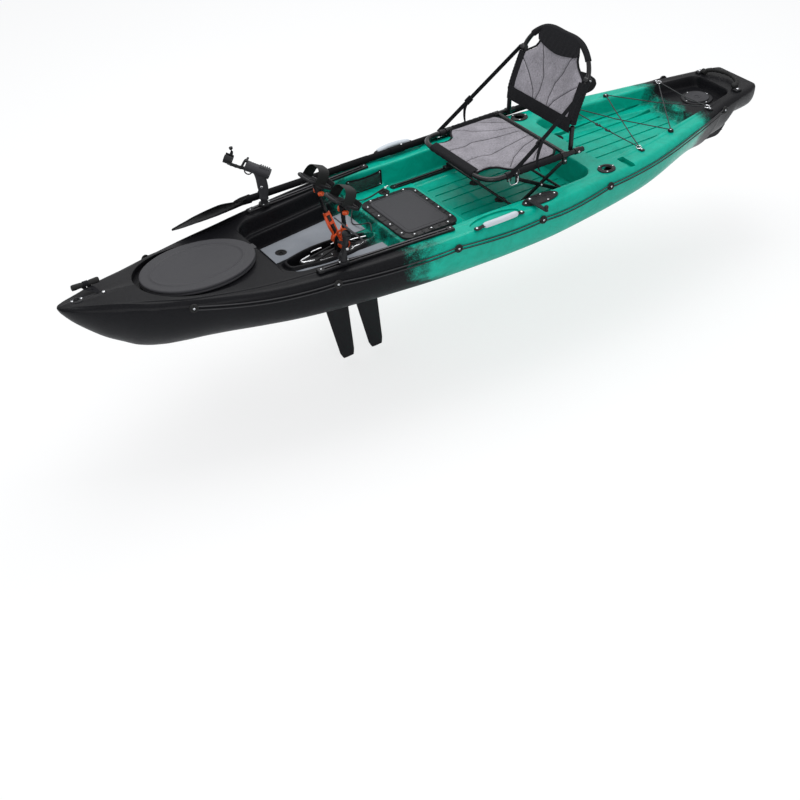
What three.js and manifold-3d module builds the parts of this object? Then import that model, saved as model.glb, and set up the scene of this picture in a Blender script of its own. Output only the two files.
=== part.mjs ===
// Sit-on-top pedal kayak with a framed seat, a two-fin pedal drive, a rudder and a stowed paddle.
// Millimetres. +X runs aft, +Y to starboard, +Z up. The origin is on the flat of the keel, amidships.

import * as THREE from 'three';
import { mergeVertices } from 'three/addons/utils/BufferGeometryUtils.js';
import Module from 'manifold-3d';

const wasm = await Module();
wasm.setup();

// Driving dimensions of the hull. Its length is the sum of the runs of its sections, from the bow aft.
const sectionRun = { bow: 823, foot: 547, hatch: 320, seat: 568, bridge: 94, tank: 623, stern: 365 };
const footStart = sectionRun.bow;
const hatchStart = footStart + sectionRun.foot;
const seatStart = hatchStart + sectionRun.hatch;
const bridgeStart = seatStart + sectionRun.seat;
const tankStart = bridgeStart + sectionRun.bridge;
const sternStart = tankStart + sectionRun.tank;
const length = sternStart + sectionRun.stern;
const halfBeam = 406;
const wall = 5;
const seamHeight = 205;
const gunwaleHeight = 258;
const stemHeight = 300;
const noseHalf = 11;
const fitGap = 0.3;
const seamGap = 0.6;
const overrun = 12;

const group = new THREE.Group();
const station = fromBow => fromBow - length / 2;
// A part gives its places along the boat from the start of its section. This turns them into places from
// the bow.
function placeFrom(start, part, ...places) {
  for (const place of places) part[place] += start;
}
const lerp = (a, b, t) => a + (b - a) * t;
const sides = [['port', -1], ['starboard', 1]];

function material(color, roughness = 0.6, metalness = 0) {
  return new THREE.MeshStandardMaterial({ color, roughness, metalness });
}
const paint = {
  hull: material(0x00997f, 0.45),
  deck: material(0x00aa8c, 0.45),
  black: material(0x18181a, 0.5),
  charcoal: material(0x2c2c30, 0.55),
  mat: material(0x7d828c, 0.9),
  grip: material(0xc8c8ce, 0.6),
  orange: material(0xe65a1e, 0.4),
  tube: material(0x1c1c1e, 0.35, 0.6),
  silver: material(0xb8bac0, 0.3, 1),
  fabric: material(0x9c989e, 0.95),
  webbing: material(0x202022, 0.9),
  cord: material(0x101012, 0.8),
};

function addPart(name, geometry, finish) {
  const mesh = new THREE.Mesh(geometry, finish);
  mesh.name = name;
  group.add(mesh);
  return mesh;
}

// A closed solid from a geometry whose shared corners are merged.
function solid(geometry) {
  let plain = geometry.clone();
  plain.deleteAttribute('normal');
  plain.deleteAttribute('uv');
  plain = mergeVertices(plain, 1e-3);
  const vertProperties = new Float32Array(plain.attributes.position.array);
  const triVerts = new Uint32Array(plain.index.array);
  return new wasm.Manifold(new wasm.Mesh({ numProp: 3, vertProperties, triVerts }));
}

function geometryOf(body) {
  const mesh = body.getMesh();
  const geometry = new THREE.BufferGeometry();
  geometry.setAttribute('position', new THREE.BufferAttribute(new Float32Array(mesh.vertProperties), 3));
  geometry.setIndex(new THREE.BufferAttribute(new Uint32Array(mesh.triVerts), 1));
  return geometry;
}

const joined = (...pieces) => geometryOf(pieces.map(solid).reduce((a, b) => a.add(b)));
function cut(base, ...tools) {
  return geometryOf(tools.map(solid).reduce((body, tool) => body.subtract(tool), solid(base)));
}

function box(x0, x1, y0, y1, z0, z1) {
  const geometry = new THREE.BoxGeometry(x1 - x0, y1 - y0, z1 - z0);
  return geometry.translate((x0 + x1) / 2, (y0 + y1) / 2, (z0 + z1) / 2);
}

// A round bar between two points.
function rod(from, to, radius, facets = 12, endRadius = radius) {
  const a = new THREE.Vector3(...from);
  const b = new THREE.Vector3(...to);
  const geometry = new THREE.CylinderGeometry(endRadius, radius, a.distanceTo(b), facets);
  const way = b.clone().sub(a).normalize();
  const turn = new THREE.Quaternion().setFromUnitVectors(new THREE.Vector3(0, 1, 0), way);
  return geometry.applyQuaternion(turn).translate((a.x + b.x) / 2, (a.y + b.y) / 2, (a.z + b.z) / 2);
}

// A bar or strap of any section carried along a smooth route.
function swept(points, section, steps, tension = 0.5) {
  const stops = points.map(p => new THREE.Vector3(...p));
  const route = new THREE.CatmullRomCurve3(stops, false, 'catmullrom', tension);
  return new THREE.ExtrudeGeometry(section, { steps, extrudePath: route, bevelEnabled: false });
}

function roundSection(radius, facets = 8) {
  const points = [];
  for (let i = 0; i < facets; i++) {
    const angle = (i / facets) * 2 * Math.PI;
    points.push(new THREE.Vector2(radius * Math.cos(angle), radius * Math.sin(angle)));
  }
  return new THREE.Shape(points);
}

function flatSection(across, through) {
  const shape = new THREE.Shape();
  shape.moveTo(-through / 2, -across / 2);
  shape.lineTo(through / 2, -across / 2);
  shape.lineTo(through / 2, across / 2);
  shape.lineTo(-through / 2, across / 2);
  return shape;
}

function ellipseShape(x, y, halfX, halfY) {
  const shape = new THREE.Shape();
  shape.absellipse(x, y, halfX, halfY, 0, 2 * Math.PI);
  return shape;
}

function roundedRect(x0, x1, y0, y1, radius) {
  const shape = new THREE.Shape();
  shape.moveTo(x0 + radius, y0);
  shape.lineTo(x1 - radius, y0);
  shape.absarc(x1 - radius, y0 + radius, radius, -Math.PI / 2, 0);
  shape.lineTo(x1, y1 - radius);
  shape.absarc(x1 - radius, y1 - radius, radius, 0, Math.PI / 2);
  shape.lineTo(x0 + radius, y1);
  shape.absarc(x0 + radius, y1 - radius, radius, Math.PI / 2, Math.PI);
  shape.lineTo(x0, y0 + radius);
  shape.absarc(x0 + radius, y0 + radius, radius, Math.PI, 1.5 * Math.PI);
  return shape;
}

// A flat plate standing from z0 to z1; a second outline makes it a ring.
function plate(shape, z0, z1, hole = null, curveSegments = 6) {
  const whole = hole ? shape.clone() : shape;
  if (hole) whole.holes = [new THREE.Path(hole.getPoints(curveSegments))];
  const geometry = new THREE.ExtrudeGeometry(whole, { depth: z1 - z0, bevelEnabled: false, curveSegments });
  return geometry.translate(0, 0, z0);
}

// The value at one place of a table of shares, eased between its rows.
function along(table, share) {
  const last = table.length - 1;
  if (share <= table[0][0]) return table[0][1];
  if (share >= table[last][0]) return table[last][1];
  const i = table.findIndex(row => row[0] > share) - 1;
  const slope = k => (table[k + 1][1] - table[k][1]) / (table[k + 1][0] - table[k][0]);
  const bend = k => {
    if (k === 0 || k === last) return slope(Math.min(k, last - 1));
    const [before, after] = [slope(k - 1), slope(k)];
    return before * after <= 0 ? 0 : (2 * before * after) / (before + after);
  };
  const width = table[i + 1][0] - table[i][0];
  const t = (share - table[i][0]) / width;
  const [h00, h10] = [(1 + 2 * t) * (1 - t) ** 2, t * (1 - t) ** 2];
  const [h01, h11] = [t * t * (3 - 2 * t), t * t * (t - 1)];
  return h00 * table[i][1] + h10 * width * bend(i) + h01 * table[i + 1][1] + h11 * width * bend(i + 1);
}

// Lines of the hull, as shares of its length against shares of the size that each one scales.
const beamShares = [[0, 0], [0.014, 0.086], [0.048, 0.222], [0.098, 0.401], [0.149, 0.557], [0.216, 0.722],
  [0.283, 0.833], [0.367, 0.926], [0.451, 0.988], [0.524, 1], [0.585, 0.997], [0.669, 0.943], [0.754, 0.842],
  [0.854, 0.635], [0.938, 0.443], [0.985, 0.34], [1, 0.29]];
const seamShares = [[0, 1.49], [0.06, 1.36], [0.13, 1.235], [0.29, 1.08], [0.45, 1.06], [0.57, 1],
  [0.68, 1.09], [0.92, 1.29], [1, 1.34]];
const gunwaleShares = [[0, 1.22], [0.06, 1.18], [0.1, 1.12], [0.17, 1.05], [0.246, 1], [0.7, 1], [0.8, 1.03],
  [0.9, 1.08], [0.96, 1.105], [1, 1.105]];
const keelShares = [[0, 1], [0.0147, 0.78], [0.0323, 0.573], [0.05, 0.393], [0.0677, 0.253],
  [0.085, 0.127], [0.1027, 0.053], [0.12, 0.013], [0.145, -0.007], [0.27, -0.02], [0.66, -0.02],
  [0.81, -0.01], [0.9117, 0.007],
  [0.9168, 0.093], [0.9422, 0.187], [0.9602, 0.46], [1, 0.483]];
const flankShares = [[0, 1.3], [0.15, 1.8], [0.3, 3], [0.5, 3.6], [0.75, 2.8], [0.9, 1.6], [1, 2.6]];
const bilgeShares = [[0, 1.2], [0.15, 1.4], [0.3, 2], [0.5, 2.2], [0.75, 1.9], [0.9, 1.3], [1, 2]];

const halfAt = x => noseHalf + (halfBeam - noseHalf) * along(beamShares, x / length);
const seamAt = x => seamHeight * along(seamShares, x / length);
const gunwaleAt = x => gunwaleHeight * along(gunwaleShares, x / length);
const keelAt = x => stemHeight * along(keelShares, x / length);

// Height of the hull's underside; the deepest part is cut off flat at the keel plane.
function hullUnder(x, y) {
  const [p, q] = [along(flankShares, x / length), along(bilgeShares, x / length)];
  const share = Math.max(0, 1 - (Math.abs(y) / halfAt(x)) ** p);
  return Math.max(0, seamAt(x) - (seamAt(x) - keelAt(x)) * share ** (1 / q));
}

// Rings of points, one per station towards +X, joined into a closed skin with a flat cap at each end.
function loft(givenRings) {
  const flat = ring => ring.map(p => new THREE.Vector2(p[1], p[2]));
  const middle = givenRings[Math.floor(givenRings.length / 2)];
  const clockwise = THREE.ShapeUtils.isClockWise(flat(middle));
  const rings = clockwise ? givenRings.map(ring => ring.slice().reverse()) : givenRings;
  const count = rings[0].length;
  const index = [];
  for (let i = 0; i + 1 < rings.length; i++) {
    for (let j = 0; j < count; j++) {
      const [a, b] = [i * count + j, i * count + (j + 1) % count];
      index.push(a, b, a + count, b, b + count, a + count);
    }
  }
  for (const end of [0, (rings.length - 1) * count]) {
    const face = (k, l, m) => index.push(...(end ? [k, l, m] : [k, m, l]).map(v => v + end));
    for (let [low, high] = [0, count - 1]; low + 1 < high; low++, high--) {
      face(low, low + 1, high);
      if (low + 2 < high) face(low + 1, high - 1, high);
    }
  }
  const geometry = new THREE.BufferGeometry();
  geometry.setAttribute('position', new THREE.Float32BufferAttribute(rings.flat(2), 3));
  geometry.setIndex(index);
  return geometry;
}

// Wells of the deck: where each starts and ends, its floor, and the run of its sloped walls.
const draft = 14;
const wallRun = 18;
const tankWallRun = 45;
const hatchStepRun = 200;
const sternCapRun = 138;
const sternDeck = length - sternCapRun;
const footwell = { front: footStart, rear: hatchStart - wallRun, floor: 134 };
const hatchPlatform = { front: hatchStart, step: hatchStart + hatchStepRun, rear: seatStart - wallRun,
  floor: 178 };
const seatWell = { front: seatStart, rear: bridgeStart - wallRun, floor: 150 };
const bridge = { front: bridgeStart, rear: tankStart - wallRun };
const tankWell = { front: tankStart, rear: sternStart - tankWallRun, floor: 186 };
const sternPlatform = { front: sternStart, rear: sternDeck - wallRun, floor: 236 };
const hatchTerrace = { front: -505, rear: -17, floor: 262 };
placeFrom(footStart, hatchTerrace, 'front', 'rear');
const sideLedge = { footWidth: 24, seatWidth: 50, footHeight: 196, seatHeight: 161 };
const shoulder = { width: 20, drop: 16 };
const nose = { solid: 100 };
const rimShares = [[0, 0.4], [0.09, 0.52], [0.126, 0.84], [0.169, 0.79], [0.246, 0.71], [0.3, 0.715],
  [0.41, 0.76], [0.5, 0.722], [0.676, 0.775], [0.7, 0.66], [0.73, 0.66], [0.9, 0.69], [1, 0.62]];
const rimAt = x => halfAt(x) * along(rimShares, x / length);
const ledgeWidthAt = x => (x > hatchPlatform.step ? sideLedge.seatWidth : sideLedge.footWidth);
const outerLedgeAt = x => rimAt(x) - Math.min(draft, rimAt(x) * 0.2);
const innerLedgeAt = x => outerLedgeAt(x) - Math.min(ledgeWidthAt(x), rimAt(x) * 0.3);
const floorEdgeAt = x => innerLedgeAt(x) - Math.min(draft, rimAt(x) * 0.2);

// Floor and ledge heights at a station; outside the wells both are the plain deck.
function deckLevels(x) {
  const within = part => x >= part.front && x <= part.rear;
  const top = gunwaleAt(x);
  if (within(hatchTerrace)) return [hatchTerrace.floor, hatchTerrace.floor];
  if (x >= footwell.front + draft && x <= footwell.rear) return [footwell.floor, sideLedge.footHeight];
  if (within(hatchPlatform)) return [hatchPlatform.floor,
    x > hatchPlatform.step ? sideLedge.seatHeight : hatchPlatform.floor];
  if (within(seatWell)) return [seatWell.floor, sideLedge.seatHeight];
  if (within(tankWell)) return [tankWell.floor, tankWell.floor + draft];
  if (within(sternPlatform)) return [sternPlatform.floor, sternPlatform.floor];
  return [top, top];
}

// Stations shared by the hull and the deck: even ones for the lines, and each edge of a well.
const lineShares = [0, 0.018, 0.036, 0.054, 0.072, 0.114, 0.141, 0.169, 0.21, 0.278, 0.318, 0.36, 0.425,
  0.539, 0.58, 0.625, 0.743, 0.784, 0.832, 0.9117, 0.9168, 0.9422, 0.979, 1];
const wellEdges = [hatchTerrace.front - draft, hatchTerrace.front, hatchTerrace.rear, footwell.front,
  footwell.front + draft, footwell.rear, hatchPlatform.front, hatchPlatform.step, hatchPlatform.step + draft,
  hatchPlatform.rear, seatWell.front, seatWell.rear, bridge.front, bridge.rear, tankWell.front, tankWell.rear,
  sternPlatform.front, sternPlatform.rear, sternDeck];
const deckStations = lineShares.map(share => share * length).concat(wellEdges).sort((a, b) => a - b);

// Half of the deck's cross-section, from the centreline out to the seam.
function deckHalf(x) {
  const [half, rim, top, seam] = [halfAt(x), rimAt(x), gunwaleAt(x), seamAt(x)];
  const [floor, ledge] = deckLevels(x);
  const shoulderStart = Math.max(half - shoulder.width, lerp(rim, half, 0.4));
  const edgeTop = Math.max(top - shoulder.drop, seam + wall * 1.8);
  return [[0, floor], [floorEdgeAt(x), floor], [innerLedgeAt(x), ledge], [outerLedgeAt(x), ledge], [rim, top],
    [shoulderStart, top], [lerp(shoulderStart, half, 0.75), edgeTop], [half, seam]];
}

// The deck's top skin as a grid, its lower skin one wall below along the surface's own slope.
function deckSkin() {
  const top = deckStations.map(x => {
    const half = deckHalf(x);
    const ring = half.slice(1).reverse().map(([y, z]) => [-y, z]).concat(half);
    return ring.map(([y, z]) => new THREE.Vector3(station(x), y, z));
  });
  const [rows, columns] = [top.length, top[0].length];
  const lower = top.map((row, i) => row.map((point, j) => {
    const [next, last] = [top[Math.min(i + 1, rows - 1)][j], top[Math.max(i - 1, 0)][j]];
    const before = new THREE.Vector3().subVectors(next, last);
    const across = new THREE.Vector3().subVectors(row[Math.min(j + 1, columns - 1)], row[Math.max(j - 1, 0)]);
    const normal = new THREE.Vector3().crossVectors(before, across);
    if (i === 0 || i === rows - 1) normal.x = 0;
    if (j === 0 || j === columns - 1) normal.set(0, j === 0 ? -1 : 1, 0);
    const thickness = Math.min(wall, halfAt(deckStations[i]) * 0.3);
    return point.clone().addScaledVector(normal.normalize(), -thickness);
  }));
  return loft(top.map((row, i) => [...row, ...lower[i].slice().reverse()].map(p => [p.x, p.y, p.z])));
}

// Outline of the drive well: round in front, widest at the cranks, pointed behind.
const driveWell = { front: 123, rear: 521, half: 54, widestFront: 253, widestRear: 375, lip: 14, rim: 10 };
placeFrom(footStart, driveWell, 'front', 'rear', 'widestFront', 'widestRear');
function driveWellShape(grow) {
  const { front, rear, half, widestFront, widestRear } = driveWell;
  const corner = half * 0.55;
  const rows = [[front, 0], [front + corner * 0.3, corner * 0.75], [front + corner, corner],
    [widestFront, half], [widestRear, half], [rear - half, half * 0.54], [rear - half * 0.5, half * 0.4],
    [rear - half * 0.15, half * 0.2], [rear, 0]];
  const outline = rows.map(([x, y]) => [station(x), y]);
  const grown = outline.map(([x, y], i) => {
    const [a, b] = [outline[Math.max(i - 1, 0)], outline[Math.min(i + 1, outline.length - 1)]];
    if (y === 0) return [x + (i === 0 ? -grow : grow), 0];
    const [dx, dy] = [b[0] - a[0], b[1] - a[1]];
    return [x - (dy / Math.hypot(dx, dy)) * grow, y + (dx / Math.hypot(dx, dy)) * grow];
  });
  const mirrored = grown.slice(1, -1).reverse().map(([x, y]) => [x, -y]);
  return new THREE.Shape([...grown, ...mirrored].map(([x, y]) => new THREE.Vector2(x, y)));
}

// Self-draining holes, each a tube moulded from the floor down to the underside.
const scupper = { bore: 15, outer: 20 };
const footScupper = { x: 150, y: 110 };
const hatchScupper = { x: 164, y: 216 };
const seatScupper = { x: 226, y: 92 };
const tankScupper = { x: 60, y: 150 };
placeFrom(footStart, footScupper, 'x');
placeFrom(hatchStart, hatchScupper, 'x');
placeFrom(seatStart, seatScupper, 'x');
placeFrom(tankStart, tankScupper, 'x');
const scuppers = [[footScupper, footwell], [hatchScupper, hatchPlatform], [seatScupper, seatWell],
  [tankScupper, tankWell]].flatMap(([{ x, y }, { floor }]) => [[x, y, floor], [x, -y, floor]]);

// Hatches: an oval one in the bow deck, a square one before the seat, a round one on the stern.
const frontHatch = { x: -259, halfX: 233, halfY: 166, hole: 26, rimWidth: 12, rimHeight: 20, lid: 6,
  skirt: 8 };
const dayHatch = { front: 15, rear: -39, half: 182, corner: 40, band: 38, height: 11, lid: 5, lip: 9 };
const sternHatch = { x: 121, radius: 72, bore: 50, height: 6, lid: 5 };
placeFrom(footStart, frontHatch, 'x');
placeFrom(hatchStart, dayHatch, 'front');
placeFrom(seatStart, dayHatch, 'rear');
placeFrom(sternStart, sternHatch, 'x');

function buildHull() {
  const steps = 7;
  const ring = (x, grow, keelGrow, top) => {
    const [half, seam, keel] = [halfAt(x) - grow, seamAt(x), keelAt(x) + keelGrow];
    const [p, q] = [along(flankShares, x / length), along(bilgeShares, x / length)];
    const points = [];
    for (let i = -steps; i <= steps; i++) {
      const angle = (Math.abs(i) / steps) * Math.PI / 2;
      const y = Math.sign(i) * half * Math.sin(angle) ** (2 / p);
      const z = Math.max(keelGrow, seam - (seam - keel) * Math.cos(angle) ** (2 / q));
      points.push([station(x), y, z]);
    }
    points[0][2] = top;
    points[2 * steps][2] = top;
    return points;
  };
  const outer = solid(loft(deckStations.map(x => ring(x, 0, 0, seamAt(x) - seamGap))));
  const innerStations = deckStations.filter(x => x > nose.solid && x < length);
  let shell = outer.subtract(solid(loft(innerStations.map(x => ring(x, wall, wall, seamAt(x) + overrun)))));
  shell = shell.subtract(solid(plate(driveWellShape(wall + fitGap), -overrun, seamHeight)));
  for (const [x, y] of scuppers) {
    const hole = rod([station(x), y, -overrun], [station(x), y, footwell.floor], scupper.outer + fitGap, 10);
    shell = shell.subtract(solid(hole));
  }
  const post = rod([station(rudder.axis), 0, 0], [station(rudder.axis), 0, seamHeight],
    rudder.stock + fitGap * 3);
  addPart('hull_shell', geometryOf(shell.subtract(solid(post))), paint.hull);
}

function buildDeck() {
  let deck = solid(deckSkin());
  const { x: hatchX, halfX, halfY, hole } = frontHatch;
  const holeShape = ellipseShape(station(hatchX), 0, halfX - hole, halfY - hole);
  deck = deck.subtract(solid(plate(holeShape, hatchTerrace.floor - overrun, gunwaleHeight * 2, null, 10)));
  const inset = dayHatch.band + dayHatch.lip;
  const hatchHole = roundedRect(station(dayHatch.front + inset), station(dayHatch.rear - inset),
    -dayHatch.half + inset, dayHatch.half - inset, dayHatch.corner / 2);
  deck = deck.subtract(solid(plate(hatchHole, hatchPlatform.floor - overrun, hatchPlatform.floor + overrun)));
  deck = deck.subtract(solid(rod([station(sternHatch.x), 0, sternPlatform.floor - overrun],
    [station(sternHatch.x), 0, sternPlatform.floor + overrun], sternHatch.bore + fitGap, 20)));
  const lipTop = footwell.floor + driveWell.lip;
  deck = deck.add(solid(plate(driveWellShape(wall), 0, lipTop)));
  deck = deck.subtract(solid(plate(driveWellShape(0), -overrun, lipTop + overrun)));
  for (const [x, y, floor] of scuppers) {
    const low = hullUnder(x, Math.abs(y) - scupper.outer);
    const tube = [station(x), y];
    deck = deck.add(solid(rod([...tube, low], [...tube, floor], scupper.outer, 10)));
    deck = deck.subtract(solid(rod([...tube, low - overrun], [...tube, floor + overrun], scupper.bore, 10)));
  }
  for (const [, side] of sides) {
    deck = deck.subtract(solid(rodTubeBore(side, rodTube.outer + fitGap, rodTube.depth)));
  }
  addPart('deck_shell', geometryOf(deck), paint.deck);
}

function buildHatches() {
  const { x, halfX, halfY, hole, rimWidth, rimHeight, lid, skirt } = frontHatch;
  const seat = hatchTerrace.floor + fitGap;
  const oval = inset => ellipseShape(station(x), 0, halfX - inset, halfY - inset);
  addPart('front_hatch_rim', plate(oval(hole - rimWidth), seat, seat + rimHeight, oval(hole), 10),
    paint.black);
  const under = seat + rimHeight + fitGap;
  addPart('front_hatch_lid', joined(plate(oval(0), under, under + lid, null, 10),
    plate(oval(0), under - rimHeight / 2, under + lid / 2, oval(skirt), 10)), paint.charcoal);

  const base = hatchPlatform.floor + fitGap;
  const square = inset => roundedRect(station(dayHatch.front + inset), station(dayHatch.rear - inset),
    -dayHatch.half + inset, dayHatch.half - inset, dayHatch.corner - inset / 2);
  addPart('day_hatch_frame', plate(square(0), base, base + dayHatch.height,
    square(dayHatch.band + dayHatch.lip)), paint.black);
  const top = base + dayHatch.height + fitGap;
  addPart('day_hatch_lid', plate(square(dayHatch.band - dayHatch.lip), top, top + dayHatch.lid),
    paint.charcoal);

  const deckTop = sternPlatform.floor + fitGap;
  const centre = station(sternHatch.x);
  const ringOf = (outer, z0, z1, inner) => plate(ellipseShape(centre, 0, outer, outer), z0, z1,
    inner ? ellipseShape(centre, 0, inner, inner) : null);
  addPart('stern_hatch_rim', ringOf(sternHatch.radius, deckTop, deckTop + sternHatch.height, sternHatch.bore),
    paint.black);
  const coverBase = deckTop + sternHatch.height + fitGap;
  const plug = sternHatch.bore * 0.95;
  addPart('stern_hatch_lid', joined(ringOf(sternHatch.bore + wall, coverBase, coverBase + sternHatch.lid),
    ringOf(plug, deckTop - overrun / 2, coverBase + sternHatch.lid / 2)), paint.charcoal);
}

// Two foam mats on the footwell floor, one each side of the drive well.
const mat = { front: 94, rear: -26, thick: 3, margin: 5 };
placeFrom(footStart, mat, 'front');
placeFrom(hatchStart, mat, 'rear');
function buildMats() {
  for (const [name, side] of sides) {
    const { front, rear } = mat;
    const inner = driveWell.half + driveWell.rim + fitGap * 4;
    const rows = [[front, inner * 0.72], [driveWell.widestFront, inner], [driveWell.widestRear, inner],
      [rear, inner], [rear, floorEdgeAt(rear) - mat.margin], [front, floorEdgeAt(front) - mat.margin]];
    const shape = new THREE.Shape(rows.map(([x, y]) => new THREE.Vector2(station(x), side * y)));
    const floor = footwell.floor + fitGap;
    const drainAt = [station(footScupper.x), side * footScupper.y];
    const drain = rod([...drainAt, floor - overrun], [...drainAt, floor + overrun], scupper.outer + wall);
    addPart(`foot_mat_${name}`, cut(plate(shape, floor, floor + mat.thick), drain), paint.mat);
  }
}

// Slotted aluminium tracks: a long pair on the gunwales and a pair for the seat on the side ledges.
const track = { width: 26, height: 9, slot: 9, floor: 3 };
const gearTrack = { front: 102, rear: 696, yFront: 284, yRear: 325 };
const seatTrack = { front: 20, rear: -26, y: 247 };
placeFrom(footStart, gearTrack, 'front', 'rear');
placeFrom(hatchPlatform.step, seatTrack, 'front');
placeFrom(bridgeStart, seatTrack, 'rear');
const gearTrackSeat = Math.max(gunwaleAt(gearTrack.front), gunwaleAt(gearTrack.rear)) + fitGap;
function trackBar(x0, y0, x1, y1, z) {
  const run = Math.hypot(x1 - x0, y1 - y0);
  const [w, s, h] = [track.width / 2, track.slot / 2, track.height];
  const outline = [[-w, 0], [w, 0], [w, h], [s, h], [s, track.floor], [-s, track.floor], [-s, h], [-w, h]];
  const shape = new THREE.Shape(outline.map(([y, up]) => new THREE.Vector2(y, up)));
  const geometry = new THREE.ExtrudeGeometry(shape, { depth: run, bevelEnabled: false, steps: 1 });
  geometry.rotateX(Math.PI / 2).rotateZ(Math.PI / 2);
  return geometry.rotateZ(Math.atan2(y1 - y0, x1 - x0)).translate(x0, y0, z);
}
function buildTracks() {
  for (const [name, side] of sides) {
    const { front, rear, yFront, yRear } = gearTrack;
    addPart(`gear_track_${name}`, trackBar(station(front), side * yFront, station(rear), side * yRear,
      gearTrackSeat), paint.tube);
    addPart(`seat_track_${name}`, trackBar(station(seatTrack.front), side * seatTrack.y,
      station(seatTrack.rear), side * seatTrack.y, sideLedge.seatHeight + fitGap), paint.tube);
  }
}

// Rod tubes let into the bridge deck behind the seat, leaning aft and outboard.
const rodTube = { x: 54, y: 304, bore: 21, outer: 24, flange: 35, flangeThick: 4, depth: 150, lean: 0.35 };
placeFrom(bridgeStart, rodTube, 'x');
function rodTubeBore(side, radius, depth) {
  const top = gunwaleHeight + overrun / 2;
  const reach = depth * Math.sin(rodTube.lean);
  const end = [station(rodTube.x) - reach, side * rodTube.y, top - depth * Math.cos(rodTube.lean)];
  return rod(end, [station(rodTube.x), side * rodTube.y, top], radius, 16);
}
function buildRodTubes() {
  for (const [name, side] of sides) {
    const top = gunwaleHeight + fitGap;
    const flangeShape = ellipseShape(station(rodTube.x), side * rodTube.y, rodTube.flange + wall,
      rodTube.flange);
    const disc = plate(flangeShape, top, top + rodTube.flangeThick);
    const tube = joined(disc, rodTubeBore(side, rodTube.outer, rodTube.depth));
    const bore = rodTubeBore(side, rodTube.bore, rodTube.depth - wall);
    const above = box(station(rodTube.x) - rodTube.flange, station(rodTube.x) + rodTube.flange,
      side * rodTube.y - rodTube.flange, side * rodTube.y + rodTube.flange, top + rodTube.flangeThick,
      top + overrun * 3);
    addPart(`rod_tube_${name}`, cut(tube, above, bore), paint.black);
  }
}

// Net pockets screwed to the cockpit walls beside the square hatch.
const pocket = { front: 22, rear: 190, high: 246, thick: 3, bag: 14 };
placeFrom(hatchStart, pocket, 'front', 'rear');
function buildPockets() {
  for (const [name, side] of sides) {
    const inner = Math.min(outerLedgeAt(pocket.front), outerLedgeAt(pocket.rear)) - fitGap;
    const low = hatchPlatform.floor + fitGap * 2;
    const panel = box(station(pocket.front), station(pocket.rear), -pocket.bag / 2, pocket.bag / 2, low,
      pocket.high);
    const hollow = box(station(pocket.front + pocket.thick), station(pocket.rear - pocket.thick),
      -pocket.bag / 2 + pocket.thick, pocket.bag / 2 - pocket.thick, low + pocket.thick,
      pocket.high + overrun);
    const bag = cut(panel, hollow).translate(0, side * (inner - pocket.bag / 2), 0);
    addPart(`mesh_pocket_${name}`, bag, paint.webbing);
  }
}

// Double cord along each flank, run through round buttons that are screwed to the seam band.
const deckLine = { cord: 2.5, apart: 9, button: 19, thick: 9, stand: 0.6 };
const buttonShares = [0.132, 0.292, 0.446, 0.569, 0.68, 0.92];
function flankPoint(x, side, up, out) {
  const slope = (halfAt(x + track.width) - halfAt(x - track.width)) / (2 * track.width);
  const run = Math.hypot(1, slope);
  return [station(x) - slope / run * out, side * (halfAt(x) + out / run), seamAt(x) + up];
}
function buildDeckLines() {
  const { cord, apart, button, thick, stand } = deckLine;
  const [first, last] = [buttonShares[0], buttonShares[buttonShares.length - 1]];
  const stepCount = 16;
  for (const [name, side] of sides) {
    const pieces = buttonShares.map(share => rod(flankPoint(share * length, side, 0, stand),
      flankPoint(share * length, side, 0, stand + thick), button, 10, button * 0.7));
    for (const up of [-apart / 2, apart / 2]) {
      const route = [];
      for (let i = 0; i <= stepCount; i++) {
        route.push(flankPoint(lerp(first, last, i / stepCount) * length, side, up, cord + stand));
      }
      pieces.push(swept(route, roundSection(cord, 5), 22));
    }
    addPart(`deck_line_${name}`, joined(...pieces), paint.cord);
  }
}

// Bungee over the tank well: pad eyes on the gunwales, two cross runs and two crosses, one joined net.
const bungee = { cord: 2.5, eye: 12, eyeHeight: 14 };
const frontEye = { x: 183, y: 254 };
const middleEye = { x: 389, y: 220 };
const rearEye = { x: 32, y: 166 };
placeFrom(tankStart, frontEye, 'x');
placeFrom(tankStart, middleEye, 'x');
placeFrom(sternStart, rearEye, 'x');
const eyes = [frontEye, middleEye, rearEye];
function buildBungee() {
  const eyeAt = (i, side) => [station(eyes[i].x), side * eyes[i].y, gunwaleAt(eyes[i].x) + fitGap * 3];
  const runs = [[[0, -1], [0, 1]], [[2, -1], [2, 1]], [[0, -1], [1, 1]], [[0, 1], [1, -1]], [[1, -1], [2, 1]],
    [[1, 1], [2, -1]]];
  const { cord, eye, eyeHeight } = bungee;
  const pads = eyes.flatMap((place, i) => sides.map(([, side]) => {
    const [x, y, z] = eyeAt(i, side);
    return rod([x, y, z], [x, y, z + eyeHeight], eye, 10, eye * 0.6);
  }));
  const cords = runs.map(([from, to]) => {
    const [a, b] = [eyeAt(...from), eyeAt(...to)];
    return rod([a[0], a[1], a[2] + eyeHeight / 2], [b[0], b[1], b[2] + eyeHeight / 2], cord, 6);
  });
  addPart('bungee_net', joined(...pads, ...cords), paint.cord);
}

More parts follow.
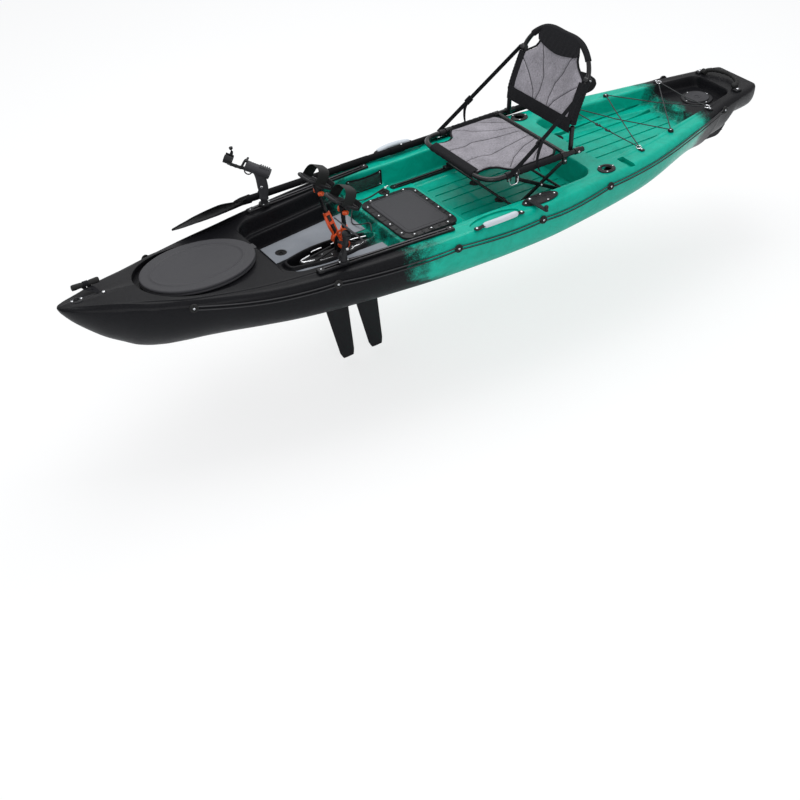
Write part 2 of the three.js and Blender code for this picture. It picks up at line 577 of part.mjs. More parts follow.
// Steering: a lever on a screwed plate on the port gunwale, and a blade hung on a stock under the stern.
const steering = { x: 246, y: 340, halfX: 88, halfY: 36, thick: 5, pivot: 193, post: 11, lift: 12,
  reach: 118 };
const rudder = { axis: 261, stock: 9, stockTop: 196, thick: 12, low: 4, top: 132, front: 113, rear: 325,
  corner: 48, neck: 82, heel: 64 };
placeFrom(seatStart, steering, 'x', 'pivot');
placeFrom(sternStart, rudder, 'axis', 'front', 'rear');
function buildSteering() {
  const { x, y, halfX, halfY, thick, pivot, post, lift, reach } = steering;
  const base = gunwaleHeight + fitGap;
  addPart('steering_plate', joined(plate(ellipseShape(station(x), -y, halfX, halfY), base, base + thick),
    rod([station(pivot), -y, base], [station(pivot), -y, base + thick + lift / 2], post)), paint.black);
  const high = base + thick + lift / 2 + fitGap;
  const arm = new THREE.Shape([[-post, post], [-post / 2, -reach], [post / 2, -reach], [post, post]]
    .map(([dx, dy]) => new THREE.Vector2(station(pivot) + dx, -y + dy)));
  const knob = rod([station(pivot), -y - reach, high], [station(pivot), -y - reach, high + lift * 2],
    post * 0.7);
  addPart('steering_lever', joined(plate(arm, high, high + lift / 2), knob), paint.black);

  const { axis, stock, stockTop, low, top, front, rear, corner, neck, heel } = rudder;
  const blade = new THREE.Shape();
  blade.moveTo(station(front), low);
  blade.lineTo(station(rear - corner * 1.4), low);
  blade.quadraticCurveTo(station(rear - corner / 2), low, station(rear - corner / 3), low + corner);
  blade.lineTo(station(rear), top);
  blade.lineTo(station(rear - neck), top - rudder.thick / 2);
  blade.lineTo(station(front + heel), low + corner * 0.9);
  blade.lineTo(station(front), low + corner / 2);
  const geometry = plate(blade, 0, rudder.thick);
  geometry.rotateX(Math.PI / 2).translate(0, rudder.thick / 2, 0);
  addPart('rudder_blade', joined(geometry, rod([station(axis), 0, low + corner], [station(axis), 0, stockTop],
    stock)), paint.black);
}

// Carrying handles: a grip on webbing each side, a toggle bar at the bow and a curved bar at the stern.
const sideHandle = { front: -114, rear: 131, y: 385, grip: 13, pin: 4.3, gripInset: 40, out: 12 };
const bowHandle = { screw: 182, bar: 11, barLong: 108, barX: 137, barY: 56, webbing: 20, rise: 14 };
const fitting = { x: 78, halfX: 28, halfY: 17, thick: 5 };
const sternHandle = { x: 255, y: 100, reach: 58, bar: 10, boss: 13, lift: 20 };
placeFrom(seatStart, sideHandle, 'front', 'rear');
placeFrom(sternStart, sternHandle, 'x');
function buildHandles() {
  for (const [name, side] of sides) {
    const { front, rear, y, grip, pin, gripInset, out } = sideHandle;
    const z = gunwaleHeight + fitGap;
    const place = (x, dy, up) => [station(x), side * (y + dy), z + up];
    const bar = rod(place(front + gripInset, out, grip), place(rear - gripInset, out, grip), grip, 12);
    const ends = [[front, front + gripInset], [rear, rear - gripInset]].flatMap(([a, b]) =>
      [rod(place(a, 0, pin), place(lerp(a, b, 0.4), 0, pin), pin, 8),
        rod(place(lerp(a, b, 0.3), 0, pin), place(b, out, grip), pin, 8)]);
    addPart(`side_handle_${name}`, joined(bar, ...ends), paint.grip);
  }
  const { bar, barLong, barX, barY, webbing, screw, rise } = bowHandle;
  const deckTop = gunwaleAt(screw - webbing / 2) + fitGap;
  const barZ = gunwaleAt(barX - barLong / 2) + bar + rise;
  addPart('bow_handle', joined(
    rod([station(barX) - barLong / 2, barY, barZ], [station(barX) + barLong / 2, barY, barZ], bar),
    rod([station(screw), 0, deckTop], [station(screw), 0, deckTop + wall * 2], webbing * 0.5),
    swept([[station(screw), 0, deckTop + wall],
      [station(screw) - webbing, barY / 2, deckTop + wall + rise / 2], [station(barX), barY, barZ]],
    flatSection(webbing * 0.8, wall), 4)), paint.black);
  const noseTop = gunwaleAt(fitting.x - fitting.halfX) + fitGap * 3;
  addPart('bow_fitting', plate(ellipseShape(station(fitting.x), 0, fitting.halfX, fitting.halfY), noseTop,
    noseTop + fitting.thick), paint.black);
  const stern = sternHandle;
  const high = gunwaleAt(stern.x) + fitGap;
  const across = (x, y, up) => [station(stern.x + x), y, high + up];
  addPart('stern_handle', joined(
    swept([across(0, -stern.y, stern.boss), across(stern.reach * 0.7, -stern.y * 0.65, stern.lift),
      across(stern.reach, 0, stern.lift), across(stern.reach * 0.7, stern.y * 0.65, stern.lift),
      across(0, stern.y, stern.boss)], roundSection(stern.bar), 14),
    ...sides.map(([, side]) => rod(across(0, side * (stern.y - stern.boss), stern.boss),
      across(0, side * (stern.y + stern.boss), stern.boss), stern.boss))), paint.black);
}

// Pedal drive: a frame in the well, a cross shaft, two cranks with foot plates, and two swinging fins.
const drive = { front: 181, rear: 499, half: 30, top: 128, low: 44, shaftX: 365, shaftZ: 168, shaft: 8,
  drum: 24, finAxisZ: 22 };
const crank = { y: 104, hubY: 20, padX: 327, padZ: 396, width: 20, swing: 0.5 };
const footPad = { long: 150, wide: 100, thick: 12, tilt: 0.62, strap: 4, strapRise: 62, strapWide: 52 };
const fin = { front: 313, rear: 453, top: -34, tip: -400, rootChord: 124, tipChord: 60, sweep: 92, thick: 8,
  mast: 6 };
placeFrom(footStart, drive, 'front', 'rear', 'shaftX');
placeFrom(footStart, crank, 'padX');
placeFrom(footStart, fin, 'front', 'rear');
function buildDrive() {
  buildDriveFrame();
  buildCranks();
  buildFins();
}

function buildDriveFrame() {
  const [front, rear] = [station(drive.front), station(drive.rear)];
  const { half, low, top } = drive;
  const outline = [[front, -half * 0.8], [front + half, -half], [rear - half * 3, -half], [rear, -half / 3],
    [rear, half / 3], [rear - half * 3, half], [front + half, half], [front, half * 0.8]];
  const frame = plate(new THREE.Shape(outline.map(([x, y]) => new THREE.Vector2(x, y))), low, top);
  const hangers = [fin.front, fin.rear].flatMap(x => [-1, 1].map(end => {
    const face = station(x) + end * (fin.rootChord * 0.2 + fitGap);
    const [near, far] = [face, face + end * wall];
    return box(Math.min(near, far), Math.max(near, far), -half / 2, half / 2, drive.finAxisZ - wall * 2,
      low + wall);
  }));
  const [shaftX, shaftZ, hub] = [station(drive.shaftX), drive.shaftZ, crank.hubY];
  const cheeks = sides.map(([, side]) => box(shaftX - drive.drum, shaftX + drive.drum,
    side * (hub - wall * 2) - wall / 2, side * (hub - wall * 2) + wall / 2, top - wall, shaftZ + drive.drum));
  const bore = rod([shaftX, -half * 2, shaftZ], [shaftX, half * 2, shaftZ], drive.shaft + fitGap);
  const seatZ = footwell.floor + driveWell.lip + fitGap;
  const tongueRuns = [[station(driveWell.front) - wall, front + half],
    [rear - half, station(driveWell.rear) + wall]];
  const tongues = tongueRuns.flatMap(([x0, x1]) => [box(x0, x1, -half / 4, half / 4, seatZ, seatZ + wall),
    box(Math.max(x0, front + fitGap), Math.min(x1, rear - fitGap), -half / 4, half / 4, top - wall,
      seatZ + wall)]);
  addPart('drive_frame', cut(joined(frame, ...cheeks, ...hangers, ...tongues), bore), paint.charcoal);
  const reach = hub + crank.width + wall;
  addPart('drive_shaft', rod([shaftX, -reach, shaftZ], [shaftX, reach, shaftZ], drive.shaft), paint.silver);
}

function buildCranks() {
  const [shaftX, shaftZ, thin] = [station(drive.shaftX), drive.shaftZ, drive.shaft * 0.7];
  const { y, hubY, width, padX, padZ } = crank;
  for (const [name, side] of sides) {
    const hub = rod([shaftX, side * (hubY - drive.shaft / 2), shaftZ],
      [shaftX, side * (hubY + width), shaftZ], drive.drum);
    const hole = rod([shaftX, 0, shaftZ], [shaftX, side * y, shaftZ], drive.shaft + fitGap);
    const start = [shaftX, side * (hubY + width / 2), shaftZ + drive.shaft * 1.5];
    const knee = [lerp(shaftX, station(padX), 0.5), side * y * 0.7, lerp(shaftZ, padZ, 0.5)];
    const head = [station(padX), side * y, padZ];
    const throughHead = (reach, radius) => rod([head[0], head[1] - reach, head[2]],
      [head[0], head[1] + reach, head[2]], radius);
    addPart(`crank_${name}`, cut(joined(hub, rod(start, knee, width / 2), rod(knee, head, width / 2),
      throughHead(footPad.wide / 2, thin)), hole), paint.orange);
    const armRoom = [-1, -0.5, 0, 0.5, 1].map(share => rod([0, 0, 0], [knee[0] - head[0], knee[1] - head[1],
      knee[2] - head[2]], width / 2 + footPad.strap).rotateY(share * crank.swing).translate(...head));
    addPart(`foot_pad_${name}`, cut(padSolid(side), throughHead(footPad.wide, thin + fitGap * 2), ...armRoom,
      throughHead(width, width / 2 + footPad.strap)), paint.black);
  }
}

function buildFins() {
  const { top, tip, rootChord, tipChord, sweep, thick, mast } = fin;
  const mastEnd = lerp(top, tip, 0.55);
  for (const [name, x] of [['front', fin.front], ['rear', fin.rear]]) {
    const drum = rod([station(x - rootChord * 0.2), 0, drive.finAxisZ],
      [station(x + rootChord * 0.2), 0, drive.finAxisZ], drive.drum * 0.8);
    const post = rod([station(x), 0, drive.finAxisZ], [station(x), 0, mastEnd], mast, 10);
    addPart(`fin_mast_${name}`, joined(drum, post), paint.silver);
    const half = rootChord / 2;
    const corners = [[x - half, top - mast], [x + half, top], [x + half + sweep * 0.22, tip + mast * 3],
      [x + half - tipChord * 0.7, tip]];
    const shape = new THREE.Shape(corners.map(([px, pz]) => new THREE.Vector2(station(px), pz)));
    const depth = thick + 2 * mast;
    const blade = new THREE.ExtrudeGeometry(shape, { depth, bevelEnabled: false });
    blade.rotateX(Math.PI / 2).translate(0, depth / 2, 0);
    const sleeve = rod([station(x), 0, top + overrun], [station(x), 0, mastEnd - fitGap], mast + fitGap, 10);
    addPart(`fin_${name}`, cut(blade, sleeve), paint.black);
  }
}

// A foot plate with its heel cup and the wide strap over the instep, as one moulding.
function padSolid(side) {
  const { long, wide, thick, tilt, strap, strapRise, strapWide } = footPad;
  const sole = box(-long / 2, long / 2, -wide / 2, wide / 2, -thick / 2, thick / 2);
  const arch = new THREE.Shape();
  arch.moveTo(-wide / 2, 0);
  arch.lineTo(-wide / 2, strapRise * 0.5);
  arch.quadraticCurveTo(-wide / 2, strapRise, 0, strapRise);
  arch.quadraticCurveTo(wide / 2, strapRise, wide / 2, strapRise * 0.5);
  arch.lineTo(wide / 2, 0);
  arch.lineTo(wide / 2 - strap, 0);
  arch.lineTo(wide / 2 - strap, strapRise * 0.5);
  arch.quadraticCurveTo(wide / 2 - strap, strapRise - strap, 0, strapRise - strap);
  arch.quadraticCurveTo(-wide / 2 + strap, strapRise - strap, -wide / 2 + strap, strapRise * 0.5);
  arch.lineTo(-wide / 2 + strap, 0);
  const band = new THREE.ExtrudeGeometry(arch, { depth: strapWide, bevelEnabled: false, curveSegments: 5 });
  band.rotateX(Math.PI / 2).rotateZ(Math.PI / 2).translate(-strapWide / 2, 0, 0);
  const whole = joined(sole, band).rotateY(tilt);
  return whole.translate(station(crank.padX), side * crank.y, crank.padZ + footPad.thick);
}

// Seat: a bent tube base on scissor legs that stand on runners, with a folding back frame.
const seat = { front: 52, rear: 546, half: 240, tube: 11, z: 352, corner: 70, pad: 26, cross: 458 };
const back = { pivotX: 498, pivotZ: 352, kneeX: 513, kneeZ: 477, jointX: 591, jointZ: 661, topX: 635,
  topZ: 766, half: 216, tube: 10, pad: 16 };
const leg = { frontX: 194, rearX: 446, low: 190, high: 330, bar: 8, outset: 10, thick: 7, pin: 6 };
const runner = { front: 172, rear: 470, width: 26, height: 8 };
placeFrom(seatStart, seat, 'front', 'rear', 'cross');
placeFrom(seatStart, back, 'pivotX', 'kneeX', 'jointX', 'topX');
placeFrom(seatStart, leg, 'frontX', 'rearX');
placeFrom(seatStart, runner, 'front', 'rear');
const lug = { half: 10, thick: 3.5 };
const legPlane = name => seat.half + leg.outset - (name === 'front' ? 0 : leg.thick + fitGap * 4);
function buildSeat() {
  const { front, rear, half, tube, z, corner, cross } = seat;
  const bend = corner * 0.3;
  const route = [[rear, -half], [back.pivotX, -half], [front + corner, -half], [front + bend, -half + bend],
    [front, -half + corner], [front, 0], [front, half - corner], [front + bend, half - bend],
    [front + corner, half], [back.pivotX, half], [rear, half]].map(([x, y]) => [station(x), y, z]);
  const lugs = sides.flatMap(([, side]) => [[leg.frontX, legPlane('front')], [leg.rearX, legPlane('rear')]]
    .flatMap(([x, plane]) => {
      const face = plane + leg.thick / 2 + fitGap;
      const slab = (inner, outer, low, high) => box(station(x - lug.half), station(x + lug.half),
        Math.min(side * inner, side * outer), Math.max(side * inner, side * outer), low, high);
      return [slab(face, face + lug.thick, leg.high - lug.half, z),
        slab(half - tube / 2, face + lug.thick, z - tube * 0.8, z)];
    }));
  addPart('seat_base_frame', joined(swept(route, roundSection(tube), 32), ...lugs,
    rod([station(cross), -half, z], [station(cross), half, z], tube * 0.8, 8)), paint.tube);
  buildSeatPad();
  buildBack();
  buildSeatLegs();
  buildStraps();
}

// The seat cushion: crowned, its front corners drawn in, with two channels that fan out to the front.
function buildSeatPad() {
  const { front, half, tube, z, pad, cross } = seat;
  const cushion = [];
  const [cols, rows] = [14, 12];
  const inner = half - tube - fitGap;
  const x0 = front + tube + fitGap;
  const x1 = cross - tube * 2;
  const notch = 0.7;
  for (let i = 0; i <= cols; i++) {
    const s = i / cols;
    const x = lerp(x0, x1, s);
    const cornerIn = s < 0.22 ? notch : lerp(1, 0.96, s);
    const ring = [];
    for (const [from, to, top] of [[-1, 1, true], [1, -1, false]]) {
      for (let j = 0; j < rows; j++) {
        const t = lerp(from, to, j / rows);
        const rise = Math.sin(Math.PI * lerp(0.04, 0.96, s)) ** 0.5;
        const swell = (1 - Math.abs(t) ** 6) * lerp(0.35, 1, rise);
        const channel = middle => 0.18 * Math.exp(-(((t - middle * (1 - s)) / 0.06) ** 2));
        const groove = 1 - channel(0.45) - channel(-0.45);
        const up = top ? pad * 0.5 * swell * groove : -pad * 0.3 * swell;
        ring.push([station(x), t * inner * cornerIn, z + pad * 0.2 + up]);
      }
    }
    cushion.push(ring.reverse());
  }
  addPart('seat_pad', loft(cushion), paint.fabric);
}

// The back frame: two uprights that bend at the joint and meet in an arch over the head end.
function backPoint(share, y) {
  const stops = [[back.pivotX, back.pivotZ], [back.kneeX, back.kneeZ], [back.jointX, back.jointZ],
    [back.topX, back.topZ]];
  const spans = stops.slice(1).map(([x, z], i) => Math.hypot(x - stops[i][0], z - stops[i][1]));
  let rest = share * spans.reduce((a, b) => a + b);
  let i = 0;
  while (i < spans.length - 1 && rest > spans[i]) rest -= spans[i++];
  const t = Math.min(rest / spans[i], 1);
  return [station(lerp(stops[i][0], stops[i + 1][0], t)), y, lerp(stops[i][1], stops[i + 1][1], t)];
}
function buildBack() {
  const outlineShares = [[0, 1], [0.28, 1], [0.52, 1], [0.72, 0.99], [0.86, 0.86], [0.96, 0.62], [1, 0.36]];
  const upright = side => outlineShares.map(([share, y]) => backPoint(share, side * y * back.half));
  const route = upright(-1).concat([backPoint(1, 0)], upright(1).reverse());
  const pins = sides.map(([, side]) => rod([station(back.pivotX), side * back.half, back.pivotZ],
    [station(back.pivotX), side * (seat.half - seat.tube - fitGap), back.pivotZ], back.tube / 2, 8));
  addPart('back_frame', joined(swept(route, roundSection(back.tube), 30), ...pins,
    rod(backPoint(0.2, -back.half), backPoint(0.2, back.half), back.tube * 0.8, 8)), paint.tube);
  buildBackPad();
  buildHeadSleeve();
}

// The back panel: crowned to the front and behind, with two folds that fan out from its lower middle.
function buildBackPad() {
  const rings = [];
  const [rows, cols] = [12, 10];
  for (let i = 0; i <= rows; i++) {
    const share = lerp(0.27, 0.83, i / rows);
    const open = lerp(1, 0.84, Math.max(0, (i / rows - 0.6) / 0.4) ** 2);
    const width = (back.half - back.tube - fitGap) * open;
    const ring = [];
    for (const [from, to, facing] of [[-1, 1, 1], [1, -1, -1]]) {
      for (let j = 0; j < cols; j++) {
        const t = lerp(from, to, j / cols);
        const [x, y, zc] = backPoint(share, t * width);
        const belly = (1 - Math.abs(t) ** 4) * Math.sin(Math.PI * lerp(0.06, 0.94, i / rows)) ** 0.5;
        const fold = 1 - 0.2 * Math.exp(-(((Math.abs(t) - 0.4 * (i / rows)) / 0.07) ** 2));
        ring.push([x - facing * back.pad / 2 * Math.max(0, belly) * fold, y, zc]);
      }
    }
    rings.push(ring);
  }
  addPart('back_pad', loftUp(rings), paint.fabric);
}

// The sleeve over the arch: a panel in front of the tube, as wide as the arch at its foot.
function buildHeadSleeve() {
  const [low, high] = [backPoint(0.87, 0), backPoint(1, 0)];
  const tall = high[2] - low[2] + back.tube;
  const sleeveShares = [[-0.62, 0], [-0.6, 0.4], [-0.42, 1], [0.42, 1], [0.6, 0.4], [0.62, 0]];
  const sleeve = new THREE.Shape(sleeveShares.map(([y, up]) => new THREE.Vector2(y * back.half, up * tall)));
  const sheet = new THREE.ExtrudeGeometry(sleeve, { depth: back.pad * 0.4, bevelEnabled: false });
  sheet.rotateX(Math.PI / 2).rotateZ(Math.PI / 2).rotateY(Math.atan2(high[0] - low[0], high[2] - low[2]));
  sheet.translate(low[0] - back.tube - back.pad * 0.4 - fitGap * 6, 0, low[2]);
  addPart('head_sleeve', sheet, paint.webbing);
}

// The same as loft, for rings that are stacked upwards.
function loftUp(rings) {
  const swapped = rings.map(ring => ring.map(([x, y, z]) => [z, y, -x]));
  const geometry = loft(swapped.map(ring => ring.slice()));
  return geometry.rotateY(-Math.PI / 2);
}

function buildSeatLegs() {
  const { frontX, rearX, low, high, bar, thick, pin } = leg;
  for (const [name, topX, footX] of [['front', frontX, rearX], ['rear', rearX, frontX]]) {
    const plane = legPlane(name);
    const bars = sides.map(([, side]) => {
      const shape = new THREE.Shape();
      const [ax, az, bx, bz] = [station(footX), low, station(topX), high];
      const run = Math.hypot(bx - ax, bz - az);
      const [nx, nz] = [-(bz - az) / run * bar, (bx - ax) / run * bar];
      shape.moveTo(ax + nx, az + nz);
      shape.lineTo(ax - nx, az - nz);
      shape.lineTo(bx - nx, bz - nz);
      shape.lineTo(bx + nx, bz + nz);
      const geometry = new THREE.ExtrudeGeometry(shape, { depth: thick, bevelEnabled: false });
      return geometry.rotateX(Math.PI / 2).translate(0, side * plane + thick / 2, 0);
    });
    const crossBar = rod([station(footX), -plane, low], [station(footX), plane, low], pin, 8);
    addPart(`seat_leg_${name}`, joined(...bars, crossBar), paint.tube);
  }
  for (const [name, side] of sides) {
    const base = sideLedge.seatHeight + fitGap * 2 + track.height;
    const [y0, y1] = [seatTrack.y - runner.width / 2, seatTrack.y + runner.width / 2].map(v => side * v);
    const bed = box(station(runner.front), station(runner.rear), Math.min(y0, y1), Math.max(y0, y1), base,
      base + runner.height);
    const cheeks = [[rearX, legPlane('front')], [frontX, legPlane('rear')]].map(([x, plane]) => {
      const face = plane + thick / 2 + fitGap;
      const [c0, c1] = [side * face, side * (face + lug.thick)];
      return box(station(x - lug.half), station(x + lug.half), Math.min(c0, c1), Math.max(c0, c1), base,
        low + lug.half / 2);
    });
    addPart(`seat_runner_${name}`, joined(bed, ...cheeks), paint.black);
  }
}

// Flat straps from the seat's front corners up to the back frame's joints, one each side.
const strap = { wide: 22, thick: 3, frontX: 152, backShare: 0.7 };
placeFrom(seatStart, strap, 'frontX');
function buildStraps() {
  for (const [name, side] of sides) {
    const y = side * (seat.half + seat.tube + strap.thick);
    const end = backPoint(strap.backShare, side * (back.half + back.tube + strap.thick));
    const middle = [lerp(station(strap.frontX), end[0], 0.6), y, lerp(seat.z, end[2], 0.5)];
    addPart(`side_strap_${name}`, swept([[station(strap.frontX), y, seat.z], middle, end],
      flatSection(strap.wide, strap.thick), 10), paint.webbing);
  }
}

// Rod holder on the starboard gunwale: a base, a post with a barrel at its head, and a cradle that
// flips up from the barrel's mouth.
const rodHolder = { x: 83, base: 24, post: 13, postTop: 292, barrel: 22, bore: 15, barrelLong: 104,
  reach: 14, rise: 134, dip: 0.35, yaw: -0.76 };
const cradle = { radius: 20, bore: 14, long: 36, ahead: 74, neck: 5, tab: 26 };
placeFrom(gearTrack.front, rodHolder, 'x');
const gearTrackY = x => lerp(gearTrack.yFront, gearTrack.yRear,
  (x - gearTrack.front) / (gearTrack.rear - gearTrack.front));
function buildRodHolder() {
  const { x, base, post, postTop, barrel, bore, barrelLong, reach, rise, dip, yaw } = rodHolder;
  const low = gearTrackSeat + track.height + fitGap;
  const turned = geometry => geometry.rotateZ(yaw).translate(station(x), gearTrackY(x), 0);
  addPart('rod_holder_base', joined(rod([0, 0, low], [0, 0, low + track.height], base, 16),
    rod([0, 0, low], [0, 0, postTop], post, 12)).translate(station(x), gearTrackY(x), 0), paint.black);
  const [headX, headZ] = [-reach, postTop + rise];
  const [axisX, axisZ] = [Math.cos(dip) * barrelLong / 2, -Math.sin(dip) * barrelLong / 2];
  const [mouth, tail] = [[headX - axisX, 0, headZ - axisZ], [headX + axisX, 0, headZ + axisZ]];
  const neck = postTop + fitGap + post * 1.2;
  const body = joined(rod(mouth, tail, barrel, 14),
    rod([0, 0, neck - post * 0.3], [headX, 0, headZ], post, 12),
    rod([0, 0, postTop + fitGap], [0, 0, neck], post, 12));
  const barrelPoint = (t, up) => [lerp(mouth[0], tail[0], t), 0, lerp(mouth[2], tail[2], t) + up];
  const barrelBore = rod(barrelPoint(-0.2, 0), barrelPoint(0.85, 0), bore, 12);
  addPart('rod_holder_body', turned(cut(body, barrelBore)), paint.charcoal);
  const hinge = barrelPoint(0.08, barrel + cradle.neck + fitGap * 5);
  const onAxis = (ahead, up) => [mouth[0] - Math.cos(dip) * ahead, 0, mouth[2] + Math.sin(dip) * ahead + up];
  const [near, far] = [cradle.ahead - cradle.long / 2, cradle.ahead + cradle.long / 2];
  const ring = cut(rod(onAxis(near, 0), onAxis(far, 0), cradle.radius, 14),
    rod(onAxis(near - overrun, 0), onAxis(far + overrun, 0), cradle.bore, 12));
  const wallMiddle = (cradle.radius + cradle.bore) / 2;
  addPart('rod_holder_latch', turned(joined(ring,
    rod([hinge[0], -barrel * 0.7, hinge[2]], [hinge[0], barrel * 0.7, hinge[2]], cradle.neck, 8),
    rod(hinge, onAxis(cradle.ahead, wallMiddle), cradle.neck, 8),
    rod(onAxis(cradle.ahead, wallMiddle), onAxis(cradle.ahead, wallMiddle + cradle.tab), cradle.neck, 8))),
  paint.black);
}

// Electronics arm on the port gear track: a knobbed post and a perforated plate across the boat.
const finder = { x: 110, y: 291, foot: 19, knob: 13, kneeZ: 300, headX: 121, headY: 310, headZ: 397,
  plateLong: 187, plateWide: 47, plateThick: 6, tilt: 0.85 };
placeFrom(gearTrack.front, finder, 'x', 'headX');
function buildFinder() {
  const deckTop = gearTrackSeat + track.height + fitGap;
  const foot = [station(finder.x), -finder.y];
  const head = [station(finder.headX), -finder.headY, finder.headZ];
  const off = finder.knob + finder.plateThick;
  const awayFrom = ([x, y, z], reach) =>
    [x + reach * Math.sin(finder.tilt), y, z + reach * Math.cos(finder.tilt)];
  addPart('finder_post', joined(rod([...foot, deckTop], [...foot, deckTop + finder.knob], finder.foot, 14),
    rod([...foot, deckTop], [...foot, finder.kneeZ], finder.knob, 12),
    rod([...foot, finder.kneeZ - finder.knob / 2], head, finder.knob * 0.7, 10),
    rod([head[0], head[1] - finder.knob, head[2]], [head[0], head[1] + finder.knob, head[2]],
      off - finder.plateThick / 2 - fitGap, 16)), paint.black);
  const board = box(-finder.plateWide / 2, finder.plateWide / 2, -finder.plateLong / 2, finder.plateLong / 2,
    -finder.plateThick / 2, finder.plateThick / 2);
  board.rotateY(finder.tilt);
  addPart('finder_plate', board.translate(...awayFrom(head, off)), paint.charcoal);
}

// Two-bladed paddle held along the starboard gunwale, its blades leaning opposite ways.
const paddle = { front: -206, rear: 1994, y: 357, shaft: 15, blade: 400, bladeWide: 210, bladeThick: 8,
  socket: 4, frontLean: -0.66, rearLean: 0.46 };
placeFrom(footStart, paddle, 'front', 'rear');
const frontBladeShares = [[0, -0.1], [0.03, 0.08], [0.15, 0.24], [0.4, 0.33], [0.65, 0.3], [0.84, 0.1],
  [0.84, -0.1], [0.66, -0.44], [0.4, -0.66], [0.18, -0.64], [0.04, -0.42]];
const rearBladeShares = [[0, 0.14], [0.03, 0], [0.15, -0.12], [0.4, -0.16], [0.65, -0.15], [0.84, -0.08],
  [0.84, 0.08], [0.66, 0.36], [0.4, 0.5], [0.18, 0.48], [0.04, 0.34]];
function buildPaddle() {
  const { front, rear, y, shaft, blade, bladeWide, bladeThick, socket, frontLean, rearLean } = paddle;
  const z = gunwaleHeight + fitGap * 2 + shaft;
  const shaftEnds = [front + blade * 0.82, rear - blade * 0.82].map(x => [station(x), y, z]);
  addPart('paddle_shaft', rod(...shaftEnds, shaft, 14), paint.black);
  const ends = [['front', front, 1, frontBladeShares, frontLean],
    ['rear', rear, -1, rearBladeShares, rearLean]];
  for (const [name, tip, way, shares, lean] of ends) {
    const shape = new THREE.Shape(shares.map(([run, across]) =>
      new THREE.Vector2(station(tip) + way * run * blade, across * bladeWide)));
    const flat = plate(shape, -bladeThick / 2, bladeThick / 2).rotateX(lean).translate(0, y, z);
    const root = station(tip) + way * blade * 0.82;
    const collar = rod([root - way * blade * 0.18, y, z], [root + way * blade * 0.08, y, z],
      shaft + socket, 12);
    const room = rod([root - way * fitGap, y, z], [root + way * blade * 0.1, y, z], shaft + fitGap, 14);
    addPart(`paddle_blade_${name}`, cut(joined(flat, collar), room), paint.black);
  }
}

// Safety leash: a thin cord from the drive to a hook on the starboard seat track.
const leash = { cord: 2.5, hook: 7 };
function buildLeash() {
  const points = [[1338, 4, 157.2], [1352, 40, 172], [1334, 84, 152], [1322, 130, 141], [1344, 168, 168],
    [1380, 192, 194], [1424, 204, 184], [1470, 214, 181.2], [1516, 230, 181.2], [1548, 236, 185.5]];
  const cordRoute = points.map(([x, y, z]) => [station(x), y, z]);
  const end = cordRoute[cordRoute.length - 1];
  addPart('leash', joined(swept(cordRoute, roundSection(leash.cord, 8), 44),
    rod(end, [end[0] + leash.hook * 3, end[1], end[2]], leash.hook, 8)), paint.cord);
}

buildHull();
buildDeck();
buildHatches();
buildMats();
buildTracks();
buildRodTubes();
buildPockets();
buildDeckLines();
buildBungee();
buildSteering();
buildHandles();
buildDrive();
buildSeat();
buildRodHolder();
buildFinder();
buildPaddle();
buildLeash();

export default group;
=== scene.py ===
# Sit-on-top pedal kayak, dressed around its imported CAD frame. Lengths are metres, but millimetres
# inside mm(). X runs aft, Y to starboard and Z up.

import bpy
import numpy as np
from mathutils import Matrix, Vector
from mathutils.bvhtree import BVHTree


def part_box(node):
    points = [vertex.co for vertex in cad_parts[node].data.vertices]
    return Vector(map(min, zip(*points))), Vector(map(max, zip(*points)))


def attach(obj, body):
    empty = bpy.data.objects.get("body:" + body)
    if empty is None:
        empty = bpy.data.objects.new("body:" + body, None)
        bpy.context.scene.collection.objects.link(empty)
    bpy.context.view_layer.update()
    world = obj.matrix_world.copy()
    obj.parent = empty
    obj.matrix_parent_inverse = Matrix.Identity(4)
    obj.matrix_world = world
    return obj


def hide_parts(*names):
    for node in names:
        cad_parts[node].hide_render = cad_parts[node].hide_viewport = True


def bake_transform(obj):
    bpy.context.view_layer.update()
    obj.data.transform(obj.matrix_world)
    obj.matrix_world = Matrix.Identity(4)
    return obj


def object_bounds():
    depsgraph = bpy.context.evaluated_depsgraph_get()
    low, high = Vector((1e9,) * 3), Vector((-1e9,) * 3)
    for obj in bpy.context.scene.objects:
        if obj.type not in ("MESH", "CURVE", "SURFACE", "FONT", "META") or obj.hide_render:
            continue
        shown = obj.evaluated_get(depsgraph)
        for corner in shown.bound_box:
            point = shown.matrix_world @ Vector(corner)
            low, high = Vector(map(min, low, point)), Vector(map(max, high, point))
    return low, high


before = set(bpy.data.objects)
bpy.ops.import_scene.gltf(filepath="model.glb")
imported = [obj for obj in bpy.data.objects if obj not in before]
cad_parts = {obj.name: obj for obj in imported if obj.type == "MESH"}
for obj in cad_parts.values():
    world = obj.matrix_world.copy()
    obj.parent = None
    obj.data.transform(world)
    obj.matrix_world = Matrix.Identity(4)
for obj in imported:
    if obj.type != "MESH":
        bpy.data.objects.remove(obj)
cad_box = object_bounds()
sides = (("port", -1), ("starboard", 1))
both = (-1, 1)

# Camera, floor and light
# The photograph looks down on the port bow from a little over a boat's length away. The frame is
# shifted so that the kayak fills the upper half of the picture, as it does there.

azimuth, elevation, roll = np.radians([31.8, 29.26, -2.649])
camera_target = Vector((-0.15669, 0.0, 0.26881))
camera_distance = 6.2379
focal_pixels, picture_pixels = 1525.31, 800
optical_centre = (407.01, 194.82)

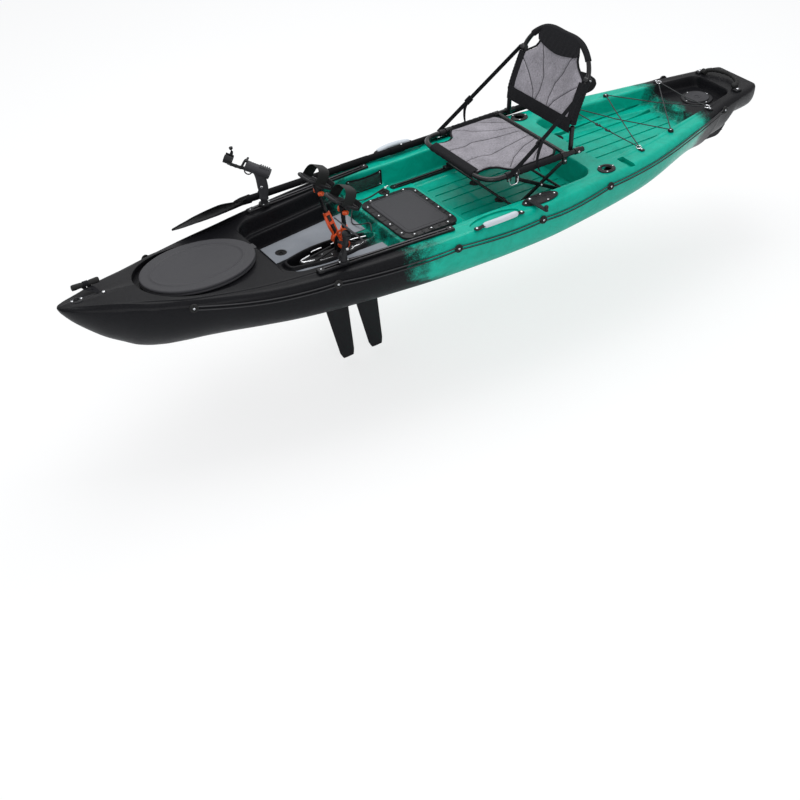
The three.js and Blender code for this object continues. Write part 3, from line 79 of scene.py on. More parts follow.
camera_data = bpy.data.cameras.new("camera")
camera_data.sensor_width = 36.0
camera_data.lens = focal_pixels / picture_pixels * camera_data.sensor_width
camera_data.shift_x = (picture_pixels / 2 - optical_centre[0]) / picture_pixels
camera_data.shift_y = (optical_centre[1] - picture_pixels / 2) / picture_pixels
camera_data.clip_end = 100.0
camera = bpy.data.objects.new("camera", camera_data)
backward = Vector((-np.sin(azimuth) * np.cos(elevation), -np.cos(azimuth) * np.cos(elevation),
                   np.sin(elevation)))
level = Vector((0, 0, 1)).cross(backward).normalized()
upright = backward.cross(level)
right = level * np.cos(roll) + upright * np.sin(roll)
upward = upright * np.cos(roll) - level * np.sin(roll)
camera.matrix_world = (Matrix.Translation(camera_target + backward * camera_distance)
                       @ Matrix((right, upward, backward)).transposed().to_4x4())
bpy.context.scene.collection.objects.link(camera)
bpy.context.scene.camera = camera
bpy.context.scene.view_settings.view_transform = "Standard"


def put(tree, kind, inputs=None, **settings):
    """A shader node with its settings; inputs takes a value or another node's output per socket."""
    made = tree.nodes.new(kind)
    for key, value in settings.items():
        setattr(made, key, value)
    for key, value in (inputs or {}).items():
        if isinstance(value, bpy.types.NodeSocket):
            tree.links.new(value, made.inputs[key])
        else:
            made.inputs[key].default_value = value
    return made


def seen_as_white(tree, lit, white_strength=1.0):
    """Mixes a shader with plain white for rays from the eye, from gloss and through glass."""
    path = put(tree, "ShaderNodeLightPath")
    seen = put(tree, "ShaderNodeMath", {0: path.outputs["Is Camera Ray"], 1: path.outputs["Is Glossy Ray"]},
               operation="MAXIMUM")
    seen = put(tree, "ShaderNodeMath", {0: seen.outputs[0], 1: path.outputs["Is Transmission Ray"]},
               operation="MAXIMUM")
    white = put(tree, "ShaderNodeBackground" if lit.type == "BACKGROUND" else "ShaderNodeEmission",
                {"Color": (1, 1, 1, 1), "Strength": white_strength})
    return put(tree, "ShaderNodeMixShader", {0: seen.outputs[0], 1: lit.outputs[0], 2: white.outputs[0]})


world = bpy.data.worlds.new("studio")
world.use_nodes = True
world.node_tree.nodes.clear()
sky = put(world.node_tree, "ShaderNodeBackground", {"Color": (0.93, 0.96, 1.0, 1), "Strength": 0.62})
put(world.node_tree, "ShaderNodeOutputWorld",
    {"Surface": seen_as_white(world.node_tree, sky).outputs[0]})
bpy.context.scene.world = world

floor_drop, floor_reach, floor_glow = 0.012, 40, 0.72
floor_mesh = bpy.data.meshes.new("studio_floor")
floor_height = cad_box[0].z - floor_drop
floor_mesh.from_pydata([(x * floor_reach, y * floor_reach, floor_height) for x, y in (
    (-1, -1), (1, -1), (1, 1), (-1, 1))], [], [(0, 1, 2, 3)])
floor = bpy.data.objects.new("studio_floor", floor_mesh)
bpy.context.scene.collection.objects.link(floor)
floor_finish = bpy.data.materials.new("studio_floor")
floor_finish.use_nodes = True
floor_tree = floor_finish.node_tree
floor_tree.nodes.clear()
floor_paint = put(floor_tree, "ShaderNodeBsdfDiffuse", {"Color": (0.98, 0.98, 0.98, 1)})
floor_white = put(floor_tree, "ShaderNodeEmission", {"Color": (1, 1, 1, 1), "Strength": 1.0})
floor_sight = put(floor_tree, "ShaderNodeLightPath").outputs["Is Camera Ray"]
floor_share = put(floor_tree, "ShaderNodeMath", {0: floor_sight, 1: floor_glow}, operation="MULTIPLY")
put(floor_tree, "ShaderNodeOutputMaterial", {"Surface": put(floor_tree, "ShaderNodeMixShader", {
    0: floor_share.outputs[0], 1: floor_paint.outputs[0], 2: floor_white.outputs[0]}).outputs[0]})
floor_mesh.materials.append(floor_finish)


def lamp(name, place, aim, size, watts):
    """A square soft box at a place, turned to a point."""
    data = bpy.data.lights.new(name, "AREA")
    data.shape, data.size, data.energy = "SQUARE", size, watts
    made = bpy.data.objects.new(name, data)
    way = Vector(place) - Vector(aim)
    made.matrix_world = Matrix.Translation(place) @ way.to_track_quat("Z", "Y").to_matrix().to_4x4()
    bpy.context.scene.collection.objects.link(made)


lamp("overhead", (0.6, 1.2, 4.2), (0, 0, 0), 3.6, 150)
lamp("port_fill", (-2.4, -4.2, 2.2), (0, 0, 0), 2.6, 60)

# Safety leash
# A thin black braided cord with a stretchy core. It runs from the tail of the pedal drive over the
# foot mat and the hatch to a sprung hook on the starboard seat track.

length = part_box("deck_shell")[1].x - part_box("deck_shell")[0].x
leash_cord = 0.0025
leash_lift = 0.0004


def mm(rows):
    """Sizes written in millimetres, as metres."""
    return np.array(rows, float) / 1000


leash_route = mm([[1338, 4, 157.2], [1352, 40, 172], [1334, 84, 152], [1322, 130, 141], [1344, 168, 168],
    [1380, 192, 194], [1424, 204, 184], [1470, 214, 181.2], [1516, 230, 181.2], [1548, 236, 185.5]])
leash_route[:, 0] -= length / 2


def flowing(points, count):
    """A Catmull-Rom curve through the points, sampled evenly in its own parameter."""
    points = np.asarray(points, float)
    padded = np.concatenate([2 * points[:1] - points[1:2], points, 2 * points[-1:] - points[-2:-1]])
    place = np.linspace(0, len(points) - 1, count)
    i = np.minimum(place.astype(int), len(points) - 2)
    t = (place - i)[:, None]
    p0, p1, p2, p3 = (padded[i + k] for k in range(4))
    return 0.5 * (2 * p1 + (p2 - p0) * t + (2 * p0 - 5 * p1 + 4 * p2 - p3) * t ** 2
                  + (3 * p1 - p0 - 3 * p2 + p3) * t ** 3)


def reach(points):
    """Running length along a row of points."""
    return np.concatenate([[0], np.cumsum(np.linalg.norm(np.diff(points, axis=0), axis=1))])


def evenly(points, step):
    """The same route with its points a set step apart along it."""
    run = reach(points)
    places = np.linspace(0, run[-1], max(2, int(round(run[-1] / step)) + 1))
    return np.stack([np.interp(places, run, points[:, k]) for k in range(3)], -1)


def grid_faces(rows, columns, around=False, caps=False, flip=False):
    """Quads over a grid of points, joined round the columns if asked, with an n-gon at each end."""
    a = np.arange(rows - 1)[:, None] * columns + np.arange(columns if around else columns - 1)
    step = np.where((np.arange(a.shape[1]) + 1) % columns == 0, 1 - columns, 1)
    b = a + step
    faces = np.stack([a, b, b + columns, a + columns], -1).reshape(-1, 4).tolist()
    if caps:
        faces += [list(range(columns))[::-1], list(range((rows - 1) * columns, rows * columns))]
    return [face[::-1] for face in faces] if flip else faces


def tube(path, radius, sides_count=12, flat=1.0, up=(0, 0, 1), caps=True):
    """A round or flattened bar along a path: each ring is radius times cosine and sine of the angle
    across and up from the path's own direction. radius may change along it."""
    path = np.asarray(path, float)
    way = np.gradient(path, axis=0)
    way /= np.linalg.norm(way, axis=1)[:, None]
    across = np.cross(way, np.asarray(up, float))
    short = np.linalg.norm(across, axis=1) < 1e-3
    across[short] = np.cross(way[short], (1.0, 0.0, 0.0))
    across /= np.linalg.norm(across, axis=1)[:, None]
    rise = np.cross(across, way)
    angle = np.linspace(0, 2 * np.pi, sides_count, endpoint=False)
    size = np.broadcast_to(np.asarray(radius, float), (len(path),))[:, None, None]
    ring = (across[:, None] * np.cos(angle)[None, :, None]
            + rise[:, None] * np.sin(angle)[None, :, None] * flat)
    points = (path[:, None] + size * ring).reshape(-1, 3)
    return points, grid_faces(len(path), sides_count, around=True, caps=caps)


def together(*shapes):
    """Several shapes as one list of points and faces."""
    points, faces, start = [], [], 0
    for shape_points, shape_faces in shapes:
        points.append(np.asarray(shape_points, float))
        faces += [[v + start for v in face] for face in shape_faces]
        start += len(shape_points)
    return np.concatenate(points), faces


def outward(shape):
    """The shape with its faces turned outwards, judged by the sign of the volume it encloses."""
    points, faces = shape
    volume = 0.0
    for face in faces:
        corners = points[face]
        volume += np.cross(corners[1:-1] - corners[0], corners[2:] - corners[0]).dot(corners[0]).sum()
    return (points, faces) if volume > 0 else (points, [list(face)[::-1] for face in faces])


def skin(rings):
    """A closed skin over rows of points, each row joined round, with flat ends."""
    rings = np.asarray(rings, float)
    return outward((rings.reshape(-1, 3), grid_faces(*rings.shape[:2], around=True, caps=True)))


def place_piece(name, shape, finish, body="kayak", crease=38, stands_for=()):
    """Puts a shape into the scene as one piece, smooth but for its edges. It rides on a CAD body,
    or on none where it bends between two."""
    mesh = bpy.data.meshes.new(name)
    mesh.from_pydata(np.asarray(shape[0], float).tolist(), [], shape[1])
    mesh.materials.append(finish)
    mesh.shade_smooth()
    mesh.set_sharp_from_angle(angle=np.radians(crease))
    made = bpy.data.objects.new(name, mesh)
    bpy.context.scene.collection.objects.link(made)
    if body:
        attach(made, body)
    if stands_for:
        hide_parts(*([stands_for] if isinstance(stands_for, str) else stands_for))
    return made


def new_finish(name, colour, roughness, metallic=0.0, **sockets):
    """A material with one Principled shader; returns it with its tree and shader for more nodes."""
    made = bpy.data.materials.new(name)
    made.use_nodes = True
    tree = made.node_tree
    tree.nodes.clear()
    shader = put(tree, "ShaderNodeBsdfPrincipled", {"Base Color": (*colour, 1), "Roughness": roughness,
                                                    "Metallic": metallic, **sockets})
    put(tree, "ShaderNodeOutputMaterial", {"Surface": shader.outputs[0]})
    return made, tree, shader


def bump(tree, shader, height, strength, distance):
    """Feeds a height into the shader's normal."""
    made = put(tree, "ShaderNodeBump", {"Strength": strength, "Distance": distance, "Height": height})
    tree.links.new(made.outputs[0], shader.inputs["Normal"])


def start_group(name, inputs, outputs):
    """A node group with named float inputs (name, value) and outputs (name, socket type)."""
    tree = bpy.data.node_groups.new(name, "ShaderNodeTree")
    for title, value in inputs:
        socket = tree.interface.new_socket(title, in_out="INPUT", socket_type="NodeSocketFloat")
        socket.default_value = value
    for title, kind in outputs:
        tree.interface.new_socket(title, in_out="OUTPUT", socket_type=kind)
    return tree, tree.nodes.new("NodeGroupInput").outputs, tree.nodes.new("NodeGroupOutput").inputs


def math(tree, operation, a, b=0.0, c=0.0, clamp=False):
    """One math node's output."""
    return put(tree, "ShaderNodeMath", {0: a, 1: b, 2: c}, operation=operation, use_clamp=clamp).outputs[0]


def blend_colour(tree, factor, first, second):
    """Two colours mixed by a factor."""
    made = tree.nodes.new("ShaderNodeMix")
    made.data_type = "RGBA"
    for socket, value in ((made.inputs[0], factor), (made.inputs[6], first), (made.inputs[7], second)):
        if isinstance(value, bpy.types.NodeSocket):
            tree.links.new(value, socket)
        else:
            socket.default_value = value if isinstance(value, float) else (*value, 1)
    return made.outputs[2]


# Braid: two families of strands wound round a cord crosswise, from the cord's own UV map, where U
# runs round it and V along it in metres. Its Shade output is painted shade: darker in the grooves
# between the strands and lighter on their tops.
braid, given, gives = start_group("braid", [("Turns per metre", 180.0), ("Strands", 5.0)],
                                  [("Height", "NodeSocketFloat"), ("Shade", "NodeSocketFloat")])
braid_uv = put(braid, "ShaderNodeSeparateXYZ", {0: put(braid, "ShaderNodeUVMap").outputs[0]})
wound = math(braid, "MULTIPLY", braid_uv.outputs[1], given[0])
round_it = math(braid, "MULTIPLY", braid_uv.outputs[0], given[1])
waves = [math(braid, "ABSOLUTE", math(braid, "SINE", math(braid, "MULTIPLY",
              math(braid, way, wound, round_it), np.pi))) for way in ("ADD", "SUBTRACT")]
braid_height = math(braid, "MULTIPLY", waves[0], waves[1])
braid.links.new(braid_height, gives[0])
# Painted shade: the braid's colour is darker in its grooves and lighter on the strands' tops.
braid.links.new(math(braid, "MULTIPLY_ADD", braid_height, 0.6, 0.4), gives[1])


def cord_finish(name, dark, light):
    """Matt braided cord of one colour, with painted shade darker in the grooves between strands."""
    made, tree, shader = new_finish(name, dark, 0.72)
    woven = put(tree, "ShaderNodeGroup", node_tree=braid)
    # Painted shade from the braid: darker grooves, lighter strand tops.
    tree.links.new(blend_colour(tree, woven.outputs[1], dark, light), shader.inputs["Base Color"])
    bump(tree, shader, woven.outputs[0], 0.6, 0.0006)
    return made


def map_along(piece, rings, sides_count, run):
    """Gives a tube a UV map: U once round, V the distance along it."""
    layer = piece.data.uv_layers.new(name="along")
    corners = np.empty(len(piece.data.loops), int)
    piece.data.loops.foreach_get("vertex_index", corners)
    ring, place = np.divmod(corners, sides_count)
    around = place / sides_count
    poly = np.empty(len(piece.data.polygons), int)
    piece.data.polygons.foreach_get("loop_start", poly)
    size = np.diff(np.append(poly, len(corners)))
    first = np.repeat(np.minimum.reduceat(place, poly), size)
    last = np.repeat(np.maximum.reduceat(place, poly), size)
    around = np.where((last - first == sides_count - 1) & (place == 0) & (np.repeat(size, size) == 4),
                      1.0, around)
    layer.data.foreach_set("uv", np.stack([around, run[np.minimum(ring, rings - 1)]], -1).ravel())


cord_black = cord_finish("cord_black", (0.004, 0.004, 0.005), (0.03, 0.03, 0.033))
leash_path = flowing(leash_route, 120)
leash_path = evenly(leash_path, 0.006)
leash_path[:, 2] += leash_lift
leash = place_piece("leash_cord", tube(leash_path, leash_cord, 10), cord_black,
                    stands_for="leash")
map_along(leash, len(leash_path), 10, reach(leash_path))

# The hook: a bent wire with a sprung gate, whose eye holds the cord's end.
steel, steel_tree, steel_shader = new_finish("bright_steel", (0.62, 0.63, 0.65), 0.22, 1.0)
hook_eye = leash_path[-1]
turn = np.linspace(-0.35 * np.pi, 1.35 * np.pi, 22)
hook_bend = np.stack([0.016 + 0.0062 * np.cos(turn), 0.0 * turn, 0.0045 * np.sin(turn)], -1)
ring_turn = np.linspace(0, 2 * np.pi, 20)
hook_ring = np.stack([0.004 + 0.0045 * np.cos(ring_turn), 0.0045 * np.sin(ring_turn), 0 * ring_turn], -1)
leash_hook = place_piece("leash_hook", together(tube(hook_eye + hook_ring, 0.0012, 8),
    tube(hook_eye + hook_bend, 0.0014, 8), tube(hook_eye + mm([[8, 0, 3], [14.5, 0, 5.2]]), 0.0011, 8)),
    steel)

# Hull and deck
# One rotomoulded shell of coloured polyethylene, run from black to green and back to black with
# cloudy borders. Wells, ledges and drain holes are moulded into it.

half_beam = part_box("hull_shell")[1].y
seam_height, gunwale_height, stem_height, nose_half = 0.205, 0.258, 0.3, 0.011
beam_shares = [[0, 0], [0.014, 0.086], [0.048, 0.222], [0.098, 0.401], [0.149, 0.557], [0.216, 0.722],
               [0.283, 0.833], [0.367, 0.926], [0.451, 0.988], [0.524, 1], [0.585, 0.997],
               [0.669, 0.943], [0.754, 0.842], [0.854, 0.635], [0.938, 0.443], [0.985, 0.34], [1, 0.29]]
seam_shares = [[0, 1.49], [0.06, 1.36], [0.13, 1.235], [0.29, 1.08], [0.45, 1.06], [0.57, 1],
               [0.68, 1.09], [0.92, 1.29], [1, 1.34]]
gunwale_shares = [[0, 1.22], [0.06, 1.18], [0.1, 1.12], [0.17, 1.05], [0.246, 1], [0.7, 1],
                  [0.8, 1.03], [0.9, 1.08], [0.96, 1.105], [1, 1.105]]
keel_shares = [[0, 1], [0.0147, 0.78], [0.0323, 0.573], [0.05, 0.393], [0.0677, 0.253], [0.085, 0.127],
               [0.1027, 0.053], [0.12, 0.013], [0.145, -0.007], [0.27, -0.02], [0.66, -0.02],
               [0.81, -0.01], [0.9117, 0.007], [0.9168, 0.093], [0.9422, 0.187], [0.9602, 0.46],
               [1, 0.483]]
flank_shares = [[0, 1.3], [0.15, 1.8], [0.3, 3], [0.5, 3.6], [0.75, 2.8], [0.9, 1.6], [1, 2.6]]
bilge_shares = [[0, 1.2], [0.15, 1.4], [0.3, 2], [0.5, 2.2], [0.75, 1.9], [0.9, 1.3], [1, 2]]
rim_shares = [[0, 0.4], [0.09, 0.52], [0.126, 0.84], [0.169, 0.79], [0.246, 0.71], [0.3, 0.715],
              [0.41, 0.76], [0.5, 0.722], [0.676, 0.775], [0.7, 0.66], [0.73, 0.66], [0.9, 0.69],
              [1, 0.62]]


def eased(rows, share):
    """A smooth line through a table of shares: cubic pieces whose slope at each row is the harmonic
    mean of its two neighbours, or level at a turn."""
    at, value = np.array(rows, float).T
    slope = np.diff(value) / np.diff(at)
    before, after = slope[:-1], slope[1:]
    total = np.where(before * after > 0, before + after, 1.0)
    inner = np.where(before * after > 0, 2 * before * after / total, 0.0)
    bend = np.concatenate([slope[:1], inner, slope[-1:]])
    share = np.clip(share, at[0], at[-1])
    i = np.clip(np.searchsorted(at, share, side="right") - 1, 0, len(at) - 2)
    width = at[i + 1] - at[i]
    t = (share - at[i]) / width
    return ((1 + 2 * t) * (1 - t) ** 2 * value[i] + t * (1 - t) ** 2 * width * bend[i]
            + t * t * (3 - 2 * t) * value[i + 1] + t * t * (t - 1) * width * bend[i + 1])


def half_at(x):
    """Half breadth at a distance from the bow."""
    return nose_half + (half_beam - nose_half) * eased(beam_shares, x / length)


def seam_at(x):
    """Height of the line where deck and hull meet."""
    return seam_height * eased(seam_shares, x / length)


def gunwale_at(x):
    """Height of the deck's edge."""
    return gunwale_height * eased(gunwale_shares, x / length)


def smooth_step(t):
    """Eases from 0 to 1 with level ends."""
    t = np.clip(t, 0, 1)
    return t * t * (3 - 2 * t)


# Floors and side ledges as heights at distances from the bow; nan stands for the deck's own height.
deck = np.nan
floor_rows = np.array([
    [0.823, deck], [0.839, 0.134], [1.35, 0.134], [1.372, 0.178], [1.67, 0.178], [1.692, 0.15],
    [2.24, 0.15], [2.258, deck], [2.334, deck], [2.352, 0.186], [2.93, 0.186], [2.975, 0.236],
    [3.184, 0.236], [3.202, deck]]).T
ledge_rows = np.array([
    [0.823, deck], [0.837, 0.196], [1.35, 0.196], [1.37, 0.178], [1.57, 0.178], [1.586, 0.161],
    [2.24, 0.161], [2.256, deck], [2.336, deck], [2.35, 0.2], [2.93, 0.2], [2.975, 0.236],
    [3.184, 0.236], [3.2, deck]]).T
well_corners = mm([(823, 2258, 85, 75), (2334, 3202, 60, 50)])
wall_run = 0.014
foot_ledge, seat_ledge, ledge_step = 0.024, 0.05, 1.57
shoulder_width, shoulder_drop = 0.02, 0.016


def level_at(rows, x):
    """Height of a floor or ledge: level between its rows and eased over each wall."""
    at, height = rows
    i = np.clip(np.searchsorted(at, x, side="right") - 1, 0, len(at) - 2)
    first, second = height[i], height[i + 1]
    top = gunwale_at(x)
    first, second = np.where(np.isnan(first), top, first), np.where(np.isnan(second), top, second)
    eased_height = first + (second - first) * smooth_step((x - at[i]) / (at[i + 1] - at[i]))
    return np.where((x < at[0]) | (x > at[-1]), top, eased_height)


def drawn_in(x):
    """How far the well's edge is drawn in near each end: a quarter circle in plan."""
    inward = np.zeros_like(x)
    for first, last, front_radius, rear_radius in well_corners:
        for distance, radius in ((x - first, front_radius), (last - x, rear_radius)):
            inside = (x >= first) & (x <= last)
            left = np.clip(radius - distance, 0, radius)
            inward += np.where(inside, radius - np.sqrt(radius ** 2 - left ** 2), 0)
    return inward


def deck_corners(x):
    """Corner points of half the deck's section, from the centre line out to the seam."""
    half, top, seam = half_at(x), gunwale_at(x), seam_at(x)
    rim = half * eased(rim_shares, x / length)
    outer = rim - np.minimum(wall_run, rim * 0.2)
    ledge_width = np.where(x > ledge_step, seat_ledge, foot_ledge)
    inner = outer - np.minimum(ledge_width, rim * 0.3)
    floor_edge = inner - np.minimum(wall_run, rim * 0.2)
    cut_in = drawn_in(x)
    shoulder = np.maximum(half - shoulder_width, rim + (half - rim) * 0.4)
    edge_top = np.maximum(top - shoulder_drop, seam + 0.009)
    floor_height, ledge_height = level_at(floor_rows, x), level_at(ledge_rows, x)
    fold = rim + (shoulder - rim) * np.interp(x, [0.2, 0.5, 0.95, 1.2], [0.92, 0.62, 0.42, 0.3])
    drop = 0.0045 * np.interp(x, [0.16, 0.3, 1.0, 1.3, 2.4, 2.5, 3.0, 3.1],
        [0, 1, 1, 0.25, 0.25, 0.6, 0.6, 0])
    crown = 0.006 * np.interp(x, [0, 0.05, 0.25, 0.8, 0.83], [0, 1, 1, 0.2, 0])
    rows = [(np.zeros_like(x), floor_height + crown), ((floor_edge - cut_in), floor_height + crown * 0.6),
            (inner - cut_in, ledge_height + crown * 0.5), (outer - cut_in, ledge_height + crown * 0.4),
            (rim - cut_in, top + crown * 0.3), (fold - 0.003, top), (fold + 0.003, top - drop),
            (shoulder, top - drop), (shoulder + (half - shoulder) * 0.75, edge_top), (half, seam)]
    return np.stack([np.stack(row, -1) for row in rows], 1)


def rounded_section(corners, radii, spans, steps=5):
    """Each section's corner points with every inner corner rounded by a quadratic curve, and
    straight runs divided evenly between the curves."""
    runs = np.linalg.norm(np.diff(corners, axis=1), axis=2)
    parts = []
    leave = corners[:, 0]
    for k in range(1, corners.shape[1]):
        if k < corners.shape[1] - 1:
            near = np.minimum(radii[k - 1], runs[:, k - 1] * 0.46) / np.maximum(runs[:, k - 1], 1e-9)
            far = np.minimum(radii[k - 1], runs[:, k] * 0.46) / np.maximum(runs[:, k], 1e-9)
            start = corners[:, k] + (corners[:, k - 1] - corners[:, k]) * near[:, None]
            end = corners[:, k] + (corners[:, k + 1] - corners[:, k]) * far[:, None]
        else:
            start = end = corners[:, k]
        t = np.linspace(0, 1, spans[k - 1], endpoint=False)[None, :, None]
        parts.append(leave[:, None] + (start - leave)[:, None] * t)
        if k < corners.shape[1] - 1:
            t = np.linspace(0, 1, steps, endpoint=False)[None, :, None]
            parts.append((1 - t) ** 2 * start[:, None] + 2 * t * (1 - t) * corners[:, None, k]
                         + t ** 2 * end[:, None])
        leave = end
    parts.append(leave[:, None])
    return np.concatenate(parts, 1)


def hull_section(x, columns):
    """The hull's section from the port seam under the keel to the starboard one: breadth times the
    sine, and depth times the cosine, of an angle, each to a power that squares the flank and bilge."""
    angle = np.linspace(-np.pi / 2, np.pi / 2, columns)[None, :]
    half, seam = half_at(x)[:, None], seam_at(x)[:, None]
    keel = (stem_height * eased(keel_shares, x / length))[:, None]
    flank, bilge = eased(flank_shares, x / length)[:, None], eased(bilge_shares, x / length)[:, None]
    y = np.sign(angle) * half * np.abs(np.sin(angle)) ** (2 / flank)
    z = seam - (seam - keel) * np.clip(np.cos(angle), 0, 1) ** (2 / bilge)
    return np.stack([y, np.maximum(z, 0)], -1)


def kayak_shell():
    """The whole outer skin as one closed grid: sections of deck and hull joined into rings, one per
    station, with stations crowded at the ends of the wells, and rounded in at the bow and transom."""
    edges = np.unique(np.concatenate([floor_rows[0], ledge_rows[0]]))
    fine = np.concatenate([np.linspace(edge - 0.012, edge + 0.012, 7) for edge in edges])
    ends = 0.014 * np.sin(np.linspace(0, np.pi / 2, 7))
    stations = np.unique(np.round(np.concatenate([
        ends, length - ends, np.linspace(0.02, length - 0.02, 330), fine,
        np.linspace(3.02, 3.22, 40)]), 4))
    keep = np.concatenate([[True], np.diff(stations) > 0.0012])
    stations = stations[keep]
    half = rounded_section(deck_corners(stations), mm((14, 7, 9, 10, 3, 3, 12, 10)),
        (13, 3, 3, 3, 5, 1, 6, 2, 2))
    top = np.concatenate([half[:, :0:-1] * (-1, 1), half], 1)
    under = hull_section(stations, 41)[:, ::-1][:, 1:-1]
    ring = np.concatenate([top, under], 1)
    middle = np.stack([np.zeros_like(stations), (gunwale_at(stations) + seam_at(stations)) / 2], -1)
    distance = np.clip(stations / 0.014, 0, 1)
    aft = np.clip((length - stations) / 0.014, 0, 1)
    shrink = np.sqrt(1 - (1 - distance) ** 2) * (0.965 + 0.035 * np.sqrt(1 - (1 - aft) ** 2))
    ring = middle[:, None] + (ring - middle[:, None]) * np.maximum(shrink, 0.02)[:, None, None]
    return skin(np.concatenate([
        np.broadcast_to((stations - length / 2)[:, None, None], (*ring.shape[:2], 1)), ring], -1))


def raised(outline, height):
    """A plan outline laid at a height."""
    return np.column_stack([outline, np.full(len(outline), height)])


def prism(outline, low, high, shrink_low=1.0):
    """A closed block over an outline of points, from one height to another, its foot scaled."""
    outline = np.asarray(outline, float)
    centre = outline.mean(0)
    foot = centre + (outline - centre) * shrink_low
    return skin([raised(foot, low), raised(outline, high)])


def oval(x, y, half_x, half_y, count=64):
    """Points round an ellipse."""
    angle = np.linspace(0, 2 * np.pi, count, endpoint=False)
    return np.stack([x + half_x * np.cos(angle), y + half_y * np.sin(angle)], -1)


def soft_box(x0, x1, y0, y1, radius, count=8):
    """Points round a rectangle with rounded corners."""
    turn = np.linspace(0, np.pi / 2, count)
    corner = radius * np.stack([np.cos(turn), np.sin(turn)], -1)
    centres = ((x1 - radius, y1 - radius), (x0 + radius, y1 - radius), (x0 + radius, y0 + radius),
               (x1 - radius, y0 + radius))
    spin = ((1, 1), (-1, 1), (-1, -1), (1, -1))
    return np.concatenate([np.array(centre) + (corner if i % 2 == 0 else corner[::-1]) * spin[i]
                           for i, centre in enumerate(centres)])


def carve(piece, *cutters):
    """Cuts closed shapes out of a piece, one after another, and keeps the result as its mesh."""
    for i, shape in enumerate(cutters):
        mesh = bpy.data.meshes.new("cutter")
        mesh.from_pydata(np.asarray(shape[0]).tolist(), [], shape[1])
        tool = bpy.data.objects.new("cutter", mesh)
        bpy.context.scene.collection.objects.link(tool)
        cut = piece.modifiers.new(f"cut_{i}", "BOOLEAN")
        cut.operation, cut.solver, cut.object = "DIFFERENCE", "MANIFOLD", tool
        bpy.context.view_layer.update()
        result = bpy.data.meshes.new_from_object(piece.evaluated_get(bpy.context.evaluated_depsgraph_get()))
        piece.modifiers.clear()
        old = piece.data
        piece.data = result
        bpy.data.meshes.remove(old)
        bpy.data.objects.remove(tool)
        bpy.data.meshes.remove(mesh)


def station(x):
    """A distance from the bow as X in the row frame."""
    return np.asarray(x) - length / 2


def from_bow(rows, side=1):
    """Places (distance from the bow, out to one side, up) in the row frame."""
    return np.asarray(rows, float) * (1, side, 1) - (length / 2, 0, 0)


well_rows = mm([[946, 0], [951, 21], [976, 32], [1076, 54], [1198, 54], [1290, 30], [1317, 22], [1336, 12],
    [1344, 0]])


def grown(ring, margin):
    """A ring of points, running anticlockwise, moved outwards by a margin along its own normals."""
    way = np.roll(ring, -1, 0) - np.roll(ring, 1, 0)
    normal = np.stack([way[:, 1], -way[:, 0]], -1)
    return ring + normal / np.linalg.norm(normal, axis=1)[:, None] * margin


def well_outline(grow=0.0, count=36):
    """The drive well in plan: round in front, widest at the cranks and pointed behind, grown by an
    even margin. It runs clockwise, so that the margin goes in with its sign turned."""
    port = flowing(np.column_stack([well_rows, np.zeros(len(well_rows))]), count)[:, :2]
    port[:, 1] = np.maximum(port[:, 1], 0)
    return grown(np.concatenate([port, port[-2:0:-1] * (1, -1)]), -grow) - (length / 2, 0)


scupper_places = mm([(973, 110, 134), (1534, 216, 178), (1916, 92, 150), (2412, 150, 186)])
lid_x, lid_half_x, lid_half_y = station(0.564), 0.233, 0.166
hatch_wall = 0.026
terrace_height = 0.262
notches = [soft_box(station(2.402), station(2.436), *sorted((side * 0.262, side * 0.345)), 0.004)
           for side in both]
handle_recess = [oval(station(1.698), side * 0.352, 0.122, 0.04, 48) for side in both]

shell_cuts = [prism(well_outline(), -0.05, 0.4), prism(oval(lid_x, 0, lid_half_x + hatch_wall,
    lid_half_y + hatch_wall, 96), terrace_height, 0.4), prism(oval(lid_x, 0, lid_half_x - hatch_wall,
    lid_half_y - hatch_wall, 80), 0.09, 0.3, 0.86), prism(soft_box(station(1.432), station(1.604), -0.135,
    0.135, 0.02), 0.03, 0.3), prism(oval(station(3.096), 0, 0.0503, 0.0503, 40), 0.11, 0.3)]
drains = [(station(x), side * y, z) for x, y, z in scupper_places for side in both]
shell_cuts += [prism(oval(x, y, 0.0135, 0.0135, 24), -0.05, 0.35) for x, y, _ in drains]
shell_cuts += [prism(oval(x, y, 0.0245, 0.0245, 28), z - 0.004, z + 0.05) for x, y, z in drains]
shell_cuts += [prism(notch, 0.236, 0.3) for notch in notches]
shell_cuts += [prism(hollow, 0.2505, 0.3, 0.96) for hollow in handle_recess]
rod_x, rod_y, rod_lean = station(2.312), 0.304, 0.35
shell_cuts += [tube(np.array([rod_x, side * rod_y, 0.264]) + np.array([[0.05], [-0.158]])
                    * (np.sin(rod_lean), 0, np.cos(rod_lean)), 0.0243, 36) for side in both]



def own_place(tree):
    """Object coordinates."""
    return put(tree, "ShaderNodeTexCoord").outputs["Object"]


def noise(tree, place, scale, detail, roughness=0.5, distortion=0.0):
    """A noise texture's value."""
    return put(tree, "ShaderNodeTexNoise", {"Vector": place, "Scale": scale, "Detail": detail,
                                            "Roughness": roughness, "Distortion": distortion}).outputs[0]


def ranged(tree, value, low, high, new_low=0.0, new_high=1.0, **how):
    """A value moved from one range to another and held within it."""
    return put(tree, "ShaderNodeMapRange", {0: value, 1: low, 2: high, 3: new_low, 4: new_high},
        **how).outputs[0]


def feed(tree, shader, **values):
    """Links values to the shader's sockets, whose names are written with underscores."""
    for title, value in values.items():
        tree.links.new(value, shader.inputs[title.replace("_", " ")])


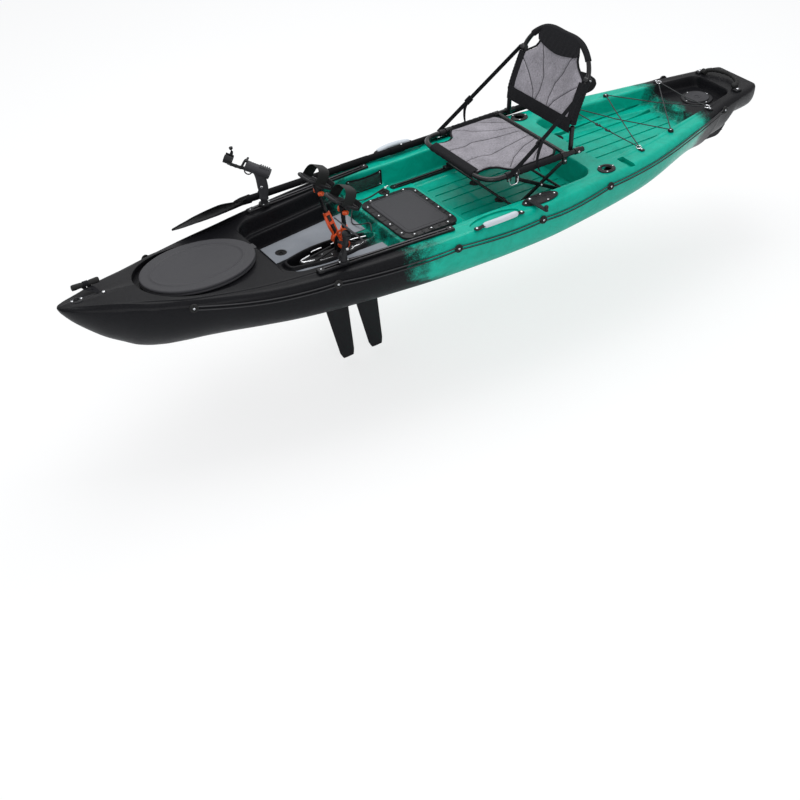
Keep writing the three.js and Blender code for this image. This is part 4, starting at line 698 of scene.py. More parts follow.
# Fine relief of moulded plastic: a soft orange peel with small pits, from Object coordinates.
moulded, given, gives = start_group("moulded_skin", [("Scale", 120.0), ("Pits", 0.3)],
                                    [("Height", "NodeSocketFloat"), ("Wear", "NodeSocketFloat")])
skin_place = own_place(moulded)
peel = noise(moulded, skin_place, given[0], 3.0)
pits = noise(moulded, skin_place, 900.0, 1.0)
pit_depth = math(moulded, "MULTIPLY", math(moulded, "LESS_THAN", pits, 0.38), given[1])
moulded.links.new(math(moulded, "SUBTRACT", peel, pit_depth), gives[0])
moulded.links.new(noise(moulded, skin_place, 7.0, 6.0, 0.7, 0.6), gives[1])


def shell_colours():
    """Black bow, green middle and black stern. Each border is a distance along X, moved by broad and
    fine clouds of noise and broken into specks, and it lies further aft low on the flanks."""
    made, tree, shader = new_finish("polyethylene", (0.02, 0.02, 0.022), 0.36,
        **{"Specular IOR Level": 0.07, "Coat Roughness": 0.16})
    place = own_place(tree)
    along_x, _, up_z = put(tree, "ShaderNodeSeparateXYZ", {0: place}).outputs
    clouds = noise(tree, place, 3.1, 5.0, 0.6, 0.8)
    wisps = noise(tree, place, 13.0, 6.0, 0.7, 1.6)
    specks = noise(tree, place, 330.0, 2.0)
    low_flank = ranged(tree, up_z, 0.13, 0.05, 0.0, 0.13)
    cloudy = math(tree, "ADD", math(tree, "MULTIPLY_ADD", clouds, 2.6, -1.3),
                  math(tree, "MULTIPLY_ADD", wisps, 1.5, -0.75))
    broken = math(tree, "ADD", cloudy, math(tree, "MULTIPLY_ADD", specks, 1.3, -0.65))
    fore = math(tree, "MULTIPLY_ADD", math(tree, "SUBTRACT", along_x, low_flank), 7.5, 2.35)
    aft = math(tree, "MULTIPLY_ADD", along_x, -13.0, 16.6)
    masks = [ranged(tree, math(tree, "ADD", border, broken), -0.55, 0.55, interpolation_type="SMOOTHSTEP")
             for border in (fore, aft)]
    green_share = math(tree, "MULTIPLY", masks[0], masks[1])
    green = blend_colour(tree, math(tree, "MULTIPLY_ADD", wisps, 1.6, -0.35, clamp=True),
                         (0.0, 0.28, 0.195), (0.001, 0.45, 0.325))
    black = blend_colour(tree, math(tree, "MULTIPLY_ADD", specks, 2.0, -0.7, clamp=True),
                         (0.003, 0.003, 0.004), (0.014, 0.014, 0.016))
    feed(tree, shader, Base_Color=blend_colour(tree, green_share, black, green))
    feed(tree, shader, Coat_Weight=math(tree, "MULTIPLY_ADD", green_share, 0.2, 0.03))
    relief = put(tree, "ShaderNodeGroup", {"Scale": 150.0, "Pits": 0.2}, node_tree=moulded)
    feed(tree, shader, Roughness=ranged(tree, relief.outputs[1], 0.3, 0.7, 0.3, 0.44))
    bump(tree, shader, relief.outputs[0], 0.25, 0.0008)
    return made


polyethylene = shell_colours()
shell = place_piece("kayak_shell", kayak_shell(), polyethylene,
                    crease=42, stands_for=("hull_shell", "deck_shell"))
grooves = [(1.712, 2.222, y, 0.1505) for y in mm((-150, -95, -40, 40, 95, 150))]
grooves += [(2.372, 2.905, y, 0.1865) for y in mm((-165, -100, -35, 35, 100, 165))]
shell_cuts.append(together(*[prism(soft_box(station(x0), station(x1), y - 0.0055, y + 0.0055, 0.005, 4),
    floor_top - 0.004, floor_top + 0.02) for x0, x1, y, floor_top in grooves]))
carve(shell, *shell_cuts)
shell.data.shade_smooth()
shell.data.set_sharp_from_angle(angle=np.radians(32))

# The rounded lip moulded round the drive well keeps water on the footwell floor out of it.


def wrapped(rings):
    """A closed skin from rings of points whose last joins the first."""
    rows, columns = rings.shape[:2]
    faces = [[v % (rows * columns) for v in face] for face in grid_faces(rows + 1, columns, around=True)]
    return outward((rings.reshape(-1, 3), faces))


def hoop(outline, profile, base=0.0):
    """A closed hoop: each (margin, height over the base) of the profile is the outline grown by that
    margin, laid at that height, and the profile's last row joins its first."""
    return wrapped(np.stack([raised(outline(grow), base + z) for grow, z in profile]))


def stack(outline, profile, base=0.0):
    """A closed block: the outline grown by each margin of the profile, at each height over the base,
    with flat ends."""
    return skin([raised(outline(grow), base + z) for grow, z in profile])


foot_floor = 0.134
place_piece("well_lip", hoop(lambda grow: well_outline(grow, 60),
    mm([(-0.5, -30), (-0.5, 11), (1, 13.5), (3.5, 14), (7.5, 14), (11, 12), (14, 7), (18, 2), (24, -1)]),
    foot_floor), polyethylene)

# Screws
# Pan-head machine screws of stainless steel with a cross recess hold every fitting to the shell.
# Each is driven in until its head sits on the part that it holds.


def posed(shape, turn, place=(0, 0, 0)):
    """A shape turned about the origin and moved to a place."""
    return np.asarray(shape[0]) @ np.asarray(turn).T + np.asarray(place), shape[1]


def facing(way):
    """The turn that lays the upright axis along a way."""
    return np.array(Vector(way).to_track_quat("Z", "Y").to_matrix())


def scattered(shape, places, ways):
    """Copies of a shape, one for each place, each turned so that its axis follows its way."""
    return outward(together(*[posed(shape, facing(way), spot) for spot, way in zip(places, ways)]))


def domed(share, rise, radius, angle):
    """A cap over a polar grid: rows of (share of the radius, rise) round the angles."""
    return skin(np.stack([share[:, None] * radius * np.cos(angle), share[:, None] * radius * np.sin(angle),
        rise], -1))


def screw_heads(places, ways, radius):
    """Pan heads: a dome over a polar grid, sunk along a cross."""
    share = np.array([1.0, 1.0, 0.93, 0.78, 0.52, 0.5, 0.22, 0.02])
    dome = np.array([-0.5, 0.25, 0.48, 0.6, 0.68, 0.68, 0.7, 0.7]) * radius
    angle = np.linspace(0, 2 * np.pi, 20, endpoint=False)
    cross = (np.abs(np.sin(2 * angle)) < 0.6)[None, :] & (share < 0.51)[:, None]
    return scattered(domed(share, dome[:, None] - cross * 0.38 * radius, radius, angle), places, ways)


def screws(name, places, body="kayak", way=(0, 0, 1), radius=0.0042, ways=None):
    """Screw heads at places, all facing one way unless each has its own."""
    return place_piece(name, screw_heads(places, [way] * len(places) if ways is None else ways, radius),
        steel, body)


# Hatches
# The bow hatch is an oval press-on lid of soft charcoal plastic over a moulded rim. The square hatch
# before the seat is a screwed frame with a flush lid, and the stern has a small round screw plug.


def fitting_plastic(name, dark, light, roughness, scale=260.0, relief_depth=0.0005, shine=0.16):
    """Moulded plastic of one colour with a little mottling, worn shine and fine relief."""
    made, tree, shader = new_finish(name, dark, roughness, **{"Specular IOR Level": shine})
    relief = put(tree, "ShaderNodeGroup", {"Scale": scale, "Pits": 0.35}, node_tree=moulded)
    feed(tree, shader, Base_Color=blend_colour(tree, relief.outputs[1], dark, light))
    feed(tree, shader, Roughness=ranged(tree, relief.outputs[1], 0.3, 0.7, roughness - 0.06, roughness + 0.1))
    bump(tree, shader, relief.outputs[0], 0.35, relief_depth)
    return made


lid_plastic = fitting_plastic("lid_plastic", (0.03, 0.03, 0.033), (0.052, 0.051, 0.056), 0.5, 520.0)
black_plastic = fitting_plastic("black_plastic", (0.009, 0.009, 0.01), (0.022, 0.022, 0.024), 0.38)

lid_under = terrace_height + 0.0206
lid_edge = mm([(10, 0.4), (8.2, -1), (8.2, -15), (6.6, -16.5), (2.2, -16.5), (0.4, -14.5), (0, -10.5),
    (1.4, -8.5), (3.2, -7.5), (3.2, -4.8), (1.2, -3.8), (0, -2), (0, 2.5), (1.6, 5.5), (5, 6.8), (12, 6.6),
    (28, 6.4), (40, 6.2), (42.5, 7.6), (45.5, 8.1), (48.5, 7.4), (51, 5.6), (58, 4.6)])
inner_shares = np.array([0.93, 0.84, 0.72, 0.58, 0.44, 0.3, 0.17, 0.07, 0.004])
lid_rings = [((lid_half_x - 0.01) * share, (lid_half_y - 0.01) * share, 0.0004) for share in (0.004, 0.5)]
lid_rings += [(lid_half_x - inset, lid_half_y - inset, z) for inset, z in lid_edge]
lid_rings += [((lid_half_x - 0.058) * share, (lid_half_y - 0.058) * share,
               0.0046 + 0.0022 * (1 - share) ** 2) for share in inner_shares]
lid_skin = skin([raised(oval(lid_x, 0, half_x, half_y, 96), lid_under + z)
    for half_x, half_y, z in lid_rings])
tab = stack(lambda grow: soft_box(lid_x + lid_half_x - 0.012 - grow, lid_x + lid_half_x + 0.013 + grow,
    -0.019 - grow, 0.019 + grow, 0.008 + grow, 6), mm([(-1.2, -3.5), (0, -2.5), (0, 1.5), (-1.5, 3)]),
    lid_under)
place_piece("bow_hatch_lid", together(lid_skin, tab), lid_plastic, "front_lid", crease=50,
            stands_for="front_hatch_lid")
place_piece("bow_hatch_rim", hoop(lambda grow: oval(lid_x, 0, lid_half_x - hatch_wall + grow,
    lid_half_y - hatch_wall + grow, 96), mm([(-0, 0.5), (0, 18), (2, 20.3), (8, 20.3), (11.5, 18), (12, 4),
    (13.5, 0.5)]), terrace_height), black_plastic, stands_for="front_hatch_rim")

# The square hatch: its frame is ribbed between the screws, and its lid has a chamfered edge.
hatch_front, hatch_rear, hatch_half, hatch_corner = 1.385, 1.651, 0.182, 0.04
hatch_base = 0.1783


def hatch_outline(inset, points=8):
    """The square hatch in plan, drawn in by a margin."""
    return soft_box(station(hatch_front) + inset, station(hatch_rear) - inset, -hatch_half + inset,
                    hatch_half - inset, hatch_corner - inset / 2, points)


def oblong(x, y, half_x, half_y, radius, count):
    """A rounded rectangle about a centre, as a function of the margin that it grows by."""
    return lambda grow: soft_box(x - half_x - grow, x + half_x + grow, y - half_y - grow, y + half_y + grow,
                                 radius, count)


place_piece("day_hatch_surround", hoop(hatch_outline, mm([(0, 0), (0, 6), (1.5, 8.5), (4, 9.2), (26, 9.2),
    (27.5, 10.2), (30, 10.4), (46, 10.4), (47, 9.5), (47, 0)]), hatch_base), black_plastic,
    stands_for="day_hatch_frame")
frame_top = hatch_base + 0.0092
x_lines = np.linspace(station(hatch_front) + 0.052, station(hatch_rear) - 0.052, 3)
y_lines = np.linspace(-hatch_half + 0.052, hatch_half - 0.052, 4)


def round_the_frame(inset, along_x, along_y):
    """Spots on the hatch frame's four sides, drawn in by an inset, and whether each is on an end."""
    return ([(x, side * (hatch_half - inset), False) for x in along_x for side in both]
        + [(x, y, True) for x in (station(hatch_front) + inset, station(hatch_rear) - inset)
        for y in along_y])


frame_spots = [(x, y) for x, y, _ in round_the_frame(0.0145, x_lines, y_lines)]
screws("day_hatch_screws", [(x, y, frame_top + 0.0024) for x, y in frame_spots], radius=0.0046)
bosses = [stack(oblong(x, y, 0.011, 0.011, 0.003, 3), mm([(0, -2), (0, 1.8), (-1, 2.6)]), frame_top)
    for x, y in frame_spots]
rib_sizes = {False: (0.004, 0.01), True: (0.01, 0.004)}
ribs = [stack(oblong(x, y, *rib_sizes[on_end], 0.002, 3), mm([(0, -2), (0, 1.2), (-0.8, 2)]), frame_top)
    for x, y, on_end in round_the_frame(0.0125, (x_lines[1:] + x_lines[:-1]) / 2,
    (y_lines[1:] + y_lines[:-1]) / 2)]
place_piece("day_hatch_bosses", together(*bosses, *ribs), black_plastic)
place_piece("day_hatch_cover", stack(lambda grow: hatch_outline(0.029 - grow),
    mm([(-2, 0), (0, 0.8), (0, 2.2), (-3.5, 4.6), (-6.5, 4.9), (-11.5, 4.9), (-12.2, 4), (-14, 4),
    (-14.7, 4.9)]), hatch_base + 0.0113), lid_plastic, "day_lid", stands_for="day_hatch_lid")

# The stern plug: a ring screwed down at four points, and a plug with a raised edge and a key boss.
plug_x, plug_base = station(3.096), 0.2363


def disc(x, y, radius, profile, base=0.0, count=56):
    """A turned piece standing upright: (radius share, height over the base) rows about a centre."""
    return skin([raised(oval(x, y, radius * share, radius * share, count), base + z) for share, z in profile])


place_piece("stern_hatch_ring", hoop(lambda grow: oval(plug_x, 0, 0.072 + grow, 0.072 + grow, 56),
    mm([(0, 0), (0, 3.5), (-1.8, 5.8), (-20, 6.2), (-21.5, 5.5), (-21.5, 0)]), plug_base), black_plastic,
    stands_for="stern_hatch_rim")
place_piece("stern_hatch_plug", disc(plug_x, 0, 0.055, [
    (0.86, -0.006), (0.86, 0.0066), (1.0, 0.0068), (1.0, 0.0095), (0.97, 0.0112), (0.9, 0.0112), (0.87, 0.01),
    (0.3, 0.0096), (0.27, 0.0112), (0.2, 0.0112), (0.17, 0.0088), (0.01, 0.0088)], plug_base),
    lid_plastic, "stern_lid", stands_for="stern_hatch_lid")
plug_ring = oval(plug_x, 0, 0.0625, 0.0625, 4)
screws("stern_hatch_screws", [(x, y, plug_base + 0.0062) for x, y in plug_ring], radius=0.0036)

# Drain plugs
# Each self-draining hole in the floors is closed by a bung of soft black rubber. It is pressed into
# the hole by hand and pulled out by the ring moulded on its top.

rubber = fitting_plastic("rubber", (0.01, 0.01, 0.01), (0.02, 0.02, 0.02), 0.62, 700.0)
bungs = [disc(x, y, 0.0235, [(0.5, -0.02), (0.55, -0.003), (1.0, -0.0035), (1.0, 0.0005), (0.94, 0.0028),
    (0.74, 0.0032), (0.7, 0.0008), (0.42, 0.0004), (0.4, 0.0036), (0.32, 0.0042), (0.26, 0.0036),
    (0.24, -0.001), (0.02, -0.001)], z, 36) for x, y, z in drains]
place_piece("drain_bungs", together(*bungs), rubber)

# Slotted tracks
# Black anodised aluminium tracks with a T-slot, screwed to the gunwales for fittings and to the side
# ledges for the seat. A moulded cap with one screw closes each end.


def carried(profile, path, up=(0, 0, 1)):
    """A profile of (across, up) points carried along a path, with flat ends."""
    path, profile = np.asarray(path, float), np.asarray(profile, float)
    way = np.gradient(path, axis=0)
    way /= np.linalg.norm(way, axis=1)[:, None]
    across = np.cross(way, np.asarray(up, float))
    across /= np.linalg.norm(across, axis=1)[:, None]
    rise = np.cross(across, way)
    return skin(path[:, None] + across[:, None] * profile[None, :, :1] + rise[:, None] * profile[None, :, 1:])


def turned(shape, angle, centre):
    """A shape turned about an upright line through a point."""
    points = np.array(shape[0], float)
    x, y = points[:, 0] - centre[0], points[:, 1] - centre[1]
    points[:, 0] = centre[0] + x * np.cos(angle) - y * np.sin(angle)
    points[:, 1] = centre[1] + x * np.sin(angle) + y * np.cos(angle)
    return points, shape[1]


anodised, metal_tree, metal_shader = new_finish("black_anodised", (0.018, 0.018, 0.02), 0.34, 0.85)


def drawn_out(tree, place, stretch):
    """Coordinates stretched along the axes, for brushed metal and woven cloth."""
    return put(tree, "ShaderNodeMapping", {0: place, 3: stretch}).outputs[0]


drawn = noise(metal_tree, drawn_out(metal_tree, own_place(metal_tree), (4.0, 260.0, 260.0)), 6.0, 4.0)
feed(metal_tree, metal_shader,
     Base_Color=blend_colour(metal_tree, drawn, (0.012, 0.012, 0.014), (0.05, 0.05, 0.054)))
feed(metal_tree, metal_shader, Roughness=ranged(metal_tree, drawn, 0.3, 0.7, 0.26, 0.42))
rail_profile = mm([(-13, 0), (13, 0), (13, 7.8), (11.8, 9), (6.4, 9), (4.5, 8.2), (4.5, 7), (6.6, 7),
    (6.6, 3), (-6.6, 3), (-6.6, 7), (-4.5, 7), (-4.5, 8.2), (-6.4, 9), (-11.8, 9), (-13, 7.8)])
slot_floor, cap_half = 0.003, 0.0145
for name, side in sides:
    for kind, cap_top, sunk, ends in (("gear", 0.0112, 0, [(0.925, 0.284, 0.2583), (1.519, 0.325, 0.2583)]),
            ("seat", 0.009, 0.0023, [(1.59, 0.247, 0.1613), (2.232, 0.247, 0.1613)])):
        rail_ends = from_bow(ends, side)
        place_piece(f"{kind}_rail_{name}", carried(rail_profile, rail_ends), anodised, crease=30,
                    stands_for=f"{kind}_track_{name}")
        run = rail_ends[1] - rail_ends[0]
        angle = np.arctan2(run[1], run[0])
        cap_places = rail_ends + np.array([[cap_half], [-cap_half]]) * run / np.linalg.norm(run)
        caps = [turned(stack(oblong(x, y, cap_half, cap_half, 0.006, 6),
            [(-0.001, 0.0002), (0, 0.001), (0, cap_top - 0.0025), (-0.0012, cap_top - 0.0005),
            (-0.003, cap_top)], z), angle, (x, y)) for x, y, z in cap_places]
        place_piece(f"{kind}_rail_caps_{name}", together(*caps), black_plastic)
        cap_spots = [place + (0, 0, cap_top - sunk) for place in cap_places]
        slot_spots = [rail_ends[0] + share * run + (0, 0, slot_floor)
            for share in (0.12, 0.31, 0.5, 0.69, 0.88)]
        screws(f"{kind}_rail_screws_{name}", cap_spots + slot_spots, radius=0.0036)

# Foot mats
# Grey closed-cell foam with a fine pebbled top and scuffs, cut to the footwell floor on each side of
# the drive and glued down. The solids of the frame are shown as they are, in this foam.

mat_foam, foam_tree, foam_shader = new_finish("mat_foam", (0.21, 0.225, 0.25), 0.86)
foam_place = own_place(foam_tree)
scuffs = noise(foam_tree, foam_place, 9.0, 5.0, 0.65)
pebbles = put(foam_tree, "ShaderNodeTexVoronoi", {"Vector": foam_place, "Scale": 420.0})
feed(foam_tree, foam_shader,
     Base_Color=blend_colour(foam_tree, scuffs, (0.165, 0.18, 0.205), (0.275, 0.29, 0.315)))
bump(foam_tree, foam_shader, pebbles.outputs["Distance"], 0.35, 0.0006)
for name, _ in sides:
    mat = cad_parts[f"foot_mat_{name}"].data
    mat.materials.clear()
    mat.materials.append(mat_foam)

# Rod tubes
# Flush rod holders of black plastic let into the deck behind the seat, leaning aft, each held by
# three screws through its oval flange.

flange_low, mouth_height = 0.2583, 0.264
flange = mm([(40.5, 35.2, 0), (40.5, 35.2, 2), (38.8, 33.6, 4.2), (30, 28, 4.6), (27.5, 26.2, 6.2),
    (23.6, 23.2, 6.2), (21.4, 21.3, 4)])
socket = mm([(21, 16), (21, 144), (2, 145), (2, 150), (23.6, 149), (23.8, 16)])
for name, side in sides:
    rings = [raised(oval(rod_x, side * rod_y, a, b, 48), flange_low + z) for a, b, z in flange]
    angle = np.linspace(0, 2 * np.pi, 48, endpoint=False)
    for radius, depth in socket:
        centre = np.array([rod_x - depth * np.sin(rod_lean), side * rod_y,
            mouth_height - depth * np.cos(rod_lean)])
        rings.append(centre + radius * np.stack([np.cos(angle) * np.cos(rod_lean), np.sin(angle),
                                                 -np.cos(angle) * np.sin(rod_lean)], -1))
    place_piece(f"rod_socket_{name}", wrapped(np.stack(rings)), black_plastic,
                stands_for=f"rod_tube_{name}")
    spots = oval(rod_x, side * rod_y, 0.0338, 0.03, 3)
    screws(f"rod_socket_screws_{name}", [(x, y, flange_low + 0.0046) for x, y in spots], radius=0.0038)

# Net pockets
# Pockets of elastic mesh for small things, with webbing tape sewn round the edge. Each is stretched
# over the cockpit wall beside the square hatch and held by a screw near each corner.


def sheet_of(points, thickness, normal):
    """A thin closed sheet: a grid of points and the same grid moved back along a direction, each row
    of both joined into one ring."""
    back = points - np.asarray(normal, float) * thickness
    return skin(np.concatenate([points, back[:, ::-1]], 1))


net, net_tree, net_shader = new_finish("pocket_net", (0.012, 0.012, 0.013), 0.8)
net_x, _, net_z = put(net_tree, "ShaderNodeSeparateXYZ", {0: own_place(net_tree)}).outputs
mesh_pitch = 0.0042
threads = [math(net_tree, "ABSOLUTE", math(net_tree, "SINE", math(net_tree, "MULTIPLY", math(
    net_tree, way, net_x, net_z), np.pi / mesh_pitch))) for way in ("ADD", "SUBTRACT")]
open_share = math(net_tree, "MULTIPLY", threads[0], threads[1])
feed(net_tree, net_shader, Alpha=ranged(net_tree, open_share, 0.5, 0.56, 1.0, 0.0))
webbing, web_tree, web_shader = new_finish("black_webbing", (0.012, 0.012, 0.014), 0.78,
                                           **{"Specular IOR Level": 0.08})
web_place = own_place(web_tree)
web_lines = [put(web_tree, "ShaderNodeTexWave", {"Vector": web_place, "Scale": 260.0, "Distortion": 0.6},
                 bands_direction=way, wave_profile="SIN").outputs["Fac"] for way in ("X", "Y", "Z")]
web_height = math(web_tree, "MAXIMUM", math(web_tree, "MULTIPLY", web_lines[0], web_lines[1]), web_lines[2])
# Painted shade: the webbing is darker between the threads of its weave and lighter on their tops.
feed(web_tree, web_shader,
     Base_Color=blend_colour(web_tree, web_height, (0.004, 0.004, 0.005), (0.017, 0.017, 0.019)))
bump(web_tree, web_shader, web_height, 0.5, 0.0004)
for name, side in sides:
    low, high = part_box(f"mesh_pocket_{name}")
    wall_y = max(abs(low.y), abs(high.y))
    u, v = np.meshgrid(np.linspace(0, 1, 40), np.linspace(0, 1, 18))
    bulge = (1 - np.abs(2 * u - 1) ** 3.5) * np.sin(np.pi * (0.08 + 0.8 * v)) ** 0.7
    ripple = 0.0009 * np.sin(u * 34 + 3 * v) * v
    bag = np.stack([low.x + u * (high.x - low.x), side * (wall_y - 0.0015 - 0.0105 * bulge - ripple),
                    low.z + v * (high.z - low.z) - 0.006 * v * np.sin(np.pi * u)], -1)
    pocket = place_piece(f"net_pocket_{name}", sheet_of(bag, 0.0006, (0, -side, 0)), net,
                         stands_for=f"mesh_pocket_{name}")
    edge = np.concatenate([bag[0], bag[1:, -1], bag[-1, -2::-1], bag[-2:0:-1, 0]])
    tape = evenly(np.concatenate([edge, edge[:1]]), 0.004)
    place_piece(f"pocket_tape_{name}", tube(tape, 0.0048, 10, flat=0.32, up=(0, side, 0)), webbing)
    corners = [(low.x + a, side * (wall_y - 0.0024), z) for a in (0.006, high.x - low.x - 0.006)
               for z in (low.z + 0.007, high.z - 0.006)]
    screws(f"pocket_screws_{name}", corners, way=(0, -side, 0), radius=0.0036)

# Deck lines
# Thin braided cord, laid double along each side to grab or to tie things to. Star-shaped rubber
# buttons hold it to the flank, each with one screw.


def flank_point(x, side, rise, stand):
    """A place on the seam band: so far from the bow, above the seam, and out from the surface."""
    slope = (half_at(x + 0.026) - half_at(x - 0.026)) / 0.052
    run = np.hypot(1, slope)
    return np.stack([station(x) - slope / run * stand, side * (half_at(x) + stand / run),
                     seam_at(x) + rise], -1)


def star_buttons(places, ways, radius, height):
    """Rubber buttons: a domed polar grid with four grooves across its rim and a dished middle."""
    share = np.array([1.0, 1.0, 0.93, 0.74, 0.5, 0.42, 0.4, 0.02])
    level = np.array([0.0, 0.45, 0.75, 0.96, 1.0, 0.92, 0.62, 0.62])
    angle = np.linspace(0, 2 * np.pi, 48, endpoint=False)
    groove = np.exp(-(np.sin(2 * angle) / 0.22) ** 2)[None, :] * np.array(
        [0, 0, .5, 1, .8, .3, 0, 0])[:, None]
    return scattered(domed(share, (level[:, None] - 0.42 * groove) * height, radius, angle), places, ways)


button_shares = np.array([0.132, 0.292, 0.446, 0.569, 0.68, 0.92])
line_cord, button_radius, button_high = 0.0024, 0.0175, 0.0095
for name, side in sides:
    button_x = button_shares * length
    spots = flank_point(button_x, side, 0, 0.0006)
    ways = flank_point(button_x, side, 0, 0.1) - flank_point(button_x, side, 0, 0.0)
    place_piece(f"line_buttons_{name}", star_buttons(spots, ways, button_radius, button_high), rubber,
                stands_for=f"deck_line_{name}")
    screws(f"line_button_screws_{name}", spots + ways * 0.6 * button_high / 0.1, ways=ways, radius=0.0052)
    cords, lengths = [], []
    for way in (1, -1):
        pieces = []
        for first, last in zip(button_x[:-1], button_x[1:]):
            t = np.linspace(0, 1, 40, endpoint=last == button_x[-1])
            hang = 4 * t * (1 - t) * (last - first) * 0.022
            pieces.append(flank_point(first + (last - first) * t, side, way * 0.0075 - hang,
                line_cord + 0.0014))
        path = evenly(np.concatenate(pieces), 0.012)
        cords.append(tube(path, line_cord, 8))
        lengths.append(path)
    line = place_piece(f"deck_cord_{name}", together(*cords), cord_black)
    path = np.concatenate(lengths)
    map_along(line, len(path), 8, np.concatenate([reach(part) for part in lengths]))

# Bungee
# Elastic cord in a braided cover, laced over the tank well to hold a crate or a bag down. It runs
# between steel D-rings on screwed plastic pads and two buttons, and plastic hooks join its ends.

eye_places = {"front": (2.535, 0.254), "middle": (2.741, 0.22), "rear": (3.007, 0.166)}
bungee_cord, eye_lift = 0.0024, 0.0075


def eye_at(which, side):
    """Where the bungee crosses an eye."""
    x, y = eye_places[which]
    return np.array([station(x), side * y, gunwale_at(x) + eye_lift])


laces = [(("front", -1), ("front", 1)), (("rear", -1), ("rear", 1)), (("front", -1), ("middle", 1)),
         (("front", 1), ("middle", -1)), (("middle", -1), ("rear", 1)), (("middle", 1), ("rear", -1))]
bungee_runs = []
for i, (first, last) in enumerate(laces):
    a, b = eye_at(*first), eye_at(*last)
    t = np.linspace(0, 1, 34)[:, None]
    hump = 0.0026 * (-1) ** i * np.exp(-((t - 0.5) / 0.12) ** 2)
    over = np.array([0, 0, 1]) * (hump - 0.006 * np.sin(np.pi * t))
    bungee_runs.append(a + (b - a) * t + over)
bungee = place_piece("bungee_cords", together(*[tube(run, bungee_cord, 8) for run in bungee_runs]),
    cord_black, stands_for="bungee_net")
map_along(bungee, sum(len(run) for run in bungee_runs), 8, np.concatenate(
    [reach(run) for run in bungee_runs]))
eye_shapes, ring_shapes, eye_screws, hook_shapes = [], [], [], []
for which, (x, y) in eye_places.items():
    for side in both:
        cx, cy, top = station(x), side * y, gunwale_at(x)
        if which == "middle":
            eye_shapes += star_buttons([(cx, cy, top - 0.0005)], [(0, 0, 1)], 0.0125, 0.011),
            eye_screws.append((cx, cy, top + 0.0068))
            continue
        out = cy + side * 0.014
        eye_shapes += stack(lambda grow: soft_box(cx - 0.0095 - grow, cx + 0.0095 + grow,
            *sorted((out - side * 0.014, out + side * 0.012)), 0.004, 5),
            mm([(0, -1), (0, 2.6), (-1.4, 3.8)]), top),
        eye_screws.append((cx, out, top + 0.0042))
        arc = np.linspace(0, 2 * np.pi, 26)
        ring_shapes += tube(np.stack([cx + 0.0098 * np.cos(arc), cy - side * 0.005 + 0.0115 * np.sin(arc),
                                      top + 0.0058 + 0.002 * np.cos(arc)], -1), 0.0017, 8),
place_piece("bungee_pads", together(*eye_shapes), black_plastic)
place_piece("bungee_rings", outward(together(*ring_shapes)), steel)
screws("bungee_screws", eye_screws, radius=0.0048)
front_run = bungee_runs[0]
for place in (0.42, 0.55):
    spot = np.array([np.interp(place, np.linspace(0, 1, 34), front_run[:, k]) for k in range(3)])
    bend = np.linspace(0.2 * np.pi, 1.9 * np.pi, 18)
    hook_shapes += tube(spot + np.stack([0.007 * np.cos(bend), 0.013 * np.sin(bend), 0.001 * np.cos(bend)],
        -1), 0.0024, 8), tube([spot - (0, 0.022, 0), spot - (0, 0.013, 0)], [0.0034, 0.0045], 10)
place_piece("bungee_hooks", outward(together(*hook_shapes)), black_plastic)

# Steering lever and rudder
# A hand lever on an oval plate beside the seat turns the ribbed rudder under the stern. All three
# are moulded of black plastic, and the plate is screwed to the gunwale.


def rounded(corners, radius, count=6):
    """A polygon as a ring of points, each corner turned by a quadratic curve that starts a radius
    away from it, or less on a short side."""
    corners = np.asarray(corners, float)
    before, after = np.roll(corners, 1, 0) - corners, np.roll(corners, -1, 0) - corners
    lengths = [np.linalg.norm(way, axis=1)[:, None] for way in (before, after)]
    start, end = [corners + way / size * np.minimum(radius, size * 0.46)
                  for way, size in zip((before, after), lengths)]
    t = np.linspace(0, 1, count)[None, :, None]
    return ((1 - t) ** 2 * start[:, None] + 2 * t * (1 - t) * corners[:, None]
            + t ** 2 * end[:, None]).reshape(-1, 2)


def turn_of(*steps):
    """The rotation made by turns of (axis, angle), one after another."""
    made = np.eye(3)
    for axis, angle in steps:
        made = np.array(Matrix.Rotation(angle, 3, axis)) @ made
    return made


def spun(start, way, rows, count=24):
    """A round piece about an axis, from rows of (distance along it, radius)."""
    return posed(skin([raised(oval(0, 0, radius, radius, count), along) for along, radius in rows]),
                 facing(way), start)


def block(centre, half, bevel=0.0015, turn=np.eye(3), corner=0.003):
    """A box about a point with rounded upright corners and bevelled rims, turned by a rotation."""
    a, b, c = half
    return posed(stack(oblong(0, 0, a, b, corner, 4), [(-bevel, -c), (0, -c + bevel), (0, c - bevel),
        (-bevel, c)]), turn, centre)


def slab(ring, thick, bevel, low=0.0):
    """A plate over an anticlockwise ring of points, with bevelled rims."""
    return stack(lambda grow: grown(ring, grow),
                 [(-bevel, 0), (0, bevel), (0, thick - bevel), (-bevel, thick)], low)


def band_strip(path, across, half_wide, thick):
    """A flat band along a path, with its width along one given direction and rounded edges."""
    path, across = np.asarray(path, float), np.asarray(across, float)
    way = np.gradient(path, axis=0)
    face = np.cross(way, across)
    face /= np.linalg.norm(face, axis=1)[:, None]
    angle = np.linspace(0, 2 * np.pi, 16, endpoint=False)
    wide = np.sign(np.cos(angle)) * np.abs(np.cos(angle)) ** 0.35 * half_wide
    deep = np.sign(np.sin(angle)) * np.abs(np.sin(angle)) ** 0.8 * thick / 2
    return skin(path[:, None] + across * wide[None, :, None] + face[:, None] * deep[None, :, None])


